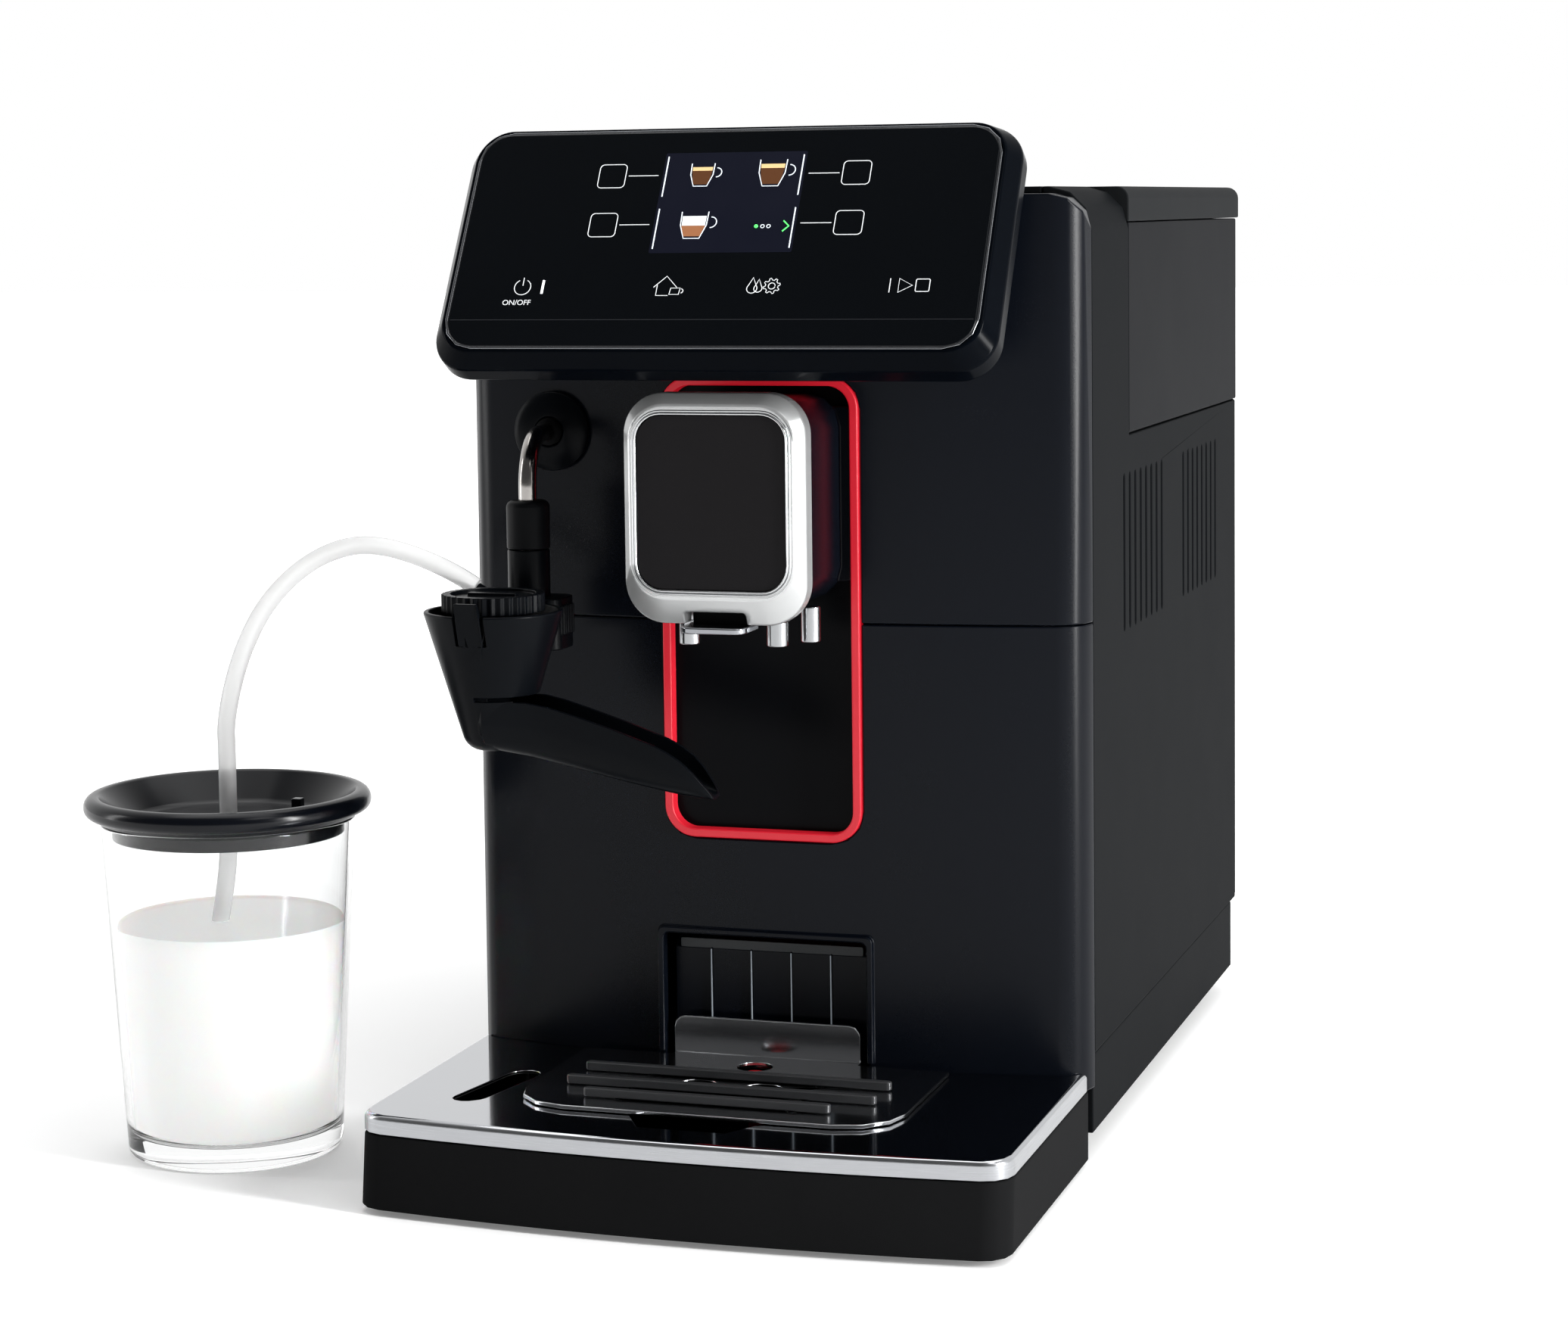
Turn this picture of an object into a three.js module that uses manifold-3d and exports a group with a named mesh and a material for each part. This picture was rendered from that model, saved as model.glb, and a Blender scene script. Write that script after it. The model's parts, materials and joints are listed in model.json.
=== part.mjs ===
// Bean to cup coffee machine with a milk frother, a milk hose and a milk glass.
// Millimetres. X points right, Y points back and Z points up.
// The origin is on the counter, under the middle of the machine.
import * as THREE from 'three';
import { mergeVertices } from 'three/addons/utils/BufferGeometryUtils.js';
import Module from 'manifold-3d';

const wasm = await Module();
wasm.setup();

// Overall size of the machine
const BODY_WIDTH = 224;
const OVERALL_DEPTH = 435;
const OVERALL_HEIGHT = 357;

// Clearances and cutting
const GAP = 0.3;
const LOOSE_GAP = 0.6;
const OVERRUN = 4;
const MERGE_DISTANCE = 0.0001;

// Counts
const CORNER_STEPS = 3;
const BOW_STEPS = 10;
const ROUND_STEPS = 20;
const LARGE_ROUND_STEPS = 30;
const PIPE_SIDES = 10;
const VENT_CORNER_STEPS = 1;
const UNIT_RADIUS = 1;

// Feet and base pan
const FOOT_RADIUS = 9;
const FOOT_INSET = 22;
const FRONT_FOOT_INSET = 18;
const PAN_BOTTOM_Z = 10;
const PAN_FLOOR = 2.5;
const PAN_WALL = 2.5;
const PAN_INSET = 0.8;
const PAN_TOP_Z = 37.5;
const PAN_CORNER = 6;

// Fascia: two bowed front shells that meet at a seam
const TRAY_REACH = 108.6;
const FASCIA_BOW = 11.4;
const FASCIA_CORNER = 12.5;
const FASCIA_DEPTH = 22.4;
const FASCIA_WALL = 3;
const FASCIA_BOTTOM_Z = 26.5;
const FASCIA_SPLIT_DROP = 148.3;
const FASCIA_TOP_DROP = 2.4;
const FASCIA_TOP_ROUND = 12;

// Window of the grounds container in the lower fascia
const WINDOW_HALF_WIDTH = 36.9;
const WINDOW_TOP_Z = 77.3;
const WINDOW_RIM = 2.2;
const WINDOW_RIM_PROUD = 0.8;

// Recess behind the spout, with its red frame
const RECESS_HALF_WIDTH = 35.6;
const RECESS_BOTTOM_Z = 111.6;
const RECESS_TOP_DROP = 63.8;
const RECESS_ROUND = 11;
const RED_STRIP = 3;
const RED_PROUD = 0.4;
const RED_DEPTH = 5;
const RED_LIP = 1.2;
const RED_LIP_DEPTH = 1.6;
const RECESS_PLATE = 2.2;
const RECESS_LAP = 3;

// Side panels, their front band that wraps over the top, and the top cover
const SHELL_WALL = 2.5;
const TOP_DROP = 21.2;
const TOP_ROUND = 15;
const BAND_DEPTH = 60.9;
const PANEL_SEAM_GAP = 0.6;
const TANK_SEAM_DROP = 87.9;
const TOP_FLANGE = 2;

// Vent slots
const VENT_COUNT = 8;
const VENT_PITCH_SHARE = 0.035199;
const VENT_WIDTH = 2.6;
const VENT_BOTTOM_DROP = 69.5;
const VENT_TOP_DROP = 13.8;
const FRONT_VENT_SHARE = 0.184477;
const REAR_VENT_SHARE = 0.5852;

// Service door in the left side
const DOOR_FRONT_SHARE = 0.079422;
const DOOR_LENGTH_SHARE = 0.487365;
const DOOR_BOTTOM_Z = 62;
const DOOR_TOP_DROP = 15.9;
const DOOR_ROUND = 5;
const DOOR_SEAM = 0.8;
const DOOR_GRIP_LENGTH = 40;
const DOOR_GRIP_WIDTH = 12;
const DOOR_GRIP_DEPTH = 1.2;

// Rear cover
const REAR_BULGE = 22.8;
const REAR_COVER_ROUND = 18;
const REAR_BOTTOM_Z = 38.5;
const LID_OVERHANG = 3.9;

// Drip tray
const TRAY_SIDE_INSET = 1.3;
const TRAY_BOTTOM_Z = 2;
const TRAY_BOW = 6.7;
const TRAY_RAKE = 3.2;
const TRAY_CORNER = 10;
const TRAY_SIDE_SETBACK = 5;
const TRAY_WALL = 2.4;
const TRAY_FLOOR = 2.4;
const TRAY_SHOULDER_Z = 26.2;
const TRAY_TOP_Z = 33;
const TRAY_TAIL_INSET = 14;
const TRAY_TAIL_REAR_INSET = 131.4;
const TRAY_TAIL_FLOOR_Z = 12.8;
const TRAY_TAIL_TOP_Z = 25.8;

// Steel tray cover
const COVER_SHEET = 1.2;
const COVER_SKIRT_Z = 26.6;
const COVER_STRIP = 4;
const GRIP_SLOT_INSET = 31.7;
const GRIP_SLOT_WIDTH = 11;
const GRIP_SLOT_LENGTH = 44;
const GRIP_SLOT_SETBACK = 33.5;
const GRIP_SLOT_SLANT = 4;

// Cup plate, its ribs and the red float
const PLATE_HALF_WIDTH = 66.5;
const PLATE_FRONT_SETBACK = 31.5;
const PLATE_CORNER = 20;
const PLATE_SHEET = 1.4;
const PLATE_LEDGE = 2.2;
const NOTCH_HALF_WIDTH = 25;
const NOTCH_FRONT_HALF_WIDTH = 15;
const NOTCH_DEPTH = 13;
const TONGUE_HALF_WIDTH = 34;
const TONGUE_TOP_Z = 47.6;
const TONGUE_ROUND = 4;
const TONGUE_SETBACK = 1.6;
const DRAIN_HOLE_RADIUS = 7.5;
const DRAIN_HOLE_X = 11.5;
const DRAIN_HOLE_SHARE = 0.3739;
const FLOAT_HOLE_RADIUS = 6.3;
const FLOAT_SETBACK = 12;
const FLOAT_RADIUS = 4.2;
const FLOAT_STEM_RADIUS = 2.6;
const FLOAT_DISC_RADIUS = 11;
const FLOAT_DISC = 3;
const FLOAT_HEAD = 5;
const RIB_WIDTH = 3.2;
const RIB_HEIGHT = 3;
const RIB_HALF_LENGTH = 54.5;
const FRONT_RIB_HALF_LENGTH = 43;
const RIB_SHARES = [0.291, 0.4613, 0.5949];
const RIB_WEB_WIDTH = 6;
const RIB_WEB = 1.2;
const RIB_STUD_X = 30;
const RIB_STUD_RADIUS = 1.6;

// Grounds container
const GROUNDS_HALF_WIDTH = 35.6;
const GROUNDS_FRONT_SETBACK = 8.6;
const GROUNDS_REAR_INSET = 9.4;
const GROUNDS_TOP_Z = 74.6;
const GROUNDS_WALL = 2;
const GROUNDS_CHAMFER = 4;
const GROUNDS_RIB_PITCH = 14.6;
const GROUNDS_RIB_COUNT = 4;
const GROUNDS_RIB = 0.8;

// Spout block
const SPOUT_FRONT = 51.7;
const SPOUT_HALF_WIDTH = 31.7;
const SPOUT_HEIGHT = 76.9;
const SPOUT_TOP_DROP = 66.6;
const SPOUT_ROUND = 14;
const BEZEL_BEVEL = 4.2;
const BEZEL_DEPTH = 10.9;
const BEZEL_RIM_SIDE = 3.2;
const BEZEL_RIM_TOP = 4;
const BEZEL_RIM_BOTTOM = 9;
const FRONT_PLATE_HALF_WIDTH = 25.9;
const FRONT_PLATE_RISE = 11.7;
const FRONT_PLATE_DROP = 7.2;
const FRONT_PLATE_ROUND = 8.7;
const FRONT_PLATE_SHEET = 1.8;
const FRONT_PLATE_SINK = 0.5;
const BODY_INSET = 3;
const BODY_RISE = 3.7;
const SLIDER_RISE = 9.7;
const SLIDER_DROP = 7.2;
const SPOUT_NOTCH_HALF_WIDTH = 10.7;
const SPOUT_NOTCH_RISE = 4.2;
const GRIP_HALF_WIDTH = 11.5;
const GRIP_SHEET = 2.4;
const GRIP_PROUD = 2.4;
const GRIP_LENGTH = 17;
const GRIP_STEM_HALF_WIDTH = 10;
const GRIP_STEM_DEPTH = 3;
const NOZZLE_RADIUS = 3.7;
const NOZZLE_BORE = 2.2;
const NOZZLE_BORE_DEPTH = 8;
const NOZZLE_X = 15.5;
const NOZZLE_SETBACK = 22.6;
const NOZZLE_DROP = 9.1;
const NOZZLE_BAR_HEIGHT = 4;
const NOZZLE_BAR_HALF_DEPTH = 4.6;
const WATER_NOZZLE_X = 23.6;
const WATER_NOZZLE_SETBACK = 34;
const WATER_NOZZLE_RADIUS = 3.4;

// Control panel
const GLASS_SIDE_INSET = 21;
const GLASS_SLANT = 81.9;
const GLASS_SHEET = 2;
const GLASS_ROUND = 10;
const PANEL_FRONT = 59.5;
const PANEL_LEAN_DEGREES = 31.2;
const PANEL_EDGE = 2.2;
const PANEL_STEP = 0.6;
const TRIM_WIDTH = 0.9;
const TRIM_DEPTH = 2;
const BEVEL_SIDE = 4.3;
const BEVEL_BOTTOM = 3.6;
const BEVEL_TOP = 2;
const BEVEL_DEPTH = 6.6;
const BEVEL_ROUND = 15;
const PANEL_SIDE_DEPTH = 7;
const PANEL_BACK_DEPTH = 7;
const PANEL_BACK_INSET = 8;
const NECK_SIDE_INSET = 28;
const NECK_BOTTOM_DROP = 76.5;
const NECK_TOP_DROP = 31;
const NECK_FRONT = 52;
const NECK_TOP_FRONT = 22;
const NECK_REACH = 14;
const BOARD_HALF_WIDTH = 58;
const BOARD_LOW = 8;
const BOARD_HIGH = 76;
const BOARD_SHEET = 1.6;
const BOARD_ROUND = 2;
const DISPLAY_HALF_WIDTH = 30;
const DISPLAY_LOW = 26;
const DISPLAY_HIGH = 72;
const DISPLAY_DEPTH = 3.5;

// Steam wand
const WAND_BALL_INSET = 35.2;
const WAND_BALL_DROP = 83.2;
const WAND_SHIFT = 4.8;
const WAND_REACH = 33;
const BALL_RADIUS = 4.8;
const PIPE_RADIUS = 3.1;
const PIPE_BEND = 17;
const PIPE_DROP = 46.6;
const FLANGE_RADIUS = 14;
const FLANGE_PROUD = 0.6;
const FLANGE_EDGE = 2.6;
const BORE_BACK = 9;
const PIPE_STEPS = 26;
const SLEEVE_RADIUS = 7.4;
const SLEEVE_BOTTOM_DROP = 37.6;
const SLEEVE_TOP_DROP = 21.1;
const SLEEVE_ROUND = 2.4;

// Milk frother
const CUP_FORWARD = 32.6;
const CUP_RIM_RADIUS = 23.6;
const CUP_RIM_DROP = 55;
const CUP_LOW_RADIUS = 11;
const CUP_HEIGHT = 42.6;
const CUP_WALL = 1.8;
const CUP_DEPTH = 27.6;
const CLIP_HALF_WIDTH = 4;
const CLIP_RISE = 4.8;
const CLIP_THICK = 2;
const SLIT_WIDTH = 1.2;
const SLIT_DEPTH = 15;
const KNOB_RADIUS = 17.3;
const KNOB_HEIGHT = 6;
const KNOB_KNURLS = 36;
const KNOB_KNURL_DEPTH = 0.7;
const KNOB_STEM_RADIUS = 9;
const KNOB_DISH = 1.2;
const KNOB_BAR = 3;
const SOCKET_RADIUS = 7.2;
const SOCKET_HALF_WIDTH = 13.6;
const SOCKET_HALF_DEPTH = 9.5;
const SOCKET_BLOCK_RISE = 1;
const SOCKET_BLOCK_DROP = 16.6;
const SOCKET_ROUND = 5;
const SOCKET_RIB_COUNT = 5;
const SOCKET_RIB = 0.9;
const NIPPLE_RADIUS = 1.9;
const NIPPLE_LENGTH = 9;
const TROUGH_HALF_WIDTH = 9;
const TROUGH_WALL = 1.5;
const TROUGH_TAPER = 16;
const TROUGH_NARROW_SHARE = 0.6;
// Upper edge and keel of the trough: distance right of the cup axis, and drop below the cup's floor
const TROUGH_EDGE = [
  [0, 1.5], [14.4, 1.5], [31.3, 5.5], [57.9, 14.2], [66.6, 18.8], [73.4, 26.5], [77.6, 31.8],
];
const TROUGH_KEEL = [
  [-11.8, 12.1], [-7.3, 15.8], [7.9, 19.4], [32.9, 24.9], [57.8, 30.4], [67.6, 32.1], [77.6, 32.6],
];

// Milk hose: a route from the nipple over a hump to the lid and on down into the glass.
// Each point is its distance left of the wand, its reach in front of the fascia and its height:
// a rise over the nipple, then a share of the hump's height above the lid, then a depth below the lid.
const HOSE_RADIUS = 3.15;
const HOSE_SIDES = 8;
const HOSE_STEPS = 46;
const NIPPLE_RISE = 4.5;
const HOSE_HUMP = [
  [16.6, 40.1, 0], [22, 40.5, 3.3], [30, 40.9, 7.2], [40, 41, 10.8], [50.5, 40.7, 13.1], [61.5, 40.1, 13.2],
];
const HOSE_FALL_SHARES = [
  [74, 39.3, 0.9579], [86.5, 38.5, 0.8692], [97.5, 37.8, 0.7418], [105.8, 37.3, 0.5825],
  [111.4, 37.1, 0.405], [114, 36.9, 0.2571], [114, 36.9, 0.1661], [114, 36.9, 0.0068],
];
const HOSE_DIP = [
  [114, 36.9, 13.4], [114.8, 36.9, 26.4], [116.8, 36.9, 39.4], [119.4, 36.9, 52.4], [122, 36.9, 65.4],
];

// Milk glass and its lid
const MILK_LEFT = 114;
const MILK_REACH = 36.9;
const JAR_BASE_RADIUS = 37.8;
const JAR_MOUTH_RADIUS = 44.5;
const JAR_HEIGHT = 118.5;
const JAR_WALL = 2.5;
const JAR_BASE = 8;
const JAR_FOOT_ROUND = 2.5;
const LID_RADIUS = 50.2;
const LID_TOP_Z = 127.4;
const LID_SHEET = 2.4;
const LID_FLOOR_Z = 114.4;
const LID_PLUG_RADIUS = 40.6;
const LID_PLUG_BOTTOM_Z = 107;
const LID_PLUG_WALL = 2;
const LID_ROLL = 3.4;
const LID_PEG_X = 27;
const LID_PEG_SIZE = 3.6;
const LID_PEG_HEIGHT = 9;

// Water tank, lid and valve
const TANK_LEFT_X = 15.3;
const TANK_WALL = 2.2;
const TANK_TOP_DROP = 12.8;
const TANK_ROUND = 18;
const TANK_SMALL_ROUND = 4;
const TANK_REAR_INSET = 2.5;
const TANK_LID_SHEET = 2.5;
const VALVE_RADIUS = 9;
const VALVE_BORE = 4;
const VALVE_X = 60;
const VALVE_REAR_INSET = 45;
const VALVE_DROP = 9;
const VALVE_FLANGE_RADIUS = 13;
const VALVE_FLANGE = 2.4;

// Inner frame
const WALL_LEFT_X = 9.7;
const WALL_THICK = 3.3;
const TANK_SHELF = 3;
const GRINDER_SHELF_DROP = 42.9;
const GRINDER_SHELF = 3.5;
const WALL_CLEAR_Z = 82;
const FRAME_SIDE_GAP = 3;
const FRAME_FRONT_SETBACK = 6;

// Grinder
const GRINDER_X = -48;
const GRINDER_OFFSET = 19.5;
const GRINDER_RADIUS = 38;
const GRINDER_CHAMBER_RADIUS = 31;
const GRINDER_FLOOR = 5;
const GRINDER_RISE = 44.5;
const CHUTE_HALF_WIDTH = 12;
const CHUTE_LENGTH = 70;
const CHUTE_HEIGHT = 18;
const CHUTE_WALL = 2;
const BURR_TOP_RADIUS = 12;
const BURR_LOW_RADIUS = 20;
const BURR_HEIGHT = 20;
const BURR_TEETH = 14;
const BURR_TOOTH_SHARE = 0.88;
const BURR_LIFT = 3;
const SHAFT_RADIUS = 4;
const SHAFT_DROP = 12;
const RING_BURR_RADIUS = 29.6;
const RING_BURR_LIFT = 4;
const RING_BURR_HEIGHT = 17;
const RING_BURR_GAP = 1.2;
const ADJUSTER_BORE = 16;
const ADJUSTER_LUG = 4;
const ADJUSTER_LUG_RISE = 12;
const MOTOR_RADIUS = 30;
const MOTOR_LENGTH = 72;
const MOTOR_CAP_RADIUS = 14;

// Bean hopper, its lid and the ground coffee lid
const HOPPER_SIDE_INSET = 24;
const HOPPER_TANK_GAP = 7.3;
const HOPPER_FRONT_SETBACK = 106.5;
const HOPPER_REAR_INSET = 48.6;
const HOPPER_WALL = 2;
const HOPPER_ROUND = 10;
const HOPPER_FLANGE = 3.5;
const HOPPER_RIM = 1.2;
const HOPPER_FUNNEL_DROP = 50.8;
const HOPPER_OUTLET = 21;
const HOPPER_LID_HEIGHT = 5;
const HOPPER_LID_SHEET = 2;
const GROUND_LEFT_INSET = 16;
const GROUND_RIGHT_INSET = 20;
const GROUND_FRONT_SETBACK = 64.5;
const GROUND_LENGTH = 28;
const GROUND_COLLAR_DROP = 29.8;
const GROUND_COLLAR_WALL = 2;
const GROUND_LID_LAP = 3;
const GROUND_LID_SHEET = 2.5;

// Brew group, piston and gear motor
const BREW_SIDE_INSET = 20;
const BREW_FRONT_SETBACK = 28.5;
const BREW_MOTOR_GAP = 22;
const BREW_BOTTOM_Z = 90;
const BREW_TOP_DROP = 11;
const BREW_ROUND = 8;
const CHAMBER_X = -42;
const CHAMBER_RADIUS = 22;
const CHAMBER_FLOOR_Z = 112;
const PISTON_HEIGHT = 16;
const PISTON_GAP = 0.4;
const ROD_RADIUS = 5;
const ROD_DROP = 20;
const GEAR_MOTOR_DEPTH = 30;
const GEAR_MOTOR_HALF_LENGTH = 32;
const GEAR_MOTOR_BOTTOM_Z = 104;
const GEAR_MOTOR_HEIGHT = 46;
const GEAR_CAN_RADIUS = 15;
const GEAR_CAN_LENGTH = 34;
const GEAR_SHAFT_RADIUS = 5;
const GEAR_SHAFT_Z = 127;
const GEAR_SHAFT_REACH = 12;

// Boiler, pump and power board
const BOILER_FRONT_SETBACK = 12.5;
const BOILER_LENGTH = 40;
const BOILER_HEIGHT = 62;
const BOILER_TOP_DROP = 9.9;
const BOILER_SIDE_GAP = 14;
const BOILER_FIN_COUNT = 6;
const BOILER_FIN = 2.4;
const BOILER_FIN_HEIGHT = 9;
const BOILER_STUB_RADIUS = 4;
const BOILER_STUB_LENGTH = 12;
const PUMP_X = 46;
const PUMP_TAIL_GAP = 24.9;
const PUMP_LENGTH = 92;
const PUMP_Z = 42;
const PUMP_RADIUS = 20;
const PUMP_NOSE_RADIUS = 9;
const PUMP_NOSE = 18;
const PUMP_BRACKET_HALF_WIDTH = 25;
const PUMP_BRACKET = 3;
const CIRCUIT_BREW_GAP = 22;
const CIRCUIT_REAR_INSET = 12.5;
const CIRCUIT_BOTTOM_Z = 96;
const CIRCUIT_TOP_DROP = 15.9;
const CIRCUIT_SHEET = 1.6;
const STANDOFF_LENGTH = 8;
const STANDOFF_RADIUS = 3.2;
const STANDOFF_INSET = 7;
const CAPACITOR_RADIUS = 9;
const CAPACITOR_HEIGHT = 26;
const TRANSFORMER_WIDTH = 34;
const TRANSFORMER_HEIGHT = 24;
const RELAY_WIDTH = 20;
const RELAY_HEIGHT = 16;

// Mains inlet and power rocker in the rear cover
const INLET_SIDE_INSET = 50;
const INLET_Z = 74;
const INLET_HALF_WIDTH = 34;
const INLET_HALF_HEIGHT = 17;
const INLET_FLANGE = 4;
const INLET_FLANGE_SHEET = 2.2;
const INLET_DEPTH = 20;
const SOCKET_HOLE_X = -14;
const SOCKET_HOLE_HALF_WIDTH = 12.2;
const SOCKET_HOLE_HALF_HEIGHT = 8.2;
const SOCKET_HOLE_DEPTH = 16;
const SOCKET_HOLE_ROUND = 2;
const PIN_HALF_WIDTH = 1;
const PIN_HALF_HEIGHT = 2.2;
const PIN_LENGTH = 13;
const PIN_SPREAD = 7;
const ROCKER_OFFSET_X = 19;
const ROCKER_HALF_WIDTH = 7;
const ROCKER_HALF_HEIGHT = 10;
const ROCKER_DEPTH = 8;
const ROCKER_PROUD = 3;
const ROCKER_TILT_DEGREES = 7;
const ROCKER_ROOM = 1.6;
const ROCKER_FOOT_SHARE = 0.7;

// Places worked out from the sizes above: across
const HALF_WIDTH = BODY_WIDTH / 2;
const TRAY_HALF_WIDTH = HALF_WIDTH - TRAY_SIDE_INSET;
const TRAY_TAIL_HALF_WIDTH = HALF_WIDTH - TRAY_TAIL_INSET;
const GRIP_SLOT_X = GRIP_SLOT_INSET - TRAY_HALF_WIDTH;
const GLASS_HALF_WIDTH = HALF_WIDTH - GLASS_SIDE_INSET;
const NECK_HALF_WIDTH = HALF_WIDTH - NECK_SIDE_INSET;
const WAND_BALL_X = WAND_BALL_INSET - HALF_WIDTH;
const WAND_X = WAND_BALL_X + WAND_SHIFT;
const MILK_X = WAND_X - MILK_LEFT;
const HOPPER_LEFT_X = HOPPER_SIDE_INSET - HALF_WIDTH;
const HOPPER_RIGHT_X = TANK_LEFT_X - HOPPER_TANK_GAP;
const GROUND_LEFT_X = HOPPER_LEFT_X + GROUND_LEFT_INSET;
const GROUND_RIGHT_X = HOPPER_RIGHT_X - GROUND_RIGHT_INSET;
const BREW_LEFT_X = BREW_SIDE_INSET - HALF_WIDTH;
const INLET_X = INLET_SIDE_INSET - HALF_WIDTH;
const WALL_RIGHT_X = WALL_LEFT_X + WALL_THICK;

// Heights, from the top down
const TOP_Z = OVERALL_HEIGHT - TOP_DROP;
const DECK_Z = TOP_Z - SHELL_WALL;
const FASCIA_TOP_Z = TOP_Z - FASCIA_TOP_DROP;
const FASCIA_SPLIT_Z = TOP_Z - FASCIA_SPLIT_DROP;
const RECESS_TOP_Z = TOP_Z - RECESS_TOP_DROP;
const TANK_TOP_Z = TOP_Z - TANK_TOP_DROP;
const TANK_SEAM_Z = TOP_Z - TANK_SEAM_DROP;
const VENT_BOTTOM_Z = TANK_SEAM_Z - VENT_BOTTOM_DROP;
const VENT_TOP_Z = TANK_SEAM_Z - VENT_TOP_DROP;
const DOOR_TOP_Z = TANK_SEAM_Z - DOOR_TOP_DROP;
const NECK_TOP_Z = OVERALL_HEIGHT - NECK_TOP_DROP;
const NECK_BOTTOM_Z = OVERALL_HEIGHT - NECK_BOTTOM_DROP;
const SPOUT_TOP_Z = TOP_Z - SPOUT_TOP_DROP;
const SPOUT_BOTTOM_Z = SPOUT_TOP_Z - SPOUT_HEIGHT;
const FRONT_PLATE_TOP_Z = SPOUT_TOP_Z - FRONT_PLATE_DROP;
const FRONT_PLATE_BOTTOM_Z = SPOUT_BOTTOM_Z + FRONT_PLATE_RISE;
const BODY_BOTTOM_Z = SPOUT_BOTTOM_Z + BODY_RISE;
const SLIDER_TOP_Z = SPOUT_TOP_Z - SLIDER_DROP;
const SLIDER_BOTTOM_Z = SPOUT_BOTTOM_Z + SLIDER_RISE;
const SPOUT_NOTCH_TOP_Z = SPOUT_BOTTOM_Z + SPOUT_NOTCH_RISE;
const NOZZLE_BOTTOM_Z = SPOUT_BOTTOM_Z - NOZZLE_DROP;
const WAND_BALL_Z = TOP_Z - WAND_BALL_DROP;
const SLEEVE_TOP_Z = WAND_BALL_Z - SLEEVE_TOP_DROP;
const SLEEVE_BOTTOM_Z = WAND_BALL_Z - SLEEVE_BOTTOM_DROP;
const PIPE_BOTTOM_Z = WAND_BALL_Z - PIPE_DROP;
const CUP_RIM_Z = WAND_BALL_Z - CUP_RIM_DROP;
const CUP_FLOOR_Z = CUP_RIM_Z - CUP_DEPTH;
const CUP_LOW_Z = CUP_RIM_Z - CUP_HEIGHT;
const SOCKET_BLOCK_TOP_Z = CUP_RIM_Z + SOCKET_BLOCK_RISE;
const SOCKET_BLOCK_BOTTOM_Z = CUP_RIM_Z - SOCKET_BLOCK_DROP;
const PAN_FLOOR_Z = PAN_BOTTOM_Z + PAN_FLOOR;
const FRAME_BOTTOM_Z = PAN_FLOOR_Z + GAP;
const SHELF_Z = TANK_SEAM_Z - TANK_SHELF;
const GRINDER_SHELF_Z = TANK_SEAM_Z - GRINDER_SHELF_DROP;
const GRINDER_BOTTOM_Z = GRINDER_SHELF_Z + GRINDER_SHELF + GAP;
const GRINDER_TOP_Z = GRINDER_SHELF_Z + GRINDER_RISE;
const HOPPER_FUNNEL_Z = TOP_Z - HOPPER_FUNNEL_DROP;
const GROUND_COLLAR_Z = TOP_Z - GROUND_COLLAR_DROP;
const BREW_TOP_Z = GRINDER_SHELF_Z - BREW_TOP_DROP;
const BOILER_TOP_Z = TANK_SEAM_Z - BOILER_TOP_DROP;
const BOILER_BOTTOM_Z = BOILER_TOP_Z - BOILER_HEIGHT;
const CIRCUIT_TOP_Z = TANK_SEAM_Z - CIRCUIT_TOP_DROP;

// Along, from the front and from the rear
const FRONT_Y = -OVERALL_DEPTH / 2;
const REAR_Y = OVERALL_DEPTH / 2;
const FASCIA_Y = FRONT_Y + TRAY_REACH;
const SEAM_Y = FASCIA_Y + FASCIA_DEPTH;
const BOW_RADIUS = (HALF_WIDTH * HALF_WIDTH + FASCIA_BOW * FASCIA_BOW) / (2 * FASCIA_BOW);
const SIDE_FRONT_Y = SEAM_Y + GAP;
const BAND_REAR_Y = SIDE_FRONT_Y + BAND_DEPTH;
const COVER_REAR_Y = REAR_Y - LID_OVERHANG;
const COVER_FRONT_Y = COVER_REAR_Y - REAR_BULGE;
const SIDE_REAR_Y = COVER_FRONT_Y - GAP;
const SIDE_LENGTH = SIDE_REAR_Y - SEAM_Y;
const TAIL_REAR_Y = SIDE_REAR_Y - TRAY_TAIL_REAR_INSET;
const CUP_Y = FASCIA_Y - WAND_REACH - CUP_FORWARD;
const WAND_Y = FASCIA_Y - WAND_REACH;
const SPOUT_FRONT_Y = FASCIA_Y - SPOUT_FRONT;
const TANK_REAR_Y = COVER_REAR_Y - TANK_REAR_INSET;
const VALVE_Y = TANK_REAR_Y - VALVE_REAR_INSET;
const HOPPER_FRONT_Y = SEAM_Y + HOPPER_FRONT_SETBACK;
const HOPPER_REAR_Y = COVER_REAR_Y - HOPPER_REAR_INSET;
const GRINDER_Y = (HOPPER_FRONT_Y + HOPPER_REAR_Y) / 2 + GRINDER_OFFSET;
const GROUND_FRONT_Y = SEAM_Y + GROUND_FRONT_SETBACK;
const GROUND_REAR_Y = GROUND_FRONT_Y + GROUND_LENGTH;
const BREW_FRONT_Y = SEAM_Y + BREW_FRONT_SETBACK;
const BREW_REAR_Y = GRINDER_Y - MOTOR_RADIUS - BREW_MOTOR_GAP;
const CHAMBER_Y = (BREW_FRONT_Y + BREW_REAR_Y) / 2;
const BOILER_FRONT_Y = SEAM_Y + BOILER_FRONT_SETBACK;
const BOILER_REAR_Y = BOILER_FRONT_Y + BOILER_LENGTH;
const PUMP_FRONT_Y = TAIL_REAR_Y + PUMP_TAIL_GAP;
const CIRCUIT_FRONT_Y = BREW_REAR_Y + CIRCUIT_BREW_GAP;
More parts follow.
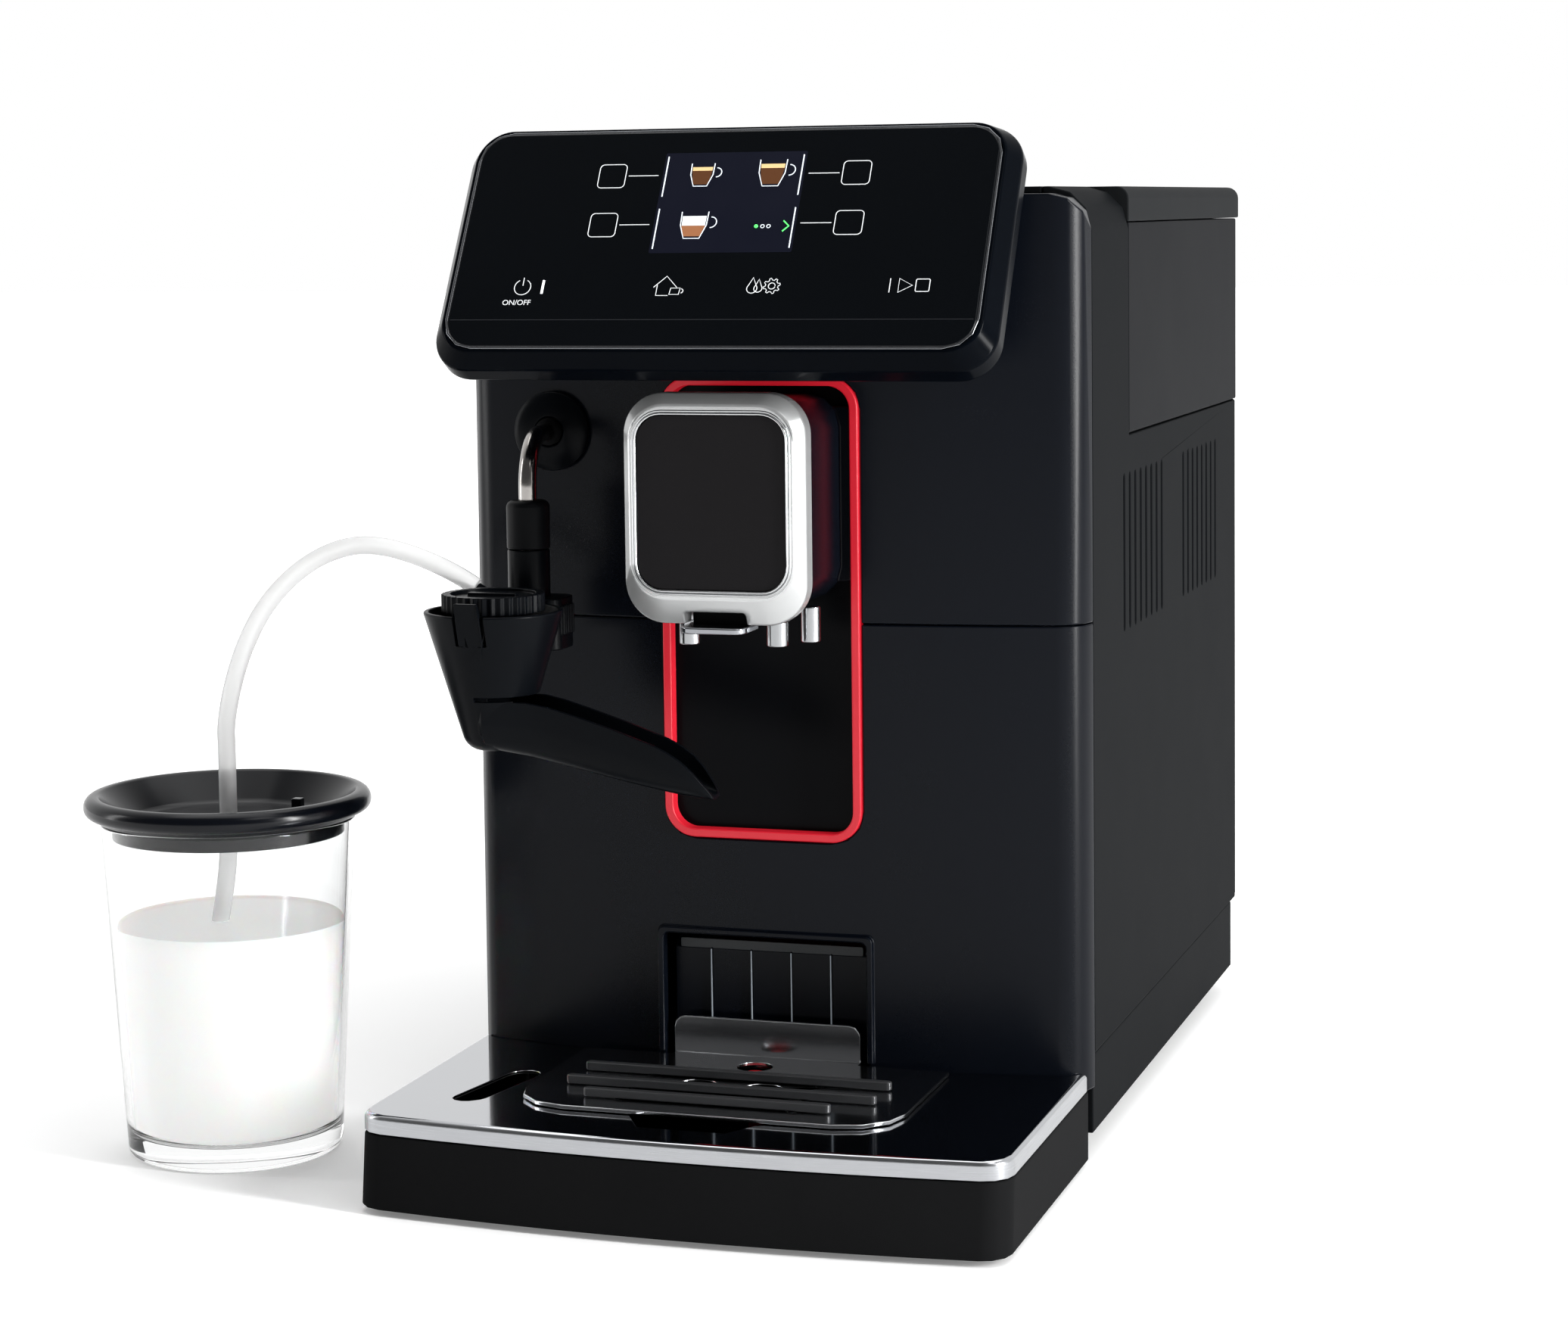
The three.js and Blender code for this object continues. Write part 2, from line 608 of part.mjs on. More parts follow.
const CIRCUIT_REAR_Y = SIDE_REAR_Y - CIRCUIT_REAR_INSET;
const MILK_Y = FASCIA_Y - MILK_REACH;
const NIPPLE_Z = CUP_RIM_Z + NIPPLE_RISE;
const HOSE_FALL = NIPPLE_Z + HOSE_HUMP[HOSE_HUMP.length - 1][2] - LID_TOP_Z;
const HOSE_PATH = [
  ...HOSE_HUMP.map(([left, reach, rise]) => [left, reach, NIPPLE_Z + rise]),
  ...HOSE_FALL_SHARES.map(([left, reach, share]) => [left, reach, LID_TOP_Z + share * HOSE_FALL]),
  ...HOSE_DIP.map(([left, reach, depth]) => [left, reach, LID_TOP_Z - depth]),
].map(([left, reach, z]) => new THREE.Vector3(WAND_X - left, FASCIA_Y - reach, z));
const ZERO = new THREE.Vector3();

// Solids and meshes
function solidOf(geometry) {
  const bare = geometry.clone();
  bare.deleteAttribute('normal');
  bare.deleteAttribute('uv');
  const merged = mergeVertices(bare, MERGE_DISTANCE);
  const place = merged.attributes.position.array;
  const corners = [];
  let volume = 0;
  for (let i = 0; i < merged.index.count; i += 3) {
    const [a, b, c] = [merged.index.getX(i), merged.index.getX(i + 1), merged.index.getX(i + 2)];
    if (a === b || b === c || a === c) continue;
    corners.push(a, b, c);
    const [p, q, r] = [a, b, c].map((n) => new THREE.Vector3().fromArray(place, n * 3));
    volume += p.dot(q.cross(r));
  }
  if (volume < 0) corners.reverse();
  return new wasm.Manifold(new wasm.Mesh({
    numProp: 3,
    vertProperties: Float32Array.from(place),
    triVerts: Uint32Array.from(corners),
  }));
}

function geometryOf(solid) {
  const mesh = solid.getMesh();
  const geometry = new THREE.BufferGeometry();
  geometry.setAttribute('position', new THREE.BufferAttribute(mesh.vertProperties, 3));
  geometry.setIndex(new THREE.BufferAttribute(mesh.triVerts, 1));
  geometry.computeVertexNormals();
  return geometry;
}

function join(first, ...others) {
  return others.reduce((sum, solid) => sum.add(solid), first);
}

function cut(first, ...others) {
  return others.reduce((rest, solid) => rest.subtract(solid), first);
}

function piece(name, solid, material, at = ZERO) {
  const mesh = new THREE.Mesh(geometryOf(solid), material);
  mesh.name = name;
  mesh.position.copy(at);
  return mesh;
}

// Outlines: lists of THREE.Vector2, counterclockwise
function arc(centerX, centerY, radius, from, to, steps) {
  return Array.from({ length: steps + 1 }, (unused, i) => {
    const angle = from + (to - from) * (i / steps);
    return new THREE.Vector2(centerX + radius * Math.cos(angle), centerY + radius * Math.sin(angle));
  });
}

function rounded(left, right, low, high, radius, steps = CORNER_STEPS) {
  const [a, b, c, d] = Array.isArray(radius) ? radius : [radius, radius, radius, radius];
  const quarter = Math.PI / 2;
  const corner = (x, y, inX, inY, size, from) => {
    const sharp = [new THREE.Vector2(x, y)];
    return size > GAP ? arc(x + inX * size, y + inY * size, size, from, from + quarter, steps) : sharp;
  };
  return [
    ...corner(left, low, 1, 1, a, 2 * quarter), ...corner(right, low, -1, 1, b, 3 * quarter),
    ...corner(right, high, -1, -1, c, 0), ...corner(left, high, 1, -1, d, quarter),
  ];
}

function circle(centerX, centerY, radius, steps = ROUND_STEPS) {
  return arc(centerX, centerY, radius, 0, 2 * Math.PI, steps).slice(0, steps);
}

function points(pairs) {
  return pairs.map(([a, b]) => new THREE.Vector2(a, b));
}

// Solids from outlines: along Z, along X from (y, z) and along Y from (x, z)
function extruded(outline, depth, holes) {
  const shape = new THREE.Shape(outline);
  shape.holes = holes.map((hole) => new THREE.Path(hole));
  return new THREE.ExtrudeGeometry(shape, { depth, bevelEnabled: false, steps: 1 });
}

function slabZ(outline, low, high, holes = []) {
  return solidOf(extruded(outline, high - low, holes).translate(0, 0, low));
}

function slabX(outline, low, high, holes = []) {
  const turn = new THREE.Matrix4().set(0, 0, 1, low, 1, 0, 0, 0, 0, 1, 0, 0, 0, 0, 0, 1);
  return solidOf(extruded(outline, high - low, holes).applyMatrix4(turn));
}

function slabY(outline, low, high, holes = []) {
  const turn = new THREE.Matrix4().set(1, 0, 0, 0, 0, 0, -1, high, 0, 1, 0, 0, 0, 0, 0, 1);
  return solidOf(extruded(outline, high - low, holes).applyMatrix4(turn));
}

function box(left, right, front, rear, low, high) {
  const geometry = new THREE.BoxGeometry(right - left, rear - front, high - low);
  return solidOf(geometry.translate((left + right) / 2, (front + rear) / 2, (low + high) / 2));
}

function latheGeometry(profile, steps = ROUND_STEPS) {
  return new THREE.LatheGeometry(points(profile), steps).rotateX(Math.PI / 2);
}

function lathe(profile, steps = ROUND_STEPS) {
  return solidOf(latheGeometry(profile, steps));
}

function tubeGeometry(path, radius, sides, steps) {
  const shape = new THREE.Shape(circle(0, 0, radius, sides));
  return new THREE.ExtrudeGeometry(shape, { steps, extrudePath: path, bevelEnabled: false });
}

// Rings of as many points each, skinned and closed with a fan at both ends
function loft(rings) {
  const count = rings[0].length;
  const place = rings.flat().flatMap((p) => p.toArray());
  const corners = [];
  for (let k = 0; k + 1 < rings.length; k += 1) {
    for (let i = 0; i < count; i += 1) {
      const [a, b] = [k * count + i, k * count + ((i + 1) % count)];
      corners.push(a, b, b + count, a, b + count, a + count);
    }
  }
  [0, rings.length - 1].forEach((k, end) => {
    const middle = rings[k].reduce((sum, p) => sum.clone().add(p)).clone().divideScalar(count);
    const hub = place.length / 3;
    place.push(...middle.toArray());
    for (let i = 0; i < count; i += 1) {
      const [a, b] = [k * count + i, k * count + ((i + 1) % count)];
      corners.push(...(end ? [a, b, hub] : [b, a, hub]));
    }
  });
  const geometry = new THREE.BufferGeometry();
  geometry.setAttribute('position', new THREE.Float32BufferAttribute(place, 3));
  geometry.setIndex(corners);
  return geometry;
}

// Finishes
function finish(color, roughness, metalness = 0, extra = {}) {
  return new THREE.MeshStandardMaterial({ color, roughness, metalness, ...extra });
}

const satinBlack = () => finish(0x15171a, 0.42);
const glossBlack = () => finish(0x08090b, 0.12);
const mattBlack = () => finish(0x1c1d1f, 0.6);
const rubber = () => finish(0x202123, 0.85);
const chrome = () => finish(0xd9dbdd, 0.12, 1);
const satinSteel = () => finish(0xbfc2c5, 0.3, 1);
const castMetal = () => finish(0x8f9296, 0.5, 0.8);
const redLight = () => finish(0xd81e2c, 0.35);
const greyPlastic = () => finish(0x55585c, 0.55);
const palePlastic = () => finish(0xc9cac6, 0.5);
const smokedPlastic = () => finish(0x24282c, 0.15, 0, { transparent: true, opacity: 0.85 });
const clearGlass = () => finish(0xe8f0f0, 0.05, 0, { transparent: true, opacity: 0.35 });
const silicone = () => finish(0xeef0f0, 0.25, 0, { transparent: true, opacity: 0.6 });
const circuitGreen = () => finish(0x1d4a33, 0.5);
const brass = () => finish(0xb08a4a, 0.35, 0.9);

// The bowed front in plan, moved in from all its sides alike
function frontPlan(inset, rearY) {
  const radius = BOW_RADIUS - inset;
  const corner = Math.max(FASCIA_CORNER - inset, GAP);
  const bowCenterY = FASCIA_Y + BOW_RADIUS;
  const half = HALF_WIDTH - inset;
  const spread = Math.asin((half - corner) / (radius - corner));
  const cornerX = (radius - corner) * Math.sin(spread);
  const cornerY = bowCenterY - (radius - corner) * Math.cos(spread);
  const down = -Math.PI / 2;
  return [
    new THREE.Vector2(-half, rearY),
    ...arc(-cornerX, cornerY, corner, -Math.PI, down - spread, CORNER_STEPS),
    ...arc(0, bowCenterY, radius, down - spread, down + spread, BOW_STEPS).slice(1, -1),
    ...arc(cornerX, cornerY, corner, down + spread, 0, CORNER_STEPS),
    new THREE.Vector2(half, rearY),
  ];
}

function fasciaBlock(inset, rearY, low, high) {
  const view = rounded(
    -HALF_WIDTH + inset, HALF_WIDTH - inset, low, high, [GAP, GAP, FASCIA_TOP_ROUND, FASCIA_TOP_ROUND],
  );
  const plan = slabZ(frontPlan(inset, rearY), low, high);
  return high > FASCIA_SPLIT_Z + OVERRUN ? plan.intersect(slabY(view, FRONT_Y, rearY + OVERRUN)) : plan;
}

function recessOutline(inset) {
  const half = RECESS_HALF_WIDTH - inset;
  return rounded(-half, half, RECESS_BOTTOM_Z + inset, RECESS_TOP_Z - inset, RECESS_ROUND - inset);
}

// Feet and base pan
function foot(name, x, y) {
  const profile = [
    [0, 0], [FOOT_RADIUS - GAP, 0], [FOOT_RADIUS, GAP * 2], [FOOT_RADIUS, PAN_BOTTOM_Z - GAP],
    [0, PAN_BOTTOM_Z - GAP],
  ];
  return piece(name, lathe(profile, ROUND_STEPS), rubber(), new THREE.Vector3(x, y, 0));
}

function feet() {
  const x = HALF_WIDTH - FOOT_INSET;
  const front = SEAM_Y + FRONT_FOOT_INSET;
  const rear = SIDE_REAR_Y - FOOT_INSET;
  return [
    foot('foot_front_left', -x, front), foot('foot_front_right', x, front),
    foot('foot_rear_left', -x, rear), foot('foot_rear_right', x, rear),
  ];
}

function basePan() {
  const half = HALF_WIDTH - PAN_INSET;
  const front = SEAM_Y + GAP;
  const rear = SIDE_REAR_Y;
  const outer = slabZ(
    rounded(-half, half, front, rear, [GAP, GAP, PAN_CORNER, PAN_CORNER]), PAN_BOTTOM_Z, PAN_TOP_Z,
  );
  const inner = slabZ(
    rounded(
      -half + PAN_WALL, half - PAN_WALL, front - OVERRUN, rear - PAN_WALL,
      [GAP, GAP, PAN_CORNER, PAN_CORNER],
    ),
    PAN_FLOOR_Z, PAN_TOP_Z + OVERRUN,
  );
  return piece('base_pan', cut(outer, inner), satinBlack());
}

// Fascia shells
function windowOutline(inset) {
  const half = WINDOW_HALF_WIDTH - inset;
  const low = FASCIA_BOTTOM_Z - OVERRUN;
  return rounded(-half, half, low, WINDOW_TOP_Z - inset, [GAP, GAP, WINDOW_RIM, WINDOW_RIM]);
}

function lowerFascia() {
  const top = FASCIA_SPLIT_Z - GAP / 2;
  const outer = fasciaBlock(0, SEAM_Y, FASCIA_BOTTOM_Z, top);
  const hollow = fasciaBlock(FASCIA_WALL, SEAM_Y + OVERRUN, FASCIA_BOTTOM_Z - OVERRUN, top + OVERRUN);
  const window = slabY(windowOutline(0), FRONT_Y, SEAM_Y);
  const recess = slabY(recessOutline(-GAP), FRONT_Y, SEAM_Y);
  const collar = slabY(windowOutline(-WINDOW_RIM), FASCIA_Y - WINDOW_RIM_PROUD, FASCIA_Y + FASCIA_WALL);
  const below = box(
    -HALF_WIDTH, HALF_WIDTH, FRONT_Y, SEAM_Y, -OVERRUN, TRAY_TOP_Z + PLATE_SHEET + LOOSE_GAP,
  );
  const shell = join(cut(outer, hollow), cut(collar, below));
  return piece('lower_fascia', cut(shell, window, recess), satinBlack());
}

function upperFascia() {
  const bottom = FASCIA_SPLIT_Z + GAP / 2;
  const outer = fasciaBlock(0, SEAM_Y, bottom, FASCIA_TOP_Z);
  const hollow = fasciaBlock(FASCIA_WALL, SEAM_Y + OVERRUN, bottom - OVERRUN, FASCIA_TOP_Z - FASCIA_WALL);
  const recess = slabY(recessOutline(-GAP), FRONT_Y, SEAM_Y);
  return piece('upper_fascia', cut(outer, hollow, recess), satinBlack());
}

function redLightFrame() {
  const front = FASCIA_Y - RED_PROUD;
  const rear = FASCIA_Y + RED_DEPTH;
  const ring = slabY(recessOutline(0), front, rear, [recessOutline(RED_STRIP)]);
  const groove = slabY(recessOutline(RED_STRIP - RED_LIP), front + RED_LIP_DEPTH, rear + OVERRUN);
  return piece('red_light_frame', cut(ring, groove), redLight());
}

function recessPanel() {
  const front = FASCIA_Y + RED_DEPTH + GAP;
  const plate = slabY(recessOutline(-RECESS_LAP), front, front + RECESS_PLATE);
  return piece('recess_panel', plate, glossBlack());
}

// Side panels, top cover and rear cover
function shellOutline(inset, low) {
  const half = HALF_WIDTH - inset;
  const round = TOP_ROUND - inset;
  return rounded(-half, half, low, TOP_Z - inset, [GAP, GAP, round, round]);
}

function ventCutters(side) {
  const wall = HALF_WIDTH + OVERRUN;
  const groups = side > 0 ? [FRONT_VENT_SHARE, REAR_VENT_SHARE] : [REAR_VENT_SHARE];
  return groups.flatMap((share) => Array.from({ length: VENT_COUNT }, (unused, i) => {
    const y = SEAM_Y + (share + i * VENT_PITCH_SHARE) * SIDE_LENGTH;
    const outline = rounded(y, y + VENT_WIDTH, VENT_BOTTOM_Z, VENT_TOP_Z, VENT_WIDTH / 3, VENT_CORNER_STEPS);
    return side > 0
      ? slabX(outline, HALF_WIDTH - SHELL_WALL - OVERRUN, wall)
      : slabX(outline, -wall, -HALF_WIDTH + SHELL_WALL + OVERRUN);
  }));
}

function sideShell(rearY, low) {
  const outer = slabY(shellOutline(0, low), SIDE_FRONT_Y, rearY);
  const inner = slabY(shellOutline(SHELL_WALL, low - OVERRUN), SIDE_FRONT_Y - OVERRUN, rearY + OVERRUN);
  return cut(outer, inner);
}

function rightSidePanel() {
  const low = PAN_TOP_Z + PANEL_SEAM_GAP;
  const keep = box(
    HALF_WIDTH - TOP_ROUND - TOP_FLANGE, HALF_WIDTH + OVERRUN, FRONT_Y, REAR_Y, 0, OVERALL_HEIGHT,
  );
  const band = sideShell(BAND_REAR_Y, low).intersect(keep);
  const plate = box(
    HALF_WIDTH - SHELL_WALL, HALF_WIDTH, BAND_REAR_Y - OVERRUN, SIDE_REAR_Y, low, TANK_SEAM_Z - GAP,
  );
  return piece('right_side_panel', cut(join(band, plate), ...ventCutters(1)), satinBlack());
}

function doorFront() {
  return SEAM_Y + SIDE_LENGTH * DOOR_FRONT_SHARE;
}

function doorOutline(inset) {
  const front = doorFront();
  const rear = front + SIDE_LENGTH * DOOR_LENGTH_SHARE;
  return rounded(front + inset, rear - inset, DOOR_BOTTOM_Z + inset, DOOR_TOP_Z - inset, DOOR_ROUND);
}

function leftSidePanel() {
  const low = PAN_TOP_Z + PANEL_SEAM_GAP;
  const keep = box(
    -HALF_WIDTH - OVERRUN, -HALF_WIDTH + TOP_ROUND + TOP_FLANGE, FRONT_Y, REAR_Y, 0, OVERALL_HEIGHT,
  );
  const shell = sideShell(SIDE_REAR_Y, low).intersect(keep);
  const opening = slabX(doorOutline(0), -HALF_WIDTH - OVERRUN, -HALF_WIDTH + SHELL_WALL + OVERRUN);
  return piece('left_side_panel', cut(shell, opening, ...ventCutters(-1)), satinBlack());
}

function serviceDoor() {
  const plate = slabX(doorOutline(DOOR_SEAM), -HALF_WIDTH, -HALF_WIDTH + SHELL_WALL);
  const front = doorFront() + DOOR_GRIP_WIDTH;
  const middle = (DOOR_BOTTOM_Z + DOOR_TOP_Z) / 2;
  const grip = slabX(
    rounded(
      front, front + DOOR_GRIP_WIDTH, middle - DOOR_GRIP_LENGTH / 2, middle + DOOR_GRIP_LENGTH / 2,
      DOOR_ROUND,
    ),
    -HALF_WIDTH - OVERRUN, -HALF_WIDTH + DOOR_GRIP_DEPTH,
  );
  return piece('service_door', cut(plate, grip), satinBlack());
}

function topCover() {
  const left = -HALF_WIDTH + TOP_ROUND + TOP_FLANGE + GAP;
  const right = -left;
  const tankLeft = TANK_LEFT_X - GAP;
  const rear = COVER_REAR_Y;
  const outline = points([
    [left, SIDE_FRONT_Y], [right, SIDE_FRONT_Y], [right, BAND_REAR_Y], [tankLeft, BAND_REAR_Y],
    [tankLeft, rear], [left, rear],
  ]);
  const hopper = rounded(HOPPER_LEFT_X, HOPPER_RIGHT_X, HOPPER_FRONT_Y, HOPPER_REAR_Y, HOPPER_ROUND);
  const ground = rounded(GROUND_LEFT_X, GROUND_RIGHT_X, GROUND_FRONT_Y, GROUND_REAR_Y, HOPPER_WALL);
  const wall = GROUND_COLLAR_WALL;
  const collar = slabZ(
    rounded(
      GROUND_LEFT_X - wall, GROUND_RIGHT_X + wall, GROUND_FRONT_Y - wall, GROUND_REAR_Y + wall,
      HOPPER_WALL,
    ),
    GROUND_COLLAR_Z, DECK_Z + GAP, [ground],
  );
  return piece('top_cover', join(slabZ(outline, DECK_Z, TOP_Z, [hopper, ground]), collar), satinBlack());
}

function rearCover() {
  const half = HALF_WIDTH - PAN_INSET;
  const round = REAR_COVER_ROUND;
  const wall = SHELL_WALL;
  const low = slabZ(
    rounded(-half, half, COVER_FRONT_Y, COVER_REAR_Y, [GAP, GAP, round, round]), REAR_BOTTOM_Z,
    TANK_SEAM_Z - GAP,
  );
  const high = slabZ(
    rounded(-half, TANK_LEFT_X - LOOSE_GAP, COVER_FRONT_Y, COVER_REAR_Y, [GAP, GAP, GAP, round]),
    TANK_SEAM_Z - OVERRUN, DECK_Z - GAP,
  );
  const lowRoom = slabZ(
    rounded(
      -half + wall, half - wall, COVER_FRONT_Y - OVERRUN, COVER_REAR_Y - wall,
      [GAP, GAP, round - wall, round - wall],
    ),
    REAR_BOTTOM_Z + wall, TANK_SEAM_Z - GAP - wall,
  );
  const highRoom = slabZ(
    rounded(
      -half + wall, TANK_LEFT_X - LOOSE_GAP - wall, COVER_FRONT_Y - OVERRUN, COVER_REAR_Y - wall,
      [GAP, GAP, GAP, round - wall],
    ),
    TANK_SEAM_Z - OVERRUN * 2, DECK_Z - GAP - wall,
  );
  const inlet = slabY(inletOutline(GAP), COVER_REAR_Y - wall - OVERRUN, REAR_Y + OVERRUN);
  return piece('rear_cover', cut(join(low, high), lowRoom, highRoom, inlet), mattBlack());
}

// Drip tray with its steel cover
function trayPlan(inset, rake, rearY) {
  const half = TRAY_HALF_WIDTH - inset;
  const front = FRONT_Y + rake + inset;
  const corner = Math.max(TRAY_CORNER - inset, GAP);
  const radius = (TRAY_HALF_WIDTH * TRAY_HALF_WIDTH + TRAY_BOW * TRAY_BOW) / (2 * TRAY_BOW) - inset;
  const spread = Math.asin((half - corner) / (radius - corner));
  const centerY = front + radius;
  const cornerX = (radius - corner) * Math.sin(spread);
  const cornerY = centerY - (radius - corner) * Math.cos(spread);
  const down = -Math.PI / 2;
  return [
    new THREE.Vector2(-half, rearY),
    ...arc(-cornerX, cornerY, corner, -Math.PI, down - spread, CORNER_STEPS),
    ...arc(0, centerY, radius, down - spread, down + spread, BOW_STEPS).slice(1, -1),
    ...arc(cornerX, cornerY, corner, down + spread, 0, CORNER_STEPS),
    new THREE.Vector2(half, rearY),
  ];
}

function ringAt(outline, z) {
  return outline.map((p) => new THREE.Vector3(p.x, p.y, z));
}

function coverBlock(inset, low, high) {
  const plan = slabZ(trayPlan(inset, TRAY_RAKE, SEAM_Y - TRAY_SIDE_SETBACK - inset), low, high);
  const fascia = slabZ(frontPlan(-LOOSE_GAP - inset, SEAM_Y + OVERRUN), low - OVERRUN, high + OVERRUN);
  return plan.subtract(fascia);
}

function dripTray() {
  const rear = SEAM_Y - TRAY_SIDE_SETBACK;
  const block = solidOf(loft([
    ringAt(trayPlan(0, 0, rear), TRAY_BOTTOM_Z), ringAt(trayPlan(0, TRAY_RAKE, rear), TRAY_SHOULDER_Z),
  ]));
  const hollow = slabZ(
    trayPlan(TRAY_WALL, TRAY_RAKE, rear - TRAY_WALL), TRAY_BOTTOM_Z + TRAY_FLOOR, TRAY_TOP_Z + OVERRUN,
  );
  const lipLow = TRAY_SHOULDER_Z - TRAY_WALL;
  const lipHigh = TRAY_TOP_Z - COVER_SHEET - GAP;
  const lipInset = COVER_SHEET + GAP;
  const lip = cut(
    coverBlock(lipInset, lipLow, lipHigh),
    coverBlock(lipInset + TRAY_WALL, lipLow - OVERRUN, lipHigh + OVERRUN),
  );
  const tailHalf = TRAY_TAIL_HALF_WIDTH;
  const tail = box(
    -tailHalf, tailHalf, rear - TRAY_WALL / 2, TAIL_REAR_Y, TRAY_TAIL_FLOOR_Z, TRAY_TAIL_TOP_Z,
  );
  const tailRoom = box(
    -tailHalf + TRAY_WALL, tailHalf - TRAY_WALL, rear - TRAY_WALL * 2, TAIL_REAR_Y - TRAY_WALL,
    TRAY_TAIL_FLOOR_Z + TRAY_FLOOR, TRAY_TAIL_TOP_Z + OVERRUN,
  );
  const runnerX = GROUNDS_HALF_WIDTH - TRAY_WALL * 2;
  const runners = [-runnerX, runnerX].map((x) => box(
    x - TRAY_WALL / 2, x + TRAY_WALL / 2, rear - TRAY_WALL / 2, TAIL_REAR_Y - TRAY_WALL / 2,
    TRAY_TAIL_FLOOR_Z + TRAY_FLOOR / 2, TRAY_TAIL_TOP_Z,
  ));
  const shell = cut(join(cut(block, hollow), lip, tail), tailRoom);
  return piece('drip_tray', join(shell, ...runners), satinBlack());
}

function cupOpening(inset) {
  const half = PLATE_HALF_WIDTH - inset;
  const front = FRONT_Y + PLATE_FRONT_SETBACK + inset;
  const corner = PLATE_CORNER - inset;
  return { half, front, corner };
}

function trayCover() {
  const shell = cut(
    coverBlock(0, COVER_SKIRT_Z, TRAY_TOP_Z),
    coverBlock(COVER_SHEET, COVER_SKIRT_Z - OVERRUN, TRAY_TOP_Z - COVER_SHEET),
  );
  const { half, front, corner } = cupOpening(PLATE_LEDGE);
  const rear = FASCIA_Y - COVER_STRIP;
  const low = TRAY_BOTTOM_Z;
  const high = TRAY_TOP_Z + OVERRUN;
  const opening = slabZ(
    rounded(-half, half, front, rear, [corner, corner, COVER_STRIP, COVER_STRIP]), low, high,
  );
  const notchFront = FRONT_Y + PLATE_FRONT_SETBACK - NOTCH_DEPTH;
  const notch = slabZ(points([
    [-NOTCH_HALF_WIDTH, front + PLATE_LEDGE], [-NOTCH_FRONT_HALF_WIDTH, notchFront],
    [NOTCH_FRONT_HALF_WIDTH, notchFront], [NOTCH_HALF_WIDTH, front + PLATE_LEDGE],
  ]), low, high);
  const slotFront = FRONT_Y + GRIP_SLOT_SETBACK;
  const slotHalf = GRIP_SLOT_WIDTH / 2;
  const slotShape = rounded(
    GRIP_SLOT_X - slotHalf, GRIP_SLOT_X + slotHalf, slotFront, slotFront + GRIP_SLOT_LENGTH, slotHalf,
  ).map((p) => new THREE.Vector2(
    p.x + ((p.y - slotFront) / GRIP_SLOT_LENGTH) * GRIP_SLOT_SLANT * 2 - GRIP_SLOT_SLANT, p.y,
  ));
  return piece('tray_cover', cut(shell, opening, notch, slabZ(slotShape, low, high)), satinSteel());
}

function ribPlaces() {
  return RIB_SHARES.map((share, i) => ({
    y: FASCIA_Y - TRAY_REACH * share,
    half: i === RIB_SHARES.length - 1 ? FRONT_RIB_HALF_LENGTH : RIB_HALF_LENGTH,
  }));
}

function cupPlate() {
  const low = TRAY_TOP_Z + GAP;
  const high = low + PLATE_SHEET;
  const { half, front, corner } = cupOpening(0);
  const holeY = FASCIA_Y - TRAY_REACH * DRAIN_HOLE_SHARE;
  const holes = [
    circle(-DRAIN_HOLE_X, holeY, DRAIN_HOLE_RADIUS), circle(DRAIN_HOLE_X, holeY, DRAIN_HOLE_RADIUS),
    circle(0, FASCIA_Y - FLOAT_SETBACK, FLOAT_HOLE_RADIUS, ROUND_STEPS),
    ...ribPlaces().flatMap(({ y }) => [-RIB_STUD_X, RIB_STUD_X].map(
      (x) => circle(x, y, RIB_STUD_RADIUS + GAP, PIPE_SIDES),
    )),
  ];
  const rear = FASCIA_Y - LOOSE_GAP - WINDOW_RIM_PROUD;
  const sheet = slabZ(rounded(-half, half, front, rear, [corner, corner, GAP, GAP]), low, high, holes);
  const tongueRear = FASCIA_Y + TONGUE_SETBACK + PLATE_SHEET;
  const tongue = box(-TONGUE_HALF_WIDTH, TONGUE_HALF_WIDTH, rear - TONGUE_ROUND, tongueRear, low, high);
  const upright = slabY(
    rounded(
      -TONGUE_HALF_WIDTH, TONGUE_HALF_WIDTH, low, TONGUE_TOP_Z, [GAP, GAP, TONGUE_ROUND, TONGUE_ROUND],
    ),
    tongueRear - PLATE_SHEET, tongueRear,
  );
  return piece('cup_plate', join(sheet, tongue, upright), chrome());
}

function cupRibs() {
  const plateLow = TRAY_TOP_Z + GAP;
  const plateHigh = plateLow + PLATE_SHEET;
  const low = plateHigh + GAP;
  const webHigh = plateLow - GAP;
  const webLow = webHigh - RIB_WEB;
  const places = ribPlaces();
  const ribs = places.map(({ y, half }) => slabZ(
    rounded(-half, half, y - RIB_WIDTH / 2, y + RIB_WIDTH / 2, RIB_WIDTH / 2), low, low + RIB_HEIGHT,
  ));
  const studs = places.flatMap(({ y }) => [-RIB_STUD_X, RIB_STUD_X].map(
    (x) => slabZ(circle(x, y, RIB_STUD_RADIUS, PIPE_SIDES), webLow + RIB_WEB / 2, low + RIB_HEIGHT / 2),
  ));
  const rearY = places[0].y + RIB_WEB_WIDTH / 2;
  const frontY = places[places.length - 1].y - RIB_WEB_WIDTH / 2;
  const bars = [-RIB_STUD_X, RIB_STUD_X].map(
    (x) => box(x - RIB_WEB_WIDTH / 2, x + RIB_WEB_WIDTH / 2, frontY, rearY, webLow, webHigh),
  );
  const tieY = places[1].y - RIB_WEB_WIDTH;
  const tie = box(
    -RIB_STUD_X, RIB_STUD_X, tieY - RIB_WEB_WIDTH / 2, tieY + RIB_WEB_WIDTH / 2, webLow, webHigh,
  );
  return piece('cup_ribs', join(tie, ...bars, ...studs, ...ribs), rubber());
}

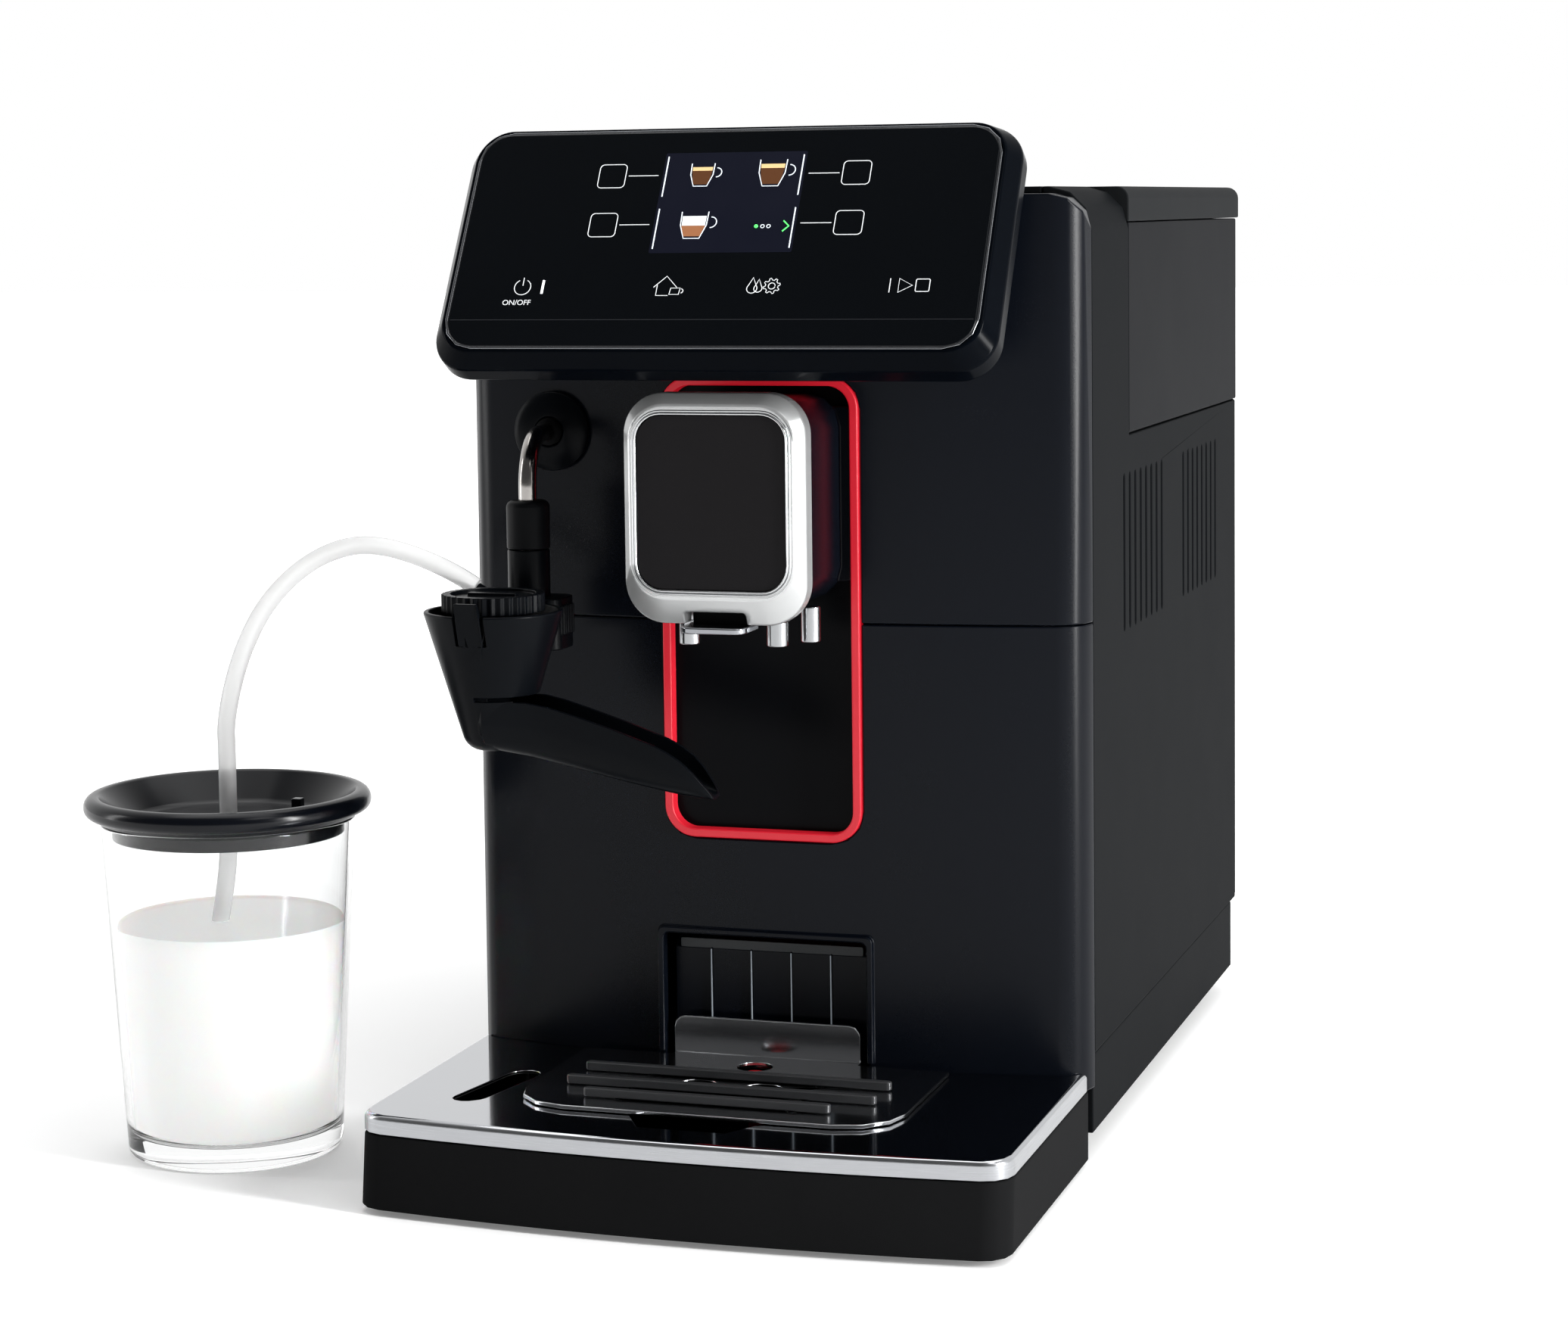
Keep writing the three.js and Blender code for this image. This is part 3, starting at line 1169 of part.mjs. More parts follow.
function trayFloat() {
  const bottom = TRAY_BOTTOM_Z + TRAY_FLOOR + GAP;
  const top = TRAY_TOP_Z - GAP;
  const head = top - FLOAT_HEAD;
  const profile = [
    [0, bottom], [FLOAT_DISC_RADIUS, bottom], [FLOAT_DISC_RADIUS, bottom + FLOAT_DISC],
    [FLOAT_STEM_RADIUS, bottom + FLOAT_DISC], [FLOAT_STEM_RADIUS, head], [FLOAT_RADIUS, head],
    [FLOAT_RADIUS, top - GAP], [0, top],
  ];
  return piece('tray_float', lathe(profile), redLight(), new THREE.Vector3(0, FASCIA_Y - FLOAT_SETBACK, 0));
}

function groundsContainer() {
  const half = GROUNDS_HALF_WIDTH;
  const front = FASCIA_Y + GROUNDS_FRONT_SETBACK;
  const rear = TAIL_REAR_Y - GROUNDS_REAR_INSET;
  const low = TRAY_TAIL_TOP_Z + GAP;
  const wall = GROUNDS_WALL;
  const side = points([
    [front, low], [rear, low], [rear, GROUNDS_TOP_Z], [front + GROUNDS_CHAMFER, GROUNDS_TOP_Z],
    [front, GROUNDS_TOP_Z - GROUNDS_CHAMFER],
  ]);
  const room = box(
    -half + wall, half - wall, front + GROUNDS_CHAMFER + wall, rear - wall, low + wall,
    GROUNDS_TOP_Z + OVERRUN,
  );
  const first = (-GROUNDS_RIB_PITCH * (GROUNDS_RIB_COUNT - 1)) / 2;
  const ribs = Array.from({ length: GROUNDS_RIB_COUNT }, (unused, i) => {
    const x = first + i * GROUNDS_RIB_PITCH;
    return slabX(
      side.map((p) => new THREE.Vector2(p.y === low || p.x === rear ? p.x : p.x - GROUNDS_RIB, p.y)),
      x - GROUNDS_RIB / 2, x + GROUNDS_RIB / 2,
    );
  });
  const body = join(slabX(side, -half, half), ...ribs);
  return piece('grounds_container', cut(body, room), mattBlack());
}

// Coffee spout block, in front of the recess
function spoutBezel() {
  const outer = rounded(-SPOUT_HALF_WIDTH, SPOUT_HALF_WIDTH, SPOUT_BOTTOM_Z, SPOUT_TOP_Z, SPOUT_ROUND);
  const rimHalf = SPOUT_HALF_WIDTH - BEZEL_RIM_SIDE;
  const rim = rounded(
    -rimHalf, rimHalf, SPOUT_BOTTOM_Z + BEZEL_RIM_BOTTOM, SPOUT_TOP_Z - BEZEL_RIM_TOP,
    SPOUT_ROUND - BEZEL_RIM_SIDE,
  );
  const at = (outline, y) => outline.map((p) => new THREE.Vector3(p.x, y, p.y));
  const body = solidOf(loft([
    at(rim, SPOUT_FRONT_Y), at(outer, SPOUT_FRONT_Y + BEZEL_BEVEL), at(outer, SPOUT_FRONT_Y + BEZEL_DEPTH),
  ]));
  const seat = slabY(
    frontPlateOutline(GAP), SPOUT_FRONT_Y - OVERRUN, SPOUT_FRONT_Y + frontPlateRear() + GAP,
  );
  const notch = box(
    -SPOUT_NOTCH_HALF_WIDTH, SPOUT_NOTCH_HALF_WIDTH, SPOUT_FRONT_Y - OVERRUN, FASCIA_Y,
    SPOUT_BOTTOM_Z - OVERRUN, SPOUT_NOTCH_TOP_Z,
  );
  return piece('spout_bezel', cut(body, seat, notch), satinSteel());
}

function frontPlateOutline(margin) {
  const half = FRONT_PLATE_HALF_WIDTH + margin;
  return rounded(
    -half, half, FRONT_PLATE_BOTTOM_Z - margin, FRONT_PLATE_TOP_Z + margin, FRONT_PLATE_ROUND + margin,
  );
}

function frontPlateRear() {
  return FRONT_PLATE_SINK + FRONT_PLATE_SHEET;
}

function spoutPlate() {
  const front = SPOUT_FRONT_Y + FRONT_PLATE_SINK;
  return piece('spout_plate', slabY(frontPlateOutline(0), front, front + FRONT_PLATE_SHEET), mattBlack());
}

function spoutBody() {
  const half = SPOUT_HALF_WIDTH - BODY_INSET;
  const front = SPOUT_FRONT_Y + BEZEL_DEPTH + GAP;
  const sliderFront = FASCIA_Y - RED_PROUD + RED_LIP_DEPTH + GAP;
  const sliderRear = FASCIA_Y + RED_DEPTH;
  const sliderHalf = RECESS_HALF_WIDTH - RED_STRIP + RED_LIP - GAP;
  const block = slabY(
    rounded(-half, half, BODY_BOTTOM_Z, SPOUT_TOP_Z - BODY_INSET, SPOUT_ROUND - BODY_INSET), front,
    sliderRear,
  );
  const slider = slabY(
    rounded(-sliderHalf, sliderHalf, SLIDER_BOTTOM_Z, SLIDER_TOP_Z, BODY_INSET), sliderFront, sliderRear,
  );
  return piece('spout_body', join(block, slider), glossBlack());
}

function spoutGrip() {
  const front = SPOUT_FRONT_Y - GRIP_PROUD;
  const rear = front + GRIP_LENGTH;
  const top = SPOUT_BOTTOM_Z - GAP;
  const round = GRIP_HALF_WIDTH / 2;
  const plate = slabZ(
    rounded(-GRIP_HALF_WIDTH, GRIP_HALF_WIDTH, front, rear, [round, round, GAP, GAP]), top - GRIP_SHEET,
    top,
  );
  const stem = box(
    -GRIP_STEM_HALF_WIDTH, GRIP_STEM_HALF_WIDTH, rear - GRIP_STEM_DEPTH, rear, top - GRIP_SHEET,
    BODY_BOTTOM_Z - GAP,
  );
  return piece('spout_grip', join(plate, stem), chrome());
}

function nozzleProfile(radius, bottom) {
  const top = BODY_BOTTOM_Z - GAP;
  return [
    [0, bottom + NOZZLE_BORE_DEPTH], [NOZZLE_BORE, bottom + NOZZLE_BORE_DEPTH], [NOZZLE_BORE, bottom],
    [radius, bottom], [radius, top], [0, top],
  ];
}

function coffeeNozzles() {
  const y = SPOUT_FRONT_Y + NOZZLE_SETBACK;
  const top = BODY_BOTTOM_Z - GAP;
  const tubes = [-NOZZLE_X, NOZZLE_X].map((x) => solidOf(
    latheGeometry(nozzleProfile(NOZZLE_RADIUS, NOZZLE_BOTTOM_Z)).translate(x, y, 0),
  ));
  const half = NOZZLE_BAR_HALF_DEPTH;
  const bar = slabZ(
    rounded(-NOZZLE_X - half, NOZZLE_X + half, y - half, y + half, half), top - NOZZLE_BAR_HEIGHT, top,
  );
  return piece('coffee_nozzles', join(bar, ...tubes), chrome());
}

function waterNozzle() {
  const at = new THREE.Vector3(WATER_NOZZLE_X, SPOUT_FRONT_Y + WATER_NOZZLE_SETBACK, 0);
  return piece(
    'water_nozzle', lathe(nozzleProfile(WATER_NOZZLE_RADIUS, NOZZLE_BOTTOM_Z + GAP)), chrome(), at,
  );
}

// Control panel. Its own frame leans back: X across, Y into the panel, Z up the slant.
const LEAN = THREE.MathUtils.degToRad(PANEL_LEAN_DEGREES);
const PANEL_FRONT_Y = FASCIA_Y - PANEL_FRONT;
const PANEL_BOTTOM_Z = OVERALL_HEIGHT - (GLASS_SLANT + PANEL_EDGE) * Math.cos(LEAN) + PANEL_STEP * Math.sin(
  LEAN,
);
const PANEL_FRAME = new THREE.Matrix4()
  .makeTranslation(0, PANEL_FRONT_Y, PANEL_BOTTOM_Z)
  .multiply(new THREE.Matrix4().makeRotationX(-LEAN));

function glassOutline(margin) {
  const half = GLASS_HALF_WIDTH + margin;
  return rounded(-half, half, -margin, GLASS_SLANT + margin, GLASS_ROUND + margin);
}

function panelSlab(outline, front, rear) {
  const turn = new THREE.Matrix4().set(1, 0, 0, 0, 0, 0, -1, rear, 0, 1, 0, 0, 0, 0, 0, 1);
  return solidOf(extruded(outline, rear - front, []).applyMatrix4(turn).applyMatrix4(PANEL_FRAME));
}

function panelHousing() {
  const edge = glassOutline(PANEL_EDGE);
  const half = GLASS_HALF_WIDTH + PANEL_EDGE + BEVEL_SIDE;
  const low = -PANEL_EDGE - BEVEL_BOTTOM;
  const high = GLASS_SLANT + PANEL_EDGE + BEVEL_TOP;
  const wide = rounded(-half, half, low, high, BEVEL_ROUND);
  const inset = PANEL_BACK_INSET;
  const back = rounded(-half + inset, half - inset, low + inset, high - inset, BEVEL_ROUND - inset / 2);
  const at = (outline, y) => outline.map((p) => new THREE.Vector3(p.x, y, p.y).applyMatrix4(PANEL_FRAME));
  const bevelY = PANEL_STEP + BEVEL_DEPTH;
  const shell = solidOf(loft([
    at(edge, PANEL_STEP), at(wide, bevelY), at(wide, bevelY + PANEL_SIDE_DEPTH),
    at(back, bevelY + PANEL_SIDE_DEPTH + PANEL_BACK_DEPTH),
  ]));
  const neckRear = FASCIA_Y + NECK_REACH;
  const neck = slabX(points([
    [FASCIA_Y - NECK_FRONT, NECK_BOTTOM_Z], [neckRear, NECK_BOTTOM_Z], [neckRear, NECK_TOP_Z],
    [FASCIA_Y - NECK_TOP_FRONT, NECK_TOP_Z],
  ]), -NECK_HALF_WIDTH, NECK_HALF_WIDTH);
  const fascia = slabZ(frontPlan(-GAP, SEAM_Y + OVERRUN), NECK_BOTTOM_Z - OVERRUN, TOP_Z);
  const seat = panelSlab(glassOutline(GAP * 2 + TRIM_WIDTH), -OVERRUN, GLASS_SHEET + GAP);
  const room = panelSlab(
    rounded(
      -BOARD_HALF_WIDTH - GAP, BOARD_HALF_WIDTH + GAP, BOARD_LOW - GAP, BOARD_HIGH + GAP, BOARD_ROUND,
    ),
    GLASS_SHEET, boardRear() + GAP,
  );
  return piece('panel_housing', cut(join(shell, cut(neck, fascia)), seat, room), glossBlack());
}

function boardRear() {
  return GLASS_SHEET + GAP + DISPLAY_DEPTH + BOARD_SHEET;
}

function displayBoard() {
  const front = GLASS_SHEET + GAP;
  const middle = front + DISPLAY_DEPTH;
  const display = slabY(
    rounded(-DISPLAY_HALF_WIDTH, DISPLAY_HALF_WIDTH, DISPLAY_LOW, DISPLAY_HIGH, BOARD_SHEET), front, middle,
  );
  const board = slabY(
    rounded(-BOARD_HALF_WIDTH, BOARD_HALF_WIDTH, BOARD_LOW, BOARD_HIGH, BOARD_ROUND), middle, boardRear(),
  );
  return piece('display_board', join(display, board), circuitGreen());
}

function panelFront() {
  const group = new THREE.Group();
  group.position.set(0, PANEL_FRONT_Y, PANEL_BOTTOM_Z);
  group.rotation.x = -LEAN;
  const trim = slabY(glassOutline(GAP + TRIM_WIDTH), GAP, TRIM_DEPTH, [glassOutline(GAP)]);
  group.add(
    piece('panel_glass', slabY(glassOutline(0), 0, GLASS_SHEET), glossBlack()),
    piece('panel_trim', trim, chrome()),
    displayBoard(),
  );
  return group;
}

// Steam wand on its ball
function wandFlange() {
  const bore = BALL_RADIUS + GAP;
  const profile = [
    [bore, 0], [bore, -BORE_BACK], [FLANGE_RADIUS, -BORE_BACK], [FLANGE_RADIUS, -FLANGE_EDGE],
    [FLANGE_RADIUS - FLANGE_EDGE, -FLANGE_EDGE / 3], [bore + FLANGE_EDGE / 2, 0], [bore, 0],
  ];
  const place = latheGeometry(profile, LARGE_ROUND_STEPS).rotateX(Math.PI / 2);
  const disc = solidOf(place.translate(WAND_BALL_X, FASCIA_Y - FLANGE_PROUD, WAND_BALL_Z));
  const fascia = slabZ(frontPlan(-GAP, SEAM_Y + OVERRUN), FASCIA_SPLIT_Z, FASCIA_TOP_Z);
  return piece('wand_flange', cut(disc, fascia), satinBlack());
}

function steamPipe() {
  const ball = new THREE.Vector3(WAND_BALL_X, FASCIA_Y - FLANGE_PROUD, WAND_BALL_Z);
  const corner = new THREE.Vector3(WAND_X, WAND_Y, WAND_BALL_Z);
  const forward = corner.clone().sub(ball).normalize();
  const bendStart = corner.clone().addScaledVector(forward, -PIPE_BEND);
  const bendEnd = corner.clone().add(new THREE.Vector3(0, 0, -PIPE_BEND));
  const path = new THREE.CurvePath();
  path.add(new THREE.LineCurve3(ball, bendStart));
  path.add(new THREE.QuadraticBezierCurve3(bendStart, corner, bendEnd));
  path.add(new THREE.LineCurve3(bendEnd, new THREE.Vector3(WAND_X, WAND_Y, PIPE_BOTTOM_Z)));
  const tube = solidOf(tubeGeometry(path, PIPE_RADIUS, PIPE_SIDES, PIPE_STEPS));
  const sphere = new THREE.SphereGeometry(BALL_RADIUS, ROUND_STEPS / 2, ROUND_STEPS / 3);
  return piece('steam_pipe', join(tube, solidOf(sphere.translate(...ball.toArray()))), chrome());
}

function wandSleeve() {
  const bore = PIPE_RADIUS + GAP;
  const profile = [
    [bore, SLEEVE_BOTTOM_Z], [SLEEVE_RADIUS, SLEEVE_BOTTOM_Z], [SLEEVE_RADIUS, SLEEVE_TOP_Z - SLEEVE_ROUND],
    [SLEEVE_RADIUS - SLEEVE_ROUND / 3, SLEEVE_TOP_Z - SLEEVE_ROUND / 3],
    [SLEEVE_RADIUS - SLEEVE_ROUND, SLEEVE_TOP_Z],
    [bore, SLEEVE_TOP_Z], [bore, SLEEVE_BOTTOM_Z],
  ];
  return piece('wand_sleeve', lathe(profile), rubber(), new THREE.Vector3(WAND_X, WAND_Y, 0));
}

// Milk frother: socket on the wand, cup, knob and open spout
function coneRadius(z) {
  const share = (z - CUP_LOW_Z) / (CUP_RIM_Z - CUP_LOW_Z);
  return CUP_LOW_RADIUS + (CUP_RIM_RADIUS - CUP_LOW_RADIUS) * share;
}

function cone(low, high, margin) {
  const profile = [[0, low], [coneRadius(low) + margin, low], [coneRadius(high) + margin, high], [0, high]];
  return solidOf(latheGeometry(profile, LARGE_ROUND_STEPS).translate(WAND_X, CUP_Y, 0));
}

function frotherSocket() {
  const left = WAND_X - SOCKET_HALF_WIDTH;
  const right = WAND_X + SOCKET_HALF_WIDTH;
  const front = WAND_Y - SOCKET_HALF_DEPTH;
  const rear = WAND_Y + SOCKET_HALF_DEPTH;
  const block = slabZ(
    rounded(left, right, front, rear, SOCKET_ROUND), SOCKET_BLOCK_BOTTOM_Z, SOCKET_BLOCK_TOP_Z,
  );
  const span = rear - front - SOCKET_ROUND * 2;
  const ribs = Array.from({ length: SOCKET_RIB_COUNT }, (unused, i) => {
    const y = front + SOCKET_ROUND + (span * i) / (SOCKET_RIB_COUNT - 1);
    return box(
      right - SOCKET_ROUND, right + SOCKET_RIB, y - SOCKET_RIB / 2, y + SOCKET_RIB / 2,
      SOCKET_BLOCK_BOTTOM_Z + SOCKET_ROUND, SOCKET_BLOCK_TOP_Z - SOCKET_ROUND / 2,
    );
  });
  const collar = solidOf(latheGeometry([
    [0, SOCKET_BLOCK_BOTTOM_Z + SOCKET_ROUND], [SOCKET_RADIUS, SOCKET_BLOCK_BOTTOM_Z + SOCKET_ROUND],
    [SOCKET_RADIUS, SLEEVE_BOTTOM_Z - GAP], [0, SLEEVE_BOTTOM_Z - GAP],
  ]).translate(WAND_X, WAND_Y, 0));
  const bore = solidOf(latheGeometry([
    [0, PIPE_BOTTOM_Z - GAP * 2], [PIPE_RADIUS + GAP, PIPE_BOTTOM_Z - GAP * 2],
    [PIPE_RADIUS + GAP, SLEEVE_TOP_Z], [0, SLEEVE_TOP_Z],
  ]).translate(WAND_X, WAND_Y, 0));
  const [start, next] = HOSE_PATH;
  const along = start.clone().sub(next).normalize();
  const tip = start.clone().addScaledVector(along, GAP);
  const root = start.clone().addScaledVector(along, NIPPLE_LENGTH);
  const nipple = solidOf(tubeGeometry(new THREE.LineCurve3(root, tip), NIPPLE_RADIUS, PIPE_SIDES, 1));
  const body = cut(
    join(block, collar, ...ribs), cone(SOCKET_BLOCK_BOTTOM_Z - OVERRUN, CUP_RIM_Z + OVERRUN, GAP), bore,
  );
  return piece('frother_socket', join(body, nipple), satinBlack());
}

function frotherCup() {
  const outer = cone(CUP_FLOOR_Z, CUP_RIM_Z, 0);
  const inner = cone(CUP_FLOOR_Z + CUP_WALL, CUP_RIM_Z + OVERRUN, -CUP_WALL);
  const frontY = CUP_Y - CUP_RIM_RADIUS;
  const clipLow = CUP_RIM_Z - SLIT_DEPTH / 2;
  const clip = box(
    WAND_X - CLIP_HALF_WIDTH, WAND_X + CLIP_HALF_WIDTH, frontY + GAP, frontY + GAP + CLIP_THICK,
    clipLow, CUP_RIM_Z + CLIP_RISE,
  );
  const slits = [-1, 1].map((side) => {
    const x = WAND_X + side * (CLIP_HALF_WIDTH + SLIT_WIDTH / 2);
    return box(
      x - SLIT_WIDTH / 2, x + SLIT_WIDTH / 2, frontY - OVERRUN, CUP_Y, CUP_RIM_Z - SLIT_DEPTH,
      CUP_RIM_Z + CLIP_RISE + OVERRUN,
    );
  });
  return piece('frother_cup', cut(join(cut(outer, inner), clip), ...slits), satinBlack());
}

function frotherKnob() {
  const low = CUP_RIM_Z - GAP;
  const high = low + KNOB_HEIGHT;
  const knurled = Array.from({ length: KNOB_KNURLS * 2 }, (unused, i) => {
    const radius = KNOB_RADIUS - (i % 2) * KNOB_KNURL_DEPTH;
    const angle = (Math.PI * i) / KNOB_KNURLS;
    return new THREE.Vector2(radius * Math.cos(angle), radius * Math.sin(angle));
  });
  const stem = slabZ(circle(0, 0, KNOB_STEM_RADIUS), CUP_FLOOR_Z + CUP_WALL + GAP, low + GAP);
  const dish = slabZ(circle(0, 0, KNOB_RADIUS - KNOB_BAR), high - KNOB_DISH, high + OVERRUN);
  const bar = box(
    -KNOB_RADIUS / 2, KNOB_RADIUS / 2, -KNOB_BAR / 2, KNOB_BAR / 2, high - KNOB_DISH * 2, high,
  );
  const knob = join(cut(slabZ(knurled, low, high), dish), stem, bar);
  return piece('frother_knob', knob, mattBlack(), new THREE.Vector3(WAND_X, CUP_Y, 0));
}

function heightOn(table, x) {
  const next = Math.max(1, table.findIndex(([place]) => place >= x));
  const [[x0, drop0], [x1, drop1]] = [table[next - 1], table[next]];
  return CUP_FLOOR_Z - drop0 - ((drop1 - drop0) * (x - x0)) / (x1 - x0);
}

function troughRing(x, half, top, bottom) {
  const side = top - Math.min(half, (top - bottom) / 2);
  const low = arc(0, 0, UNIT_RADIUS, Math.PI, 2 * Math.PI, CORNER_STEPS * 2);
  const round = side - bottom > 0 ? Math.min(half, side - bottom) : 0;
  const section = [
    [-half, top], ...low.map((p) => [p.x * half, bottom + round + p.y * round]), [half, top],
  ];
  return section.map(([y, z]) => new THREE.Vector3(WAND_X + x, CUP_Y + y, z));
}

function frotherSpout() {
  const start = TROUGH_KEEL[0][0];
  const stations = [start, ...TROUGH_EDGE.map(([x]) => x)];
  const tipX = stations[stations.length - 1];
  const narrowing = (x) => 1 - TROUGH_NARROW_SHARE * Math.max(0, x - tipX + TROUGH_TAPER) / TROUGH_TAPER;
  const edge = (x) => heightOn(TROUGH_EDGE, Math.max(0, x));
  const hull = solidOf(loft(stations.map((x) => troughRing(
    x, TROUGH_HALF_WIDTH * narrowing(x), edge(x), heightOn(TROUGH_KEEL, x),
  ))));
  const channel = solidOf(loft(stations.map((x, i) => troughRing(
    i === 0 ? x + TROUGH_WALL * 2 : x, TROUGH_HALF_WIDTH * narrowing(x) - TROUGH_WALL,
    edge(x) + OVERRUN * 2,
    heightOn(TROUGH_KEEL, x) + TROUGH_WALL,
  ))));
  const low = cone(CUP_LOW_Z, CUP_FLOOR_Z - GAP, 0);
  const front = box(
    WAND_X, WAND_X + CUP_RIM_RADIUS, CUP_Y - CUP_RIM_RADIUS, CUP_Y + CUP_RIM_RADIUS, 0, OVERALL_HEIGHT,
  );
  return piece('frother_spout', cut(join(hull, cut(low, front)), channel), satinBlack());
}

// Milk hose, glass and lid
function milkHose() {
  const path = new THREE.CatmullRomCurve3(HOSE_PATH, false, 'centripetal');
  return piece('milk_hose', solidOf(tubeGeometry(path, HOSE_RADIUS, HOSE_SIDES, HOSE_STEPS)), silicone());
}

function milkGlass() {
  const slope = (JAR_MOUTH_RADIUS - JAR_BASE_RADIUS) / JAR_HEIGHT;
  const inner = JAR_BASE_RADIUS - JAR_WALL + slope * JAR_BASE;
  const profile = [
    [0, 0], [JAR_BASE_RADIUS - JAR_FOOT_ROUND, 0], [JAR_BASE_RADIUS, JAR_FOOT_ROUND],
    [JAR_MOUTH_RADIUS, JAR_HEIGHT],
    [JAR_MOUTH_RADIUS - JAR_WALL, JAR_HEIGHT], [inner, JAR_BASE + JAR_FOOT_ROUND],
    [inner - JAR_FOOT_ROUND, JAR_BASE], [0, JAR_BASE],
  ];
  return piece(
    'milk_glass', lathe(profile, LARGE_ROUND_STEPS), clearGlass(), new THREE.Vector3(MILK_X, MILK_Y, 0),
  );
}

function glassLid() {
  const seat = JAR_HEIGHT + GAP;
  const ceiling = LID_FLOOR_Z + LID_SHEET;
  const hole = HOSE_RADIUS + GAP;
  const profile = [
    [hole, LID_FLOOR_Z], [LID_PLUG_RADIUS - LID_PLUG_WALL, LID_FLOOR_Z],
    [LID_PLUG_RADIUS - LID_PLUG_WALL, LID_PLUG_BOTTOM_Z], [LID_PLUG_RADIUS, LID_PLUG_BOTTOM_Z],
    [LID_PLUG_RADIUS, seat], [JAR_MOUTH_RADIUS, seat], [LID_RADIUS - LID_ROLL / 2, seat + LID_ROLL / 2],
    [LID_RADIUS, LID_TOP_Z - LID_ROLL], [LID_RADIUS - LID_ROLL / 3, LID_TOP_Z - LID_ROLL / 3],
    [LID_RADIUS - LID_ROLL, LID_TOP_Z], [LID_RADIUS - LID_ROLL * 2, LID_TOP_Z - LID_ROLL / 2],
    [LID_PLUG_RADIUS, seat + LID_SHEET], [LID_PLUG_RADIUS - LID_ROLL * 2, ceiling + GAP],
    [hole, ceiling], [hole, LID_FLOOR_Z],
  ];
  const half = LID_PEG_SIZE / 2;
  const peg = box(
    LID_PEG_X - half, LID_PEG_X + half, -half, half, ceiling - LID_SHEET / 2, ceiling + LID_PEG_HEIGHT,
  );
  return piece(
    'glass_lid', join(lathe(profile, LARGE_ROUND_STEPS), peg), mattBlack(),
    new THREE.Vector3(MILK_X, MILK_Y, 0),
  );
}

// Water tank
function tankOutline(inset, rearY) {
  const round = TANK_ROUND - inset;
  const small = TANK_SMALL_ROUND - inset / 2;
  return rounded(
    TANK_LEFT_X + inset, HALF_WIDTH - inset, BAND_REAR_Y + GAP + inset, rearY - inset,
    [small, GAP, round, small],
  );
}

function waterTank() {
  const low = TANK_SEAM_Z + GAP;
  const outer = slabZ(tankOutline(0, TANK_REAR_Y), low, TANK_TOP_Z);
  const room = slabZ(tankOutline(TANK_WALL, TANK_REAR_Y), low + TANK_WALL, TANK_TOP_Z + OVERRUN);
  const outlet = slabZ(
    circle(VALVE_X, VALVE_Y, VALVE_RADIUS + GAP), low - OVERRUN, low + TANK_WALL + OVERRUN,
  );
  return piece('water_tank', cut(outer, room, outlet), smokedPlastic());
}

function tankLid() {
  const outer = slabZ(tankOutline(0, REAR_Y), TANK_TOP_Z + GAP, TOP_Z);
  const room = slabZ(tankOutline(TANK_LID_SHEET, REAR_Y), TANK_TOP_Z - OVERRUN, TOP_Z - TANK_LID_SHEET);
  return piece('tank_lid', cut(outer, room), satinBlack());
}

function tankValve() {
  const seat = TANK_SEAM_Z + GAP + TANK_WALL + GAP;
  const bottom = TANK_SEAM_Z - VALVE_DROP;
  const profile = [
    [VALVE_BORE, bottom], [VALVE_RADIUS, bottom], [VALVE_RADIUS, seat], [VALVE_FLANGE_RADIUS, seat],
    [VALVE_FLANGE_RADIUS, seat + VALVE_FLANGE], [VALVE_BORE, seat + VALVE_FLANGE], [VALVE_BORE, bottom],
  ];
  return piece('tank_valve', lathe(profile), palePlastic(), new THREE.Vector3(VALVE_X, VALVE_Y, 0));
}

// Inner frame: a wall from the pan to the tank, the tank's shelf and the grinder's shelf
function innerFrame() {
  const front = SEAM_Y + FRAME_FRONT_SETBACK;
  const rear = SIDE_REAR_Y - PAN_WALL - LOOSE_GAP;
  const top = TANK_SEAM_Z - GAP;
  const bay = TAIL_REAR_Y + FRAME_SIDE_GAP;
  const wall = slabX(points([
    [front, WALL_CLEAR_Z], [bay, WALL_CLEAR_Z], [bay, FRAME_BOTTOM_Z], [rear, FRAME_BOTTOM_Z],
    [rear, top], [front, top],
  ]), WALL_LEFT_X, WALL_RIGHT_X);
  const reach = HALF_WIDTH - SHELL_WALL - FRAME_SIDE_GAP;
  const tankShelf = box(WALL_LEFT_X, reach, BAND_REAR_Y, rear, SHELF_Z, TANK_SEAM_Z);
  const grinderShelf = box(
    -reach, WALL_LEFT_X + WALL_THICK / 2, GRINDER_Y - GRINDER_RADIUS - FRAME_SIDE_GAP, rear,
    GRINDER_SHELF_Z, GRINDER_SHELF_Z + GRINDER_SHELF,
  );
  const valveHole = slabZ(
    circle(VALVE_X, VALVE_Y, VALVE_RADIUS + LOOSE_GAP), SHELF_Z - OVERRUN, TANK_SEAM_Z + OVERRUN,
  );
  const motorHole = slabZ(
    circle(GRINDER_X, GRINDER_Y, MOTOR_CAP_RADIUS + GAP), GRINDER_SHELF_Z - OVERRUN,
    GRINDER_BOTTOM_Z + OVERRUN,
  );
  const shaftHole = slabX(
    circle(CHAMBER_Y, GEAR_SHAFT_Z, GEAR_SHAFT_RADIUS + GAP), WALL_LEFT_X - OVERRUN, WALL_RIGHT_X + OVERRUN,
  );
  const frame = join(wall, tankShelf, grinderShelf);
  return piece('inner_frame', cut(frame, valveHole, motorHole, shaftHole), greyPlastic());
}

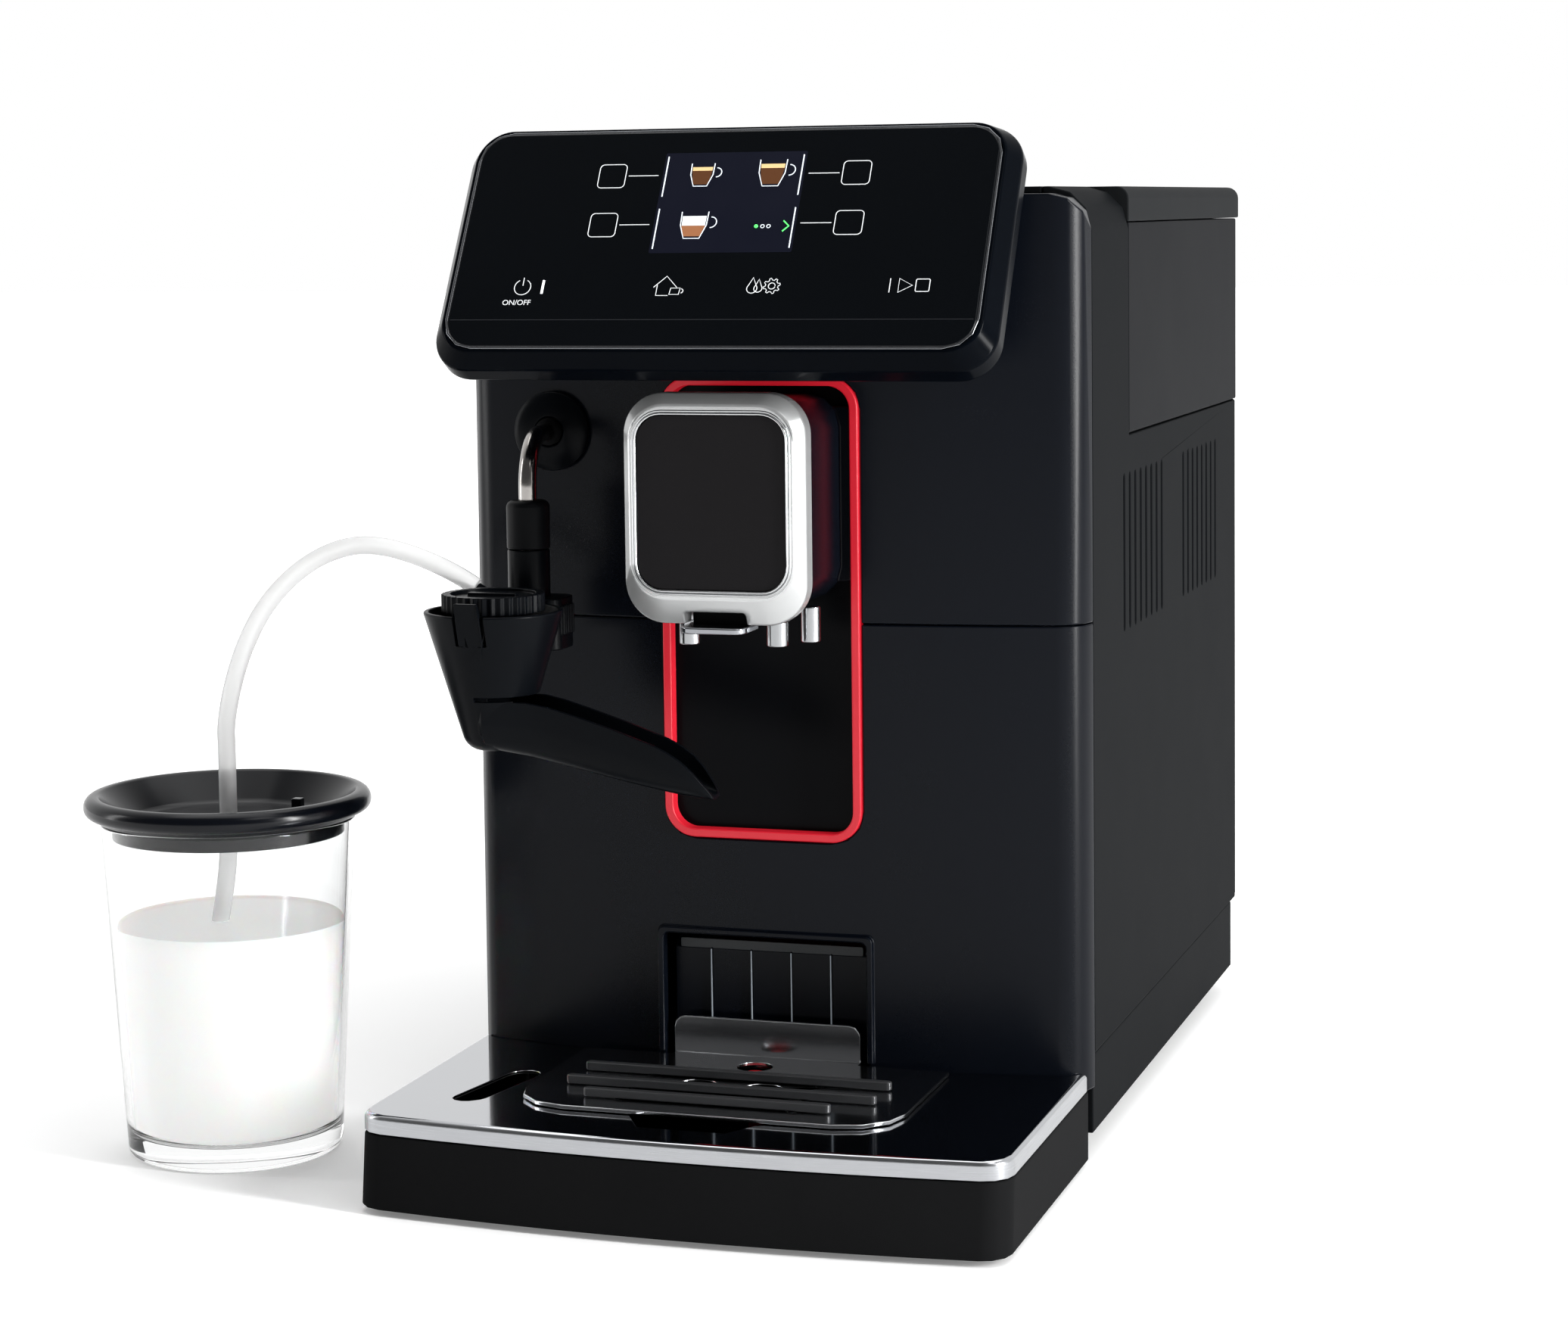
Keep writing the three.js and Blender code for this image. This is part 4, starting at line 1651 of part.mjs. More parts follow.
// Grinder, on its shelf
const GRINDER_PLACE = new THREE.Vector3(GRINDER_X, GRINDER_Y, 0);
const BURR_BOTTOM_Z = GRINDER_BOTTOM_Z + GRINDER_FLOOR + BURR_LIFT;
const RING_BURR_BOTTOM_Z = GRINDER_BOTTOM_Z + GRINDER_FLOOR + RING_BURR_LIFT;

function grinderHousing() {
  const low = GRINDER_BOTTOM_Z;
  const floor = low + GRINDER_FLOOR;
  const bore = SHAFT_RADIUS + GAP;
  const body = lathe([
    [bore, low], [GRINDER_RADIUS, low], [GRINDER_RADIUS, GRINDER_TOP_Z],
    [GRINDER_CHAMBER_RADIUS, GRINDER_TOP_Z],
    [GRINDER_CHAMBER_RADIUS, floor], [bore, floor], [bore, low],
  ], LARGE_ROUND_STEPS);
  const end = -GRINDER_RADIUS - CHUTE_LENGTH;
  const start = -GRINDER_CHAMBER_RADIUS;
  const wall = CHUTE_WALL;
  const outer = box(-CHUTE_HALF_WIDTH, CHUTE_HALF_WIDTH, end, start, floor, floor + CHUTE_HEIGHT);
  const chamber = lathe(
    [[0, floor - OVERRUN], [GRINDER_CHAMBER_RADIUS, floor - OVERRUN], [GRINDER_CHAMBER_RADIUS, GRINDER_TOP_Z],
      [0, GRINDER_TOP_Z]], LARGE_ROUND_STEPS,
  );
  const channel = box(
    -CHUTE_HALF_WIDTH + wall, CHUTE_HALF_WIDTH - wall, end + wall, start + wall, floor + wall,
    floor + CHUTE_HEIGHT - wall,
  );
  const drop = box(
    -CHUTE_HALF_WIDTH + wall, CHUTE_HALF_WIDTH - wall, end + wall, end + CHUTE_HALF_WIDTH * 2,
    floor - OVERRUN,
    floor + wall * 2,
  );
  const chute = cut(outer, chamber);
  return piece('grinder_housing', cut(join(body, chute), channel, drop), castMetal(), GRINDER_PLACE);
}

function toothedRing(radius, z, turn) {
  return Array.from({ length: BURR_TEETH * 2 }, (unused, i) => {
    const reach = i % 2 ? radius * BURR_TOOTH_SHARE : radius;
    const angle = (Math.PI * i) / BURR_TEETH + turn;
    return new THREE.Vector3(reach * Math.cos(angle), reach * Math.sin(angle), z);
  });
}

function lowerBurr() {
  const twist = Math.PI / BURR_TEETH;
  const burr = solidOf(loft([
    toothedRing(BURR_LOW_RADIUS, BURR_BOTTOM_Z, 0),
    toothedRing(BURR_TOP_RADIUS, BURR_BOTTOM_Z + BURR_HEIGHT, twist),
  ]));
  const shaft = slabZ(circle(0, 0, SHAFT_RADIUS), GRINDER_BOTTOM_Z - SHAFT_DROP, BURR_BOTTOM_Z + GAP);
  return piece('lower_burr', join(burr, shaft), castMetal(), GRINDER_PLACE);
}

function upperBurr() {
  const low = RING_BURR_BOTTOM_Z;
  const high = low + RING_BURR_HEIGHT;
  const slope = (BURR_LOW_RADIUS - BURR_TOP_RADIUS) / BURR_HEIGHT;
  const lowBore = BURR_LOW_RADIUS + RING_BURR_GAP;
  const highBore = lowBore - slope * RING_BURR_HEIGHT;
  const profile = [
    [lowBore, low], [RING_BURR_RADIUS, low], [RING_BURR_RADIUS, high], [highBore, high], [lowBore, low],
  ];
  return piece('upper_burr', lathe(profile, LARGE_ROUND_STEPS), castMetal(), GRINDER_PLACE);
}

function grindAdjuster() {
  const low = RING_BURR_BOTTOM_Z + RING_BURR_HEIGHT + GAP;
  const high = GRINDER_TOP_Z - LOOSE_GAP;
  const radius = GRINDER_CHAMBER_RADIUS - GAP;
  const ring = lathe(
    [[ADJUSTER_BORE, low], [radius, low], [radius, high], [ADJUSTER_BORE, high], [ADJUSTER_BORE, low]],
    LARGE_ROUND_STEPS,
  );
  const inner = ADJUSTER_BORE;
  const lug = box(
    inner, inner + ADJUSTER_LUG / 2, -ADJUSTER_LUG, ADJUSTER_LUG, high - GAP, high + ADJUSTER_LUG_RISE,
  );
  return piece('grind_adjuster', join(ring, lug), mattBlack(), GRINDER_PLACE);
}

function grinderMotor() {
  const top = GRINDER_SHELF_Z - GAP;
  const cap = GRINDER_SHELF_Z + GRINDER_SHELF - GAP;
  const bore = SHAFT_RADIUS + GAP;
  const floor = GRINDER_BOTTOM_Z - SHAFT_DROP - GAP;
  return piece('grinder_motor', lathe([
    [0, top - MOTOR_LENGTH], [MOTOR_RADIUS, top - MOTOR_LENGTH], [MOTOR_RADIUS, top],
    [MOTOR_CAP_RADIUS, top],
    [MOTOR_CAP_RADIUS, cap], [bore, cap], [bore, floor], [0, floor],
  ], LARGE_ROUND_STEPS), castMetal(), GRINDER_PLACE);
}

// Bean hopper and the lids on top
function hopperRing(margin, z) {
  return ringAt(rounded(
    HOPPER_LEFT_X - margin, HOPPER_RIGHT_X + margin, HOPPER_FRONT_Y - margin, HOPPER_REAR_Y + margin,
    HOPPER_ROUND + margin,
  ), z);
}

function outletRing(radius, z) {
  return ringAt(rounded(
    GRINDER_X - radius, GRINDER_X + radius, GRINDER_Y - radius, GRINDER_Y + radius, radius,
  ), z);
}

function beanHopper() {
  const rimLow = TOP_Z + GAP;
  const rimHigh = rimLow + HOPPER_RIM;
  const seat = GRINDER_TOP_Z + GAP;
  const outer = solidOf(loft([
    outletRing(HOPPER_OUTLET + HOPPER_WALL, seat), hopperRing(-LOOSE_GAP, HOPPER_FUNNEL_Z),
    hopperRing(-LOOSE_GAP, rimHigh),
  ]));
  const inner = solidOf(loft([
    outletRing(HOPPER_OUTLET, seat), hopperRing(-LOOSE_GAP - HOPPER_WALL, HOPPER_FUNNEL_Z + HOPPER_WALL),
    hopperRing(-LOOSE_GAP - HOPPER_WALL, rimHigh + OVERRUN),
  ]));
  const rim = slabZ(hopperRing(HOPPER_FLANGE, 0).map((p) => new THREE.Vector2(p.x, p.y)), rimLow, rimHigh);
  const foot = slabZ(
    circle(GRINDER_X, GRINDER_Y, GRINDER_CHAMBER_RADIUS + HOPPER_WALL), seat, seat + HOPPER_WALL,
  );
  const outlet = slabZ(circle(GRINDER_X, GRINDER_Y, HOPPER_OUTLET), seat - OVERRUN, seat + HOPPER_WALL);
  return piece('bean_hopper', cut(join(outer, rim, foot), inner, outlet), smokedPlastic());
}

function hopperLid() {
  const low = TOP_Z + GAP + HOPPER_RIM + GAP;
  const plan = (margin) => hopperRing(margin, 0).map((p) => new THREE.Vector2(p.x, p.y));
  const outer = slabZ(plan(HOPPER_FLANGE), low, low + HOPPER_LID_HEIGHT);
  const room = slabZ(
    plan(HOPPER_FLANGE - HOPPER_LID_SHEET), low - OVERRUN, low + HOPPER_LID_HEIGHT - HOPPER_LID_SHEET,
  );
  return piece('hopper_lid', cut(outer, room), smokedPlastic());
}

function groundCoffeeLid() {
  const lap = GROUND_LID_LAP;
  const low = TOP_Z + GAP;
  const outline = rounded(
    GROUND_LEFT_X - lap, GROUND_RIGHT_X + lap, GROUND_FRONT_Y - lap, GROUND_REAR_Y + lap, lap + HOPPER_WALL,
  );
  return piece('ground_coffee_lid', slabZ(outline, low, low + GROUND_LID_SHEET), satinBlack());
}

// Brew group with its piston and gear motor
function brewGroup() {
  const right = WALL_LEFT_X - GAP;
  const body = slabZ(
    rounded(BREW_LEFT_X, right, BREW_FRONT_Y, BREW_REAR_Y, BREW_ROUND), BREW_BOTTOM_Z, BREW_TOP_Z,
  );
  const chamber = slabZ(
    circle(CHAMBER_X, CHAMBER_Y, CHAMBER_RADIUS, LARGE_ROUND_STEPS), CHAMBER_FLOOR_Z,
    BREW_TOP_Z + OVERRUN,
  );
  const rodHole = slabZ(
    circle(CHAMBER_X, CHAMBER_Y, ROD_RADIUS + GAP), BREW_BOTTOM_Z - OVERRUN, CHAMBER_FLOOR_Z + OVERRUN,
  );
  const shaftReach = right - GEAR_SHAFT_REACH - OVERRUN;
  const shaftHole = slabX(
    circle(CHAMBER_Y, GEAR_SHAFT_Z, GEAR_SHAFT_RADIUS + GAP), shaftReach, right + OVERRUN,
  );
  return piece('brew_group', cut(body, chamber, rodHole, shaftHole), greyPlastic());
}

function brewPiston() {
  const low = CHAMBER_FLOOR_Z + GAP;
  const radius = CHAMBER_RADIUS - PISTON_GAP;
  const profile = [
    [0, low - ROD_DROP], [ROD_RADIUS, low - ROD_DROP], [ROD_RADIUS, low], [radius, low],
    [radius, low + PISTON_HEIGHT],
    [0, low + PISTON_HEIGHT],
  ];
  return piece(
    'brew_piston', lathe(profile, LARGE_ROUND_STEPS), palePlastic(),
    new THREE.Vector3(CHAMBER_X, CHAMBER_Y, 0),
  );
}

function brewMotor() {
  const left = WALL_RIGHT_X + GAP;
  const right = left + GEAR_MOTOR_DEPTH;
  const half = GEAR_MOTOR_HALF_LENGTH;
  const high = GEAR_MOTOR_BOTTOM_Z + GEAR_MOTOR_HEIGHT;
  const gearbox = slabX(
    rounded(CHAMBER_Y - half, CHAMBER_Y + half, GEAR_MOTOR_BOTTOM_Z, high, BREW_ROUND), left, right,
  );
  const can = slabX(
    circle(CHAMBER_Y, GEAR_SHAFT_Z, GEAR_CAN_RADIUS), right - OVERRUN, right + GEAR_CAN_LENGTH,
  );
  const shaft = slabX(
    circle(CHAMBER_Y, GEAR_SHAFT_Z, GEAR_SHAFT_RADIUS, ROUND_STEPS), WALL_LEFT_X - GEAR_SHAFT_REACH,
    left + OVERRUN,
  );
  return piece('brew_motor', join(gearbox, can, shaft), mattBlack());
}

// Boiler, pump and power board
function boiler() {
  const left = WALL_RIGHT_X + GAP;
  const right = HALF_WIDTH - SHELL_WALL - BOILER_SIDE_GAP;
  const block = slabX(
    rounded(BOILER_FRONT_Y, BOILER_REAR_Y, BOILER_BOTTOM_Z, BOILER_TOP_Z, BREW_ROUND), left,
    right - BOILER_FIN_HEIGHT,
  );
  const pitch = (BOILER_REAR_Y - BOILER_FRONT_Y - BREW_ROUND * 2) / (BOILER_FIN_COUNT - 1);
  const fins = Array.from({ length: BOILER_FIN_COUNT }, (unused, i) => {
    const y = BOILER_FRONT_Y + BREW_ROUND + i * pitch;
    return box(
      right - BOILER_FIN_HEIGHT - BOILER_FIN, right, y - BOILER_FIN / 2, y + BOILER_FIN / 2,
      BOILER_BOTTOM_Z + BREW_ROUND, BOILER_TOP_Z - BREW_ROUND,
    );
  });
  const stubs = [1, 2].map((n) => slabZ(
    circle(
      (left + right) / 2 - BOILER_FIN_HEIGHT, BOILER_FRONT_Y + n * pitch, BOILER_STUB_RADIUS, PIPE_SIDES,
    ),
    BOILER_TOP_Z - OVERRUN, BOILER_TOP_Z + BOILER_STUB_LENGTH,
  ));
  return piece('boiler', join(block, ...fins, ...stubs), castMetal());
}

function pump() {
  const rear = PUMP_FRONT_Y + PUMP_LENGTH;
  const can = slabY(circle(PUMP_X, PUMP_Z, PUMP_RADIUS), PUMP_FRONT_Y, rear);
  const nose = slabY(
    circle(PUMP_X, PUMP_Z, PUMP_NOSE_RADIUS), PUMP_FRONT_Y - PUMP_NOSE, PUMP_FRONT_Y + OVERRUN,
  );
  const half = PUMP_BRACKET_HALF_WIDTH;
  const plate = box(
    PUMP_X - half, PUMP_X + half, PUMP_FRONT_Y + PUMP_NOSE, rear - PUMP_NOSE, FRAME_BOTTOM_Z,
    FRAME_BOTTOM_Z + PUMP_BRACKET,
  );
  const saddle = box(
    PUMP_X - half / 2, PUMP_X + half / 2, PUMP_FRONT_Y + PUMP_NOSE, rear - PUMP_NOSE, FRAME_BOTTOM_Z,
    PUMP_Z,
  );
  return piece('pump', join(can, nose, plate, saddle), brass());
}

function powerBoard() {
  const left = WALL_RIGHT_X + GAP;
  const boardLeft = left + STANDOFF_LENGTH;
  const face = boardLeft + CIRCUIT_SHEET;
  const board = slabX(
    rounded(CIRCUIT_FRONT_Y, CIRCUIT_REAR_Y, CIRCUIT_BOTTOM_Z, CIRCUIT_TOP_Z, CIRCUIT_SHEET), boardLeft,
    face,
  );
  const posts = [CIRCUIT_FRONT_Y + STANDOFF_INSET, CIRCUIT_REAR_Y - STANDOFF_INSET].flatMap(
    (y) => [CIRCUIT_BOTTOM_Z + STANDOFF_INSET, CIRCUIT_TOP_Z - STANDOFF_INSET].map(
      (z) => slabX(circle(y, z, STANDOFF_RADIUS, PIPE_SIDES), left, boardLeft + CIRCUIT_SHEET / 2),
    ),
  );
  const middleY = (CIRCUIT_FRONT_Y + CIRCUIT_REAR_Y) / 2;
  const rootX = face - CIRCUIT_SHEET / 2;
  const capacitors = [-1, 1].map((side) => slabX(
    circle(middleY + side * CAPACITOR_RADIUS * 2, CIRCUIT_TOP_Z - CAPACITOR_RADIUS * 3, CAPACITOR_RADIUS),
    rootX, face + CAPACITOR_HEIGHT,
  ));
  const transformerLow = CIRCUIT_BOTTOM_Z + STANDOFF_INSET * 2;
  const transformer = box(
    rootX, face + TRANSFORMER_HEIGHT, middleY - TRANSFORMER_WIDTH / 2, middleY + TRANSFORMER_WIDTH / 2,
    transformerLow, transformerLow + TRANSFORMER_WIDTH,
  );
  const relayLow = transformerLow + TRANSFORMER_WIDTH + STANDOFF_INSET;
  const relays = [-1, 1].map((side) => box(
    rootX, face + RELAY_HEIGHT, middleY + side * RELAY_WIDTH - RELAY_WIDTH / 3,
    middleY + side * RELAY_WIDTH + RELAY_WIDTH / 3,
    relayLow, relayLow + RELAY_WIDTH,
  ));
  return piece('power_board', join(board, transformer, ...posts, ...capacitors, ...relays), circuitGreen());
}

// Mains inlet with its rocker, in the rear cover
function inletOutline(margin) {
  const halfWidth = INLET_HALF_WIDTH + margin;
  const halfHeight = INLET_HALF_HEIGHT + margin;
  return rounded(
    INLET_X - halfWidth, INLET_X + halfWidth, INLET_Z - halfHeight, INLET_Z + halfHeight,
    INLET_FLANGE + margin,
  );
}

function mainsInlet() {
  const face = COVER_REAR_Y + GAP + INLET_FLANGE_SHEET;
  const body = slabY(inletOutline(0), COVER_REAR_Y - INLET_DEPTH, face);
  const flange = slabY(inletOutline(INLET_FLANGE), COVER_REAR_Y + GAP, face);
  const x = INLET_X + SOCKET_HOLE_X;
  const socket = slabY(rounded(
    x - SOCKET_HOLE_HALF_WIDTH, x + SOCKET_HOLE_HALF_WIDTH, INLET_Z - SOCKET_HOLE_HALF_HEIGHT,
    INLET_Z + SOCKET_HOLE_HALF_HEIGHT, SOCKET_HOLE_ROUND,
  ), face - SOCKET_HOLE_DEPTH, face + OVERRUN);
  const pins = [-1, 0, 1].map((n) => {
    const pinX = x + n * PIN_SPREAD;
    const pinZ = INLET_Z + (n === 0 ? PIN_HALF_HEIGHT : -PIN_HALF_HEIGHT) / 2;
    return box(
      pinX - PIN_HALF_WIDTH, pinX + PIN_HALF_WIDTH, face - SOCKET_HOLE_DEPTH - GAP,
      face - SOCKET_HOLE_DEPTH + PIN_LENGTH,
      pinZ - PIN_HALF_HEIGHT, pinZ + PIN_HALF_HEIGHT,
    );
  });
  const rockerX = INLET_X + ROCKER_OFFSET_X;
  const halfWidth = ROCKER_HALF_WIDTH + GAP;
  const halfHeight = ROCKER_HALF_HEIGHT + ROCKER_ROOM;
  const room = box(
    rockerX - halfWidth, rockerX + halfWidth, face - ROCKER_PROUD - ROCKER_DEPTH - ROCKER_ROOM,
    face + OVERRUN,
    INLET_Z - halfHeight, INLET_Z + halfHeight,
  );
  return piece('mains_inlet', join(cut(join(body, flange), socket, room), ...pins), mattBlack());
}

function powerSwitch() {
  const tilt = THREE.MathUtils.degToRad(ROCKER_TILT_DEGREES);
  const high = ROCKER_HALF_HEIGHT;
  const outline = points([
    [-ROCKER_DEPTH, -high * ROCKER_FOOT_SHARE], [-GAP, -high], [ROCKER_PROUD, -high], [ROCKER_PROUD / 3, 0],
    [ROCKER_PROUD, high], [-GAP, high], [-ROCKER_DEPTH, high * ROCKER_FOOT_SHARE],
  ]).map((p) => p.rotateAround(new THREE.Vector2(), tilt));
  const face = COVER_REAR_Y + GAP + INLET_FLANGE_SHEET;
  const at = new THREE.Vector3(INLET_X + ROCKER_OFFSET_X, face - ROCKER_PROUD, INLET_Z);
  return piece('power_switch', slabX(outline, -ROCKER_HALF_WIDTH, ROCKER_HALF_WIDTH), mattBlack(), at);
}

// The whole machine
const machine = new THREE.Group();
machine.name = 'bean_to_cup_coffee_machine';
machine.add(
  basePan(), ...feet(), innerFrame(), lowerFascia(), upperFascia(), redLightFrame(), recessPanel(),
  rightSidePanel(), leftSidePanel(), serviceDoor(), topCover(), rearCover(), mainsInlet(), powerSwitch(),
  dripTray(), trayCover(), cupPlate(), cupRibs(), trayFloat(), groundsContainer(),
  spoutBezel(), spoutPlate(), spoutBody(), spoutGrip(), coffeeNozzles(), waterNozzle(),
  panelHousing(), panelFront(), wandFlange(), steamPipe(), wandSleeve(),
  frotherSocket(), frotherCup(), frotherKnob(), frotherSpout(), milkHose(), milkGlass(), glassLid(),
  waterTank(), tankLid(), tankValve(), beanHopper(), hopperLid(), groundCoffeeLid(),
  grinderHousing(), upperBurr(), lowerBurr(), grindAdjuster(), grinderMotor(),
  brewGroup(), brewPiston(), brewMotor(), boiler(), pump(), powerBoard(),
);

export default machine;
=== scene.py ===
"""Looks of the bean to cup coffee machine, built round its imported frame.

Each sub-assembly is a class that holds its own sizes in millimetres, models
its pieces on the bench and dresses them in its finishes.
"""

import json
import logging
import math
from contextlib import contextmanager
from dataclasses import dataclass, field
from enum import Enum
from typing import Callable, Iterator, Sequence, Union

import bmesh
import bpy
from mathutils import Matrix, Vector

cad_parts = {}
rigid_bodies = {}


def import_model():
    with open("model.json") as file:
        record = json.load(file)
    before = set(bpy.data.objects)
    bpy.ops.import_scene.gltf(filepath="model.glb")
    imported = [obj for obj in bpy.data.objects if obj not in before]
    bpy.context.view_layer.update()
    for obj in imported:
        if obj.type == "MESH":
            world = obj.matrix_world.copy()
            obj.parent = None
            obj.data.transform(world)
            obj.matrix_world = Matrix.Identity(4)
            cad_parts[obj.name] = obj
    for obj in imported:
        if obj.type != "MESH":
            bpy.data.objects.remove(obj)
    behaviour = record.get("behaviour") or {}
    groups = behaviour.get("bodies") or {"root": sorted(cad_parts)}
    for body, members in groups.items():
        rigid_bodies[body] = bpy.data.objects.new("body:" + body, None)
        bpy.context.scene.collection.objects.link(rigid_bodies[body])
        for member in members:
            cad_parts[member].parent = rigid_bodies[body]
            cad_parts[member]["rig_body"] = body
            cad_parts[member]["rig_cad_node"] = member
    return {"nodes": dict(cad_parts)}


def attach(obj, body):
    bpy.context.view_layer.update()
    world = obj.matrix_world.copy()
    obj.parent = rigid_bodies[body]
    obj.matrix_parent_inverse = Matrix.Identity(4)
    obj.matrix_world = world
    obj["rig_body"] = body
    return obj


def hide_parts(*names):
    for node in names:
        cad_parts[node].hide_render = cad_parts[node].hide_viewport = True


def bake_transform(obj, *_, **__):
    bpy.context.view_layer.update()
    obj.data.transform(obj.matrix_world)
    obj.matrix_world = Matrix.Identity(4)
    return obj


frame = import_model()

MM = 0.001
NEAR = 1e-3  # millimetres within which two places are one
LEVEL = 0.02  # millimetres within which an edge lies on a face
FLAT = 0.01  # slope under which an edge is level
ROUND_STEPS = 6  # pieces in each round of a turned outline
RIM_STEPS = 2  # pieces in the rounding of a frame node's copy
RIM_ANGLE = 32.0  # edges sharper than this many degrees are rounded
log = logging.getLogger("coffee_machine")

Flat = tuple[float, float]
Point = tuple[float, float, float]
Number = Union[int, float, "Signal"]
Wanted = Callable[[Vector, Vector], bool]


class Facing(Enum):
    """Which way a flat blank looks before it is given its depth."""

    UP = (0.0, 0.0, 0.0)
    FRONT = (math.pi / 2, 0.0, 0.0)
    RIGHT = (math.pi / 2, 0.0, math.pi / 2)

    @property
    def axis(self) -> int:
        """The axis that it looks along."""
        return {Facing.UP: 2, Facing.FRONT: 1, Facing.RIGHT: 0}[self]


class Pick(Enum):
    """What is selected on a piece that is being shaped."""

    POINTS = "VERT"
    EDGES = "EDGE"
    FACES = "FACE"


# ---------------------------------------------------------------- finishes


def toned(colour: Point, part: float) -> Point:
    """A colour made darker or lighter by one share."""
    return tuple(channel * part for channel in colour)


class Signal:
    """A shader socket on which Python's arithmetic adds Math nodes."""

    def __init__(self, tree: bpy.types.NodeTree, socket: bpy.types.NodeSocket) -> None:
        """Wraps one output socket of a node tree."""
        self.tree = tree
        self.socket = socket

    def _math(self, operation: str, first: Number, second: Number) -> "Signal":
        """Adds one Math node.

        Args:
            operation: the Math node's operation.
            first: its first value or signal.
            second: its second value or signal.

        Returns:
            The node's value as a new signal.
        """
        node = self.tree.nodes.new("ShaderNodeMath")
        node.operation = operation
        for socket, value in zip(node.inputs, (first, second)):
            if isinstance(value, Signal):
                self.tree.links.new(value.socket, socket)
            else:
                socket.default_value = value
        return Signal(self.tree, node.outputs[0])

    def __add__(self, other: Number) -> "Signal":
        """Sum."""
        return self._math("ADD", self, other)

    def __radd__(self, other: Number) -> "Signal":
        """Sum with a number on the left."""
        return self._math("ADD", other, self)

    def __sub__(self, other: Number) -> "Signal":
        """Difference."""
        return self._math("SUBTRACT", self, other)

    def __rsub__(self, other: Number) -> "Signal":
        """Difference from a number on the left."""
        return self._math("SUBTRACT", other, self)

    def __mul__(self, other: Number) -> "Signal":
        """Product."""
        return self._math("MULTIPLY", self, other)

    def __rmul__(self, other: Number) -> "Signal":
        """Product with a number on the left."""
        return self._math("MULTIPLY", other, self)

    def __gt__(self, other: Number) -> "Signal":
        """One where this is greater."""
        return self._math("GREATER_THAN", self, other)


class Recipe:
    """The node tree of one finish."""

    def __init__(self, name: str) -> None:
        """Starts an empty material with its output and main shader."""
        self.material = bpy.data.materials.new(name)
        self.material.use_nodes = True
        self.tree = self.material.node_tree
        self.tree.nodes.clear()
        self.end = self.tree.nodes.new("ShaderNodeOutputMaterial")
        self.surface = self.tree.nodes.new("ShaderNodeBsdfPrincipled")
        self.tree.links.new(self.surface.outputs[0], self.end.inputs["Surface"])

    def node(
        self,
        kind: str,
        settings: dict | None = None,
        values: dict | None = None,
        output: int | str = 0,
    ) -> Signal:
        """Adds any node.

        Args:
            kind: the node's type without its ShaderNode prefix.
            settings: attributes that are set first.
            values: a value or a signal for each input, by name or index.
            output: which output is handed on.

        Returns:
            That output as a signal.
        """
        made = self.tree.nodes.new("ShaderNode" + kind)
        for key, value in (settings or {}).items():
            setattr(made, key, value)
        for key, value in (values or {}).items():
            if isinstance(value, Signal):
                self.tree.links.new(value.socket, made.inputs[key])
            else:
                made.inputs[key].default_value = value
        return Signal(self.tree, made.outputs[output])

    def place(self) -> Signal:
        """The point on the piece, in metres."""
        return self.node("TexCoord", output="Object")

    def noise(
        self, size: float, detail: float = 2.0, stretch: Point = (1.0, 1.0, 1.0)
    ) -> Signal:
        """Soft random spots.

        Args:
            size: the spots' width in millimetres.
            detail: how many finer octaves are added.
            stretch: how much longer the spots are along each axis.

        Returns:
            A value from 0 to 1.
        """
        scale = tuple(1.0 / (size * MM * part) for part in stretch)
        place = self.node("Mapping", values={"Vector": self.place(), "Scale": scale})
        return self.node(
            "TexNoise", values={"Vector": place, "Scale": 1.0, "Detail": detail}
        )

    def blend(self, share: Signal, first: Point, second: Point) -> Signal:
        """Mixes two colours by a changing share."""
        return self.node(
            "Mix",
            {"data_type": "RGBA"},
            {0: share, 6: (*first, 1.0), 7: (*second, 1.0)},
            output=2,
        )

    def relief(self, height: Signal, depth: float) -> Signal:
        """Turns heights from 0 to 1 into a normal.

        Args:
            height: the changing height.
            depth: what a height of 1 stands for, in millimetres.

        Returns:
            The bumped normal.
        """
        return self.node(
            "Bump", values={"Height": height, "Distance": depth * MM, "Strength": 1.0}
        )

    def feed(self, **sockets: Union[float, Point, Signal]) -> None:
        """Sets the main shader's sockets.

        Args:
            sockets: a value or a signal for each socket, by its name with an
                underscore for each space.
        """
        for key, value in sockets.items():
            socket = self.surface.inputs[key.replace("_", " ")]
            if isinstance(value, Signal):
                self.tree.links.new(value.socket, socket)
            elif isinstance(value, tuple) and len(value) == 3 and socket.type == "RGBA":
                socket.default_value = (*value, 1.0)
            else:
                socket.default_value = value


@dataclass(frozen=True)
class Moulded:
    """Moulded plastic with a fine spark-eroded grain."""

    name: str
    slot: str
    colour: Point
    shine: float = 0.42
    reflect: float = 0.3
    grain: float = 0.45
    depth: float = 0.012
    patch: float = 38.0
    tones: Flat = (0.82, 1.16)
    patchy: float = 0.6

    def make(self) -> bpy.types.Material:
        """Builds the material: slow tint and sheen changes over a fine grain."""
        recipe = Recipe(self.name)
        slow = recipe.noise(self.patch, 3.0)
        fine = recipe.noise(self.grain, 3.0)
        darker, lighter = (toned(self.colour, tone) for tone in self.tones)
        mottle = slow * self.patchy + fine * (1 - self.patchy)
        recipe.feed(
            Base_Color=recipe.blend(mottle, darker, lighter),
            Roughness=self.shine - 0.05 + slow * 0.06 + fine * 0.05,
            Normal=recipe.relief(fine, self.depth),
            Specular_IOR_Level=self.reflect,
        )
        return recipe.material


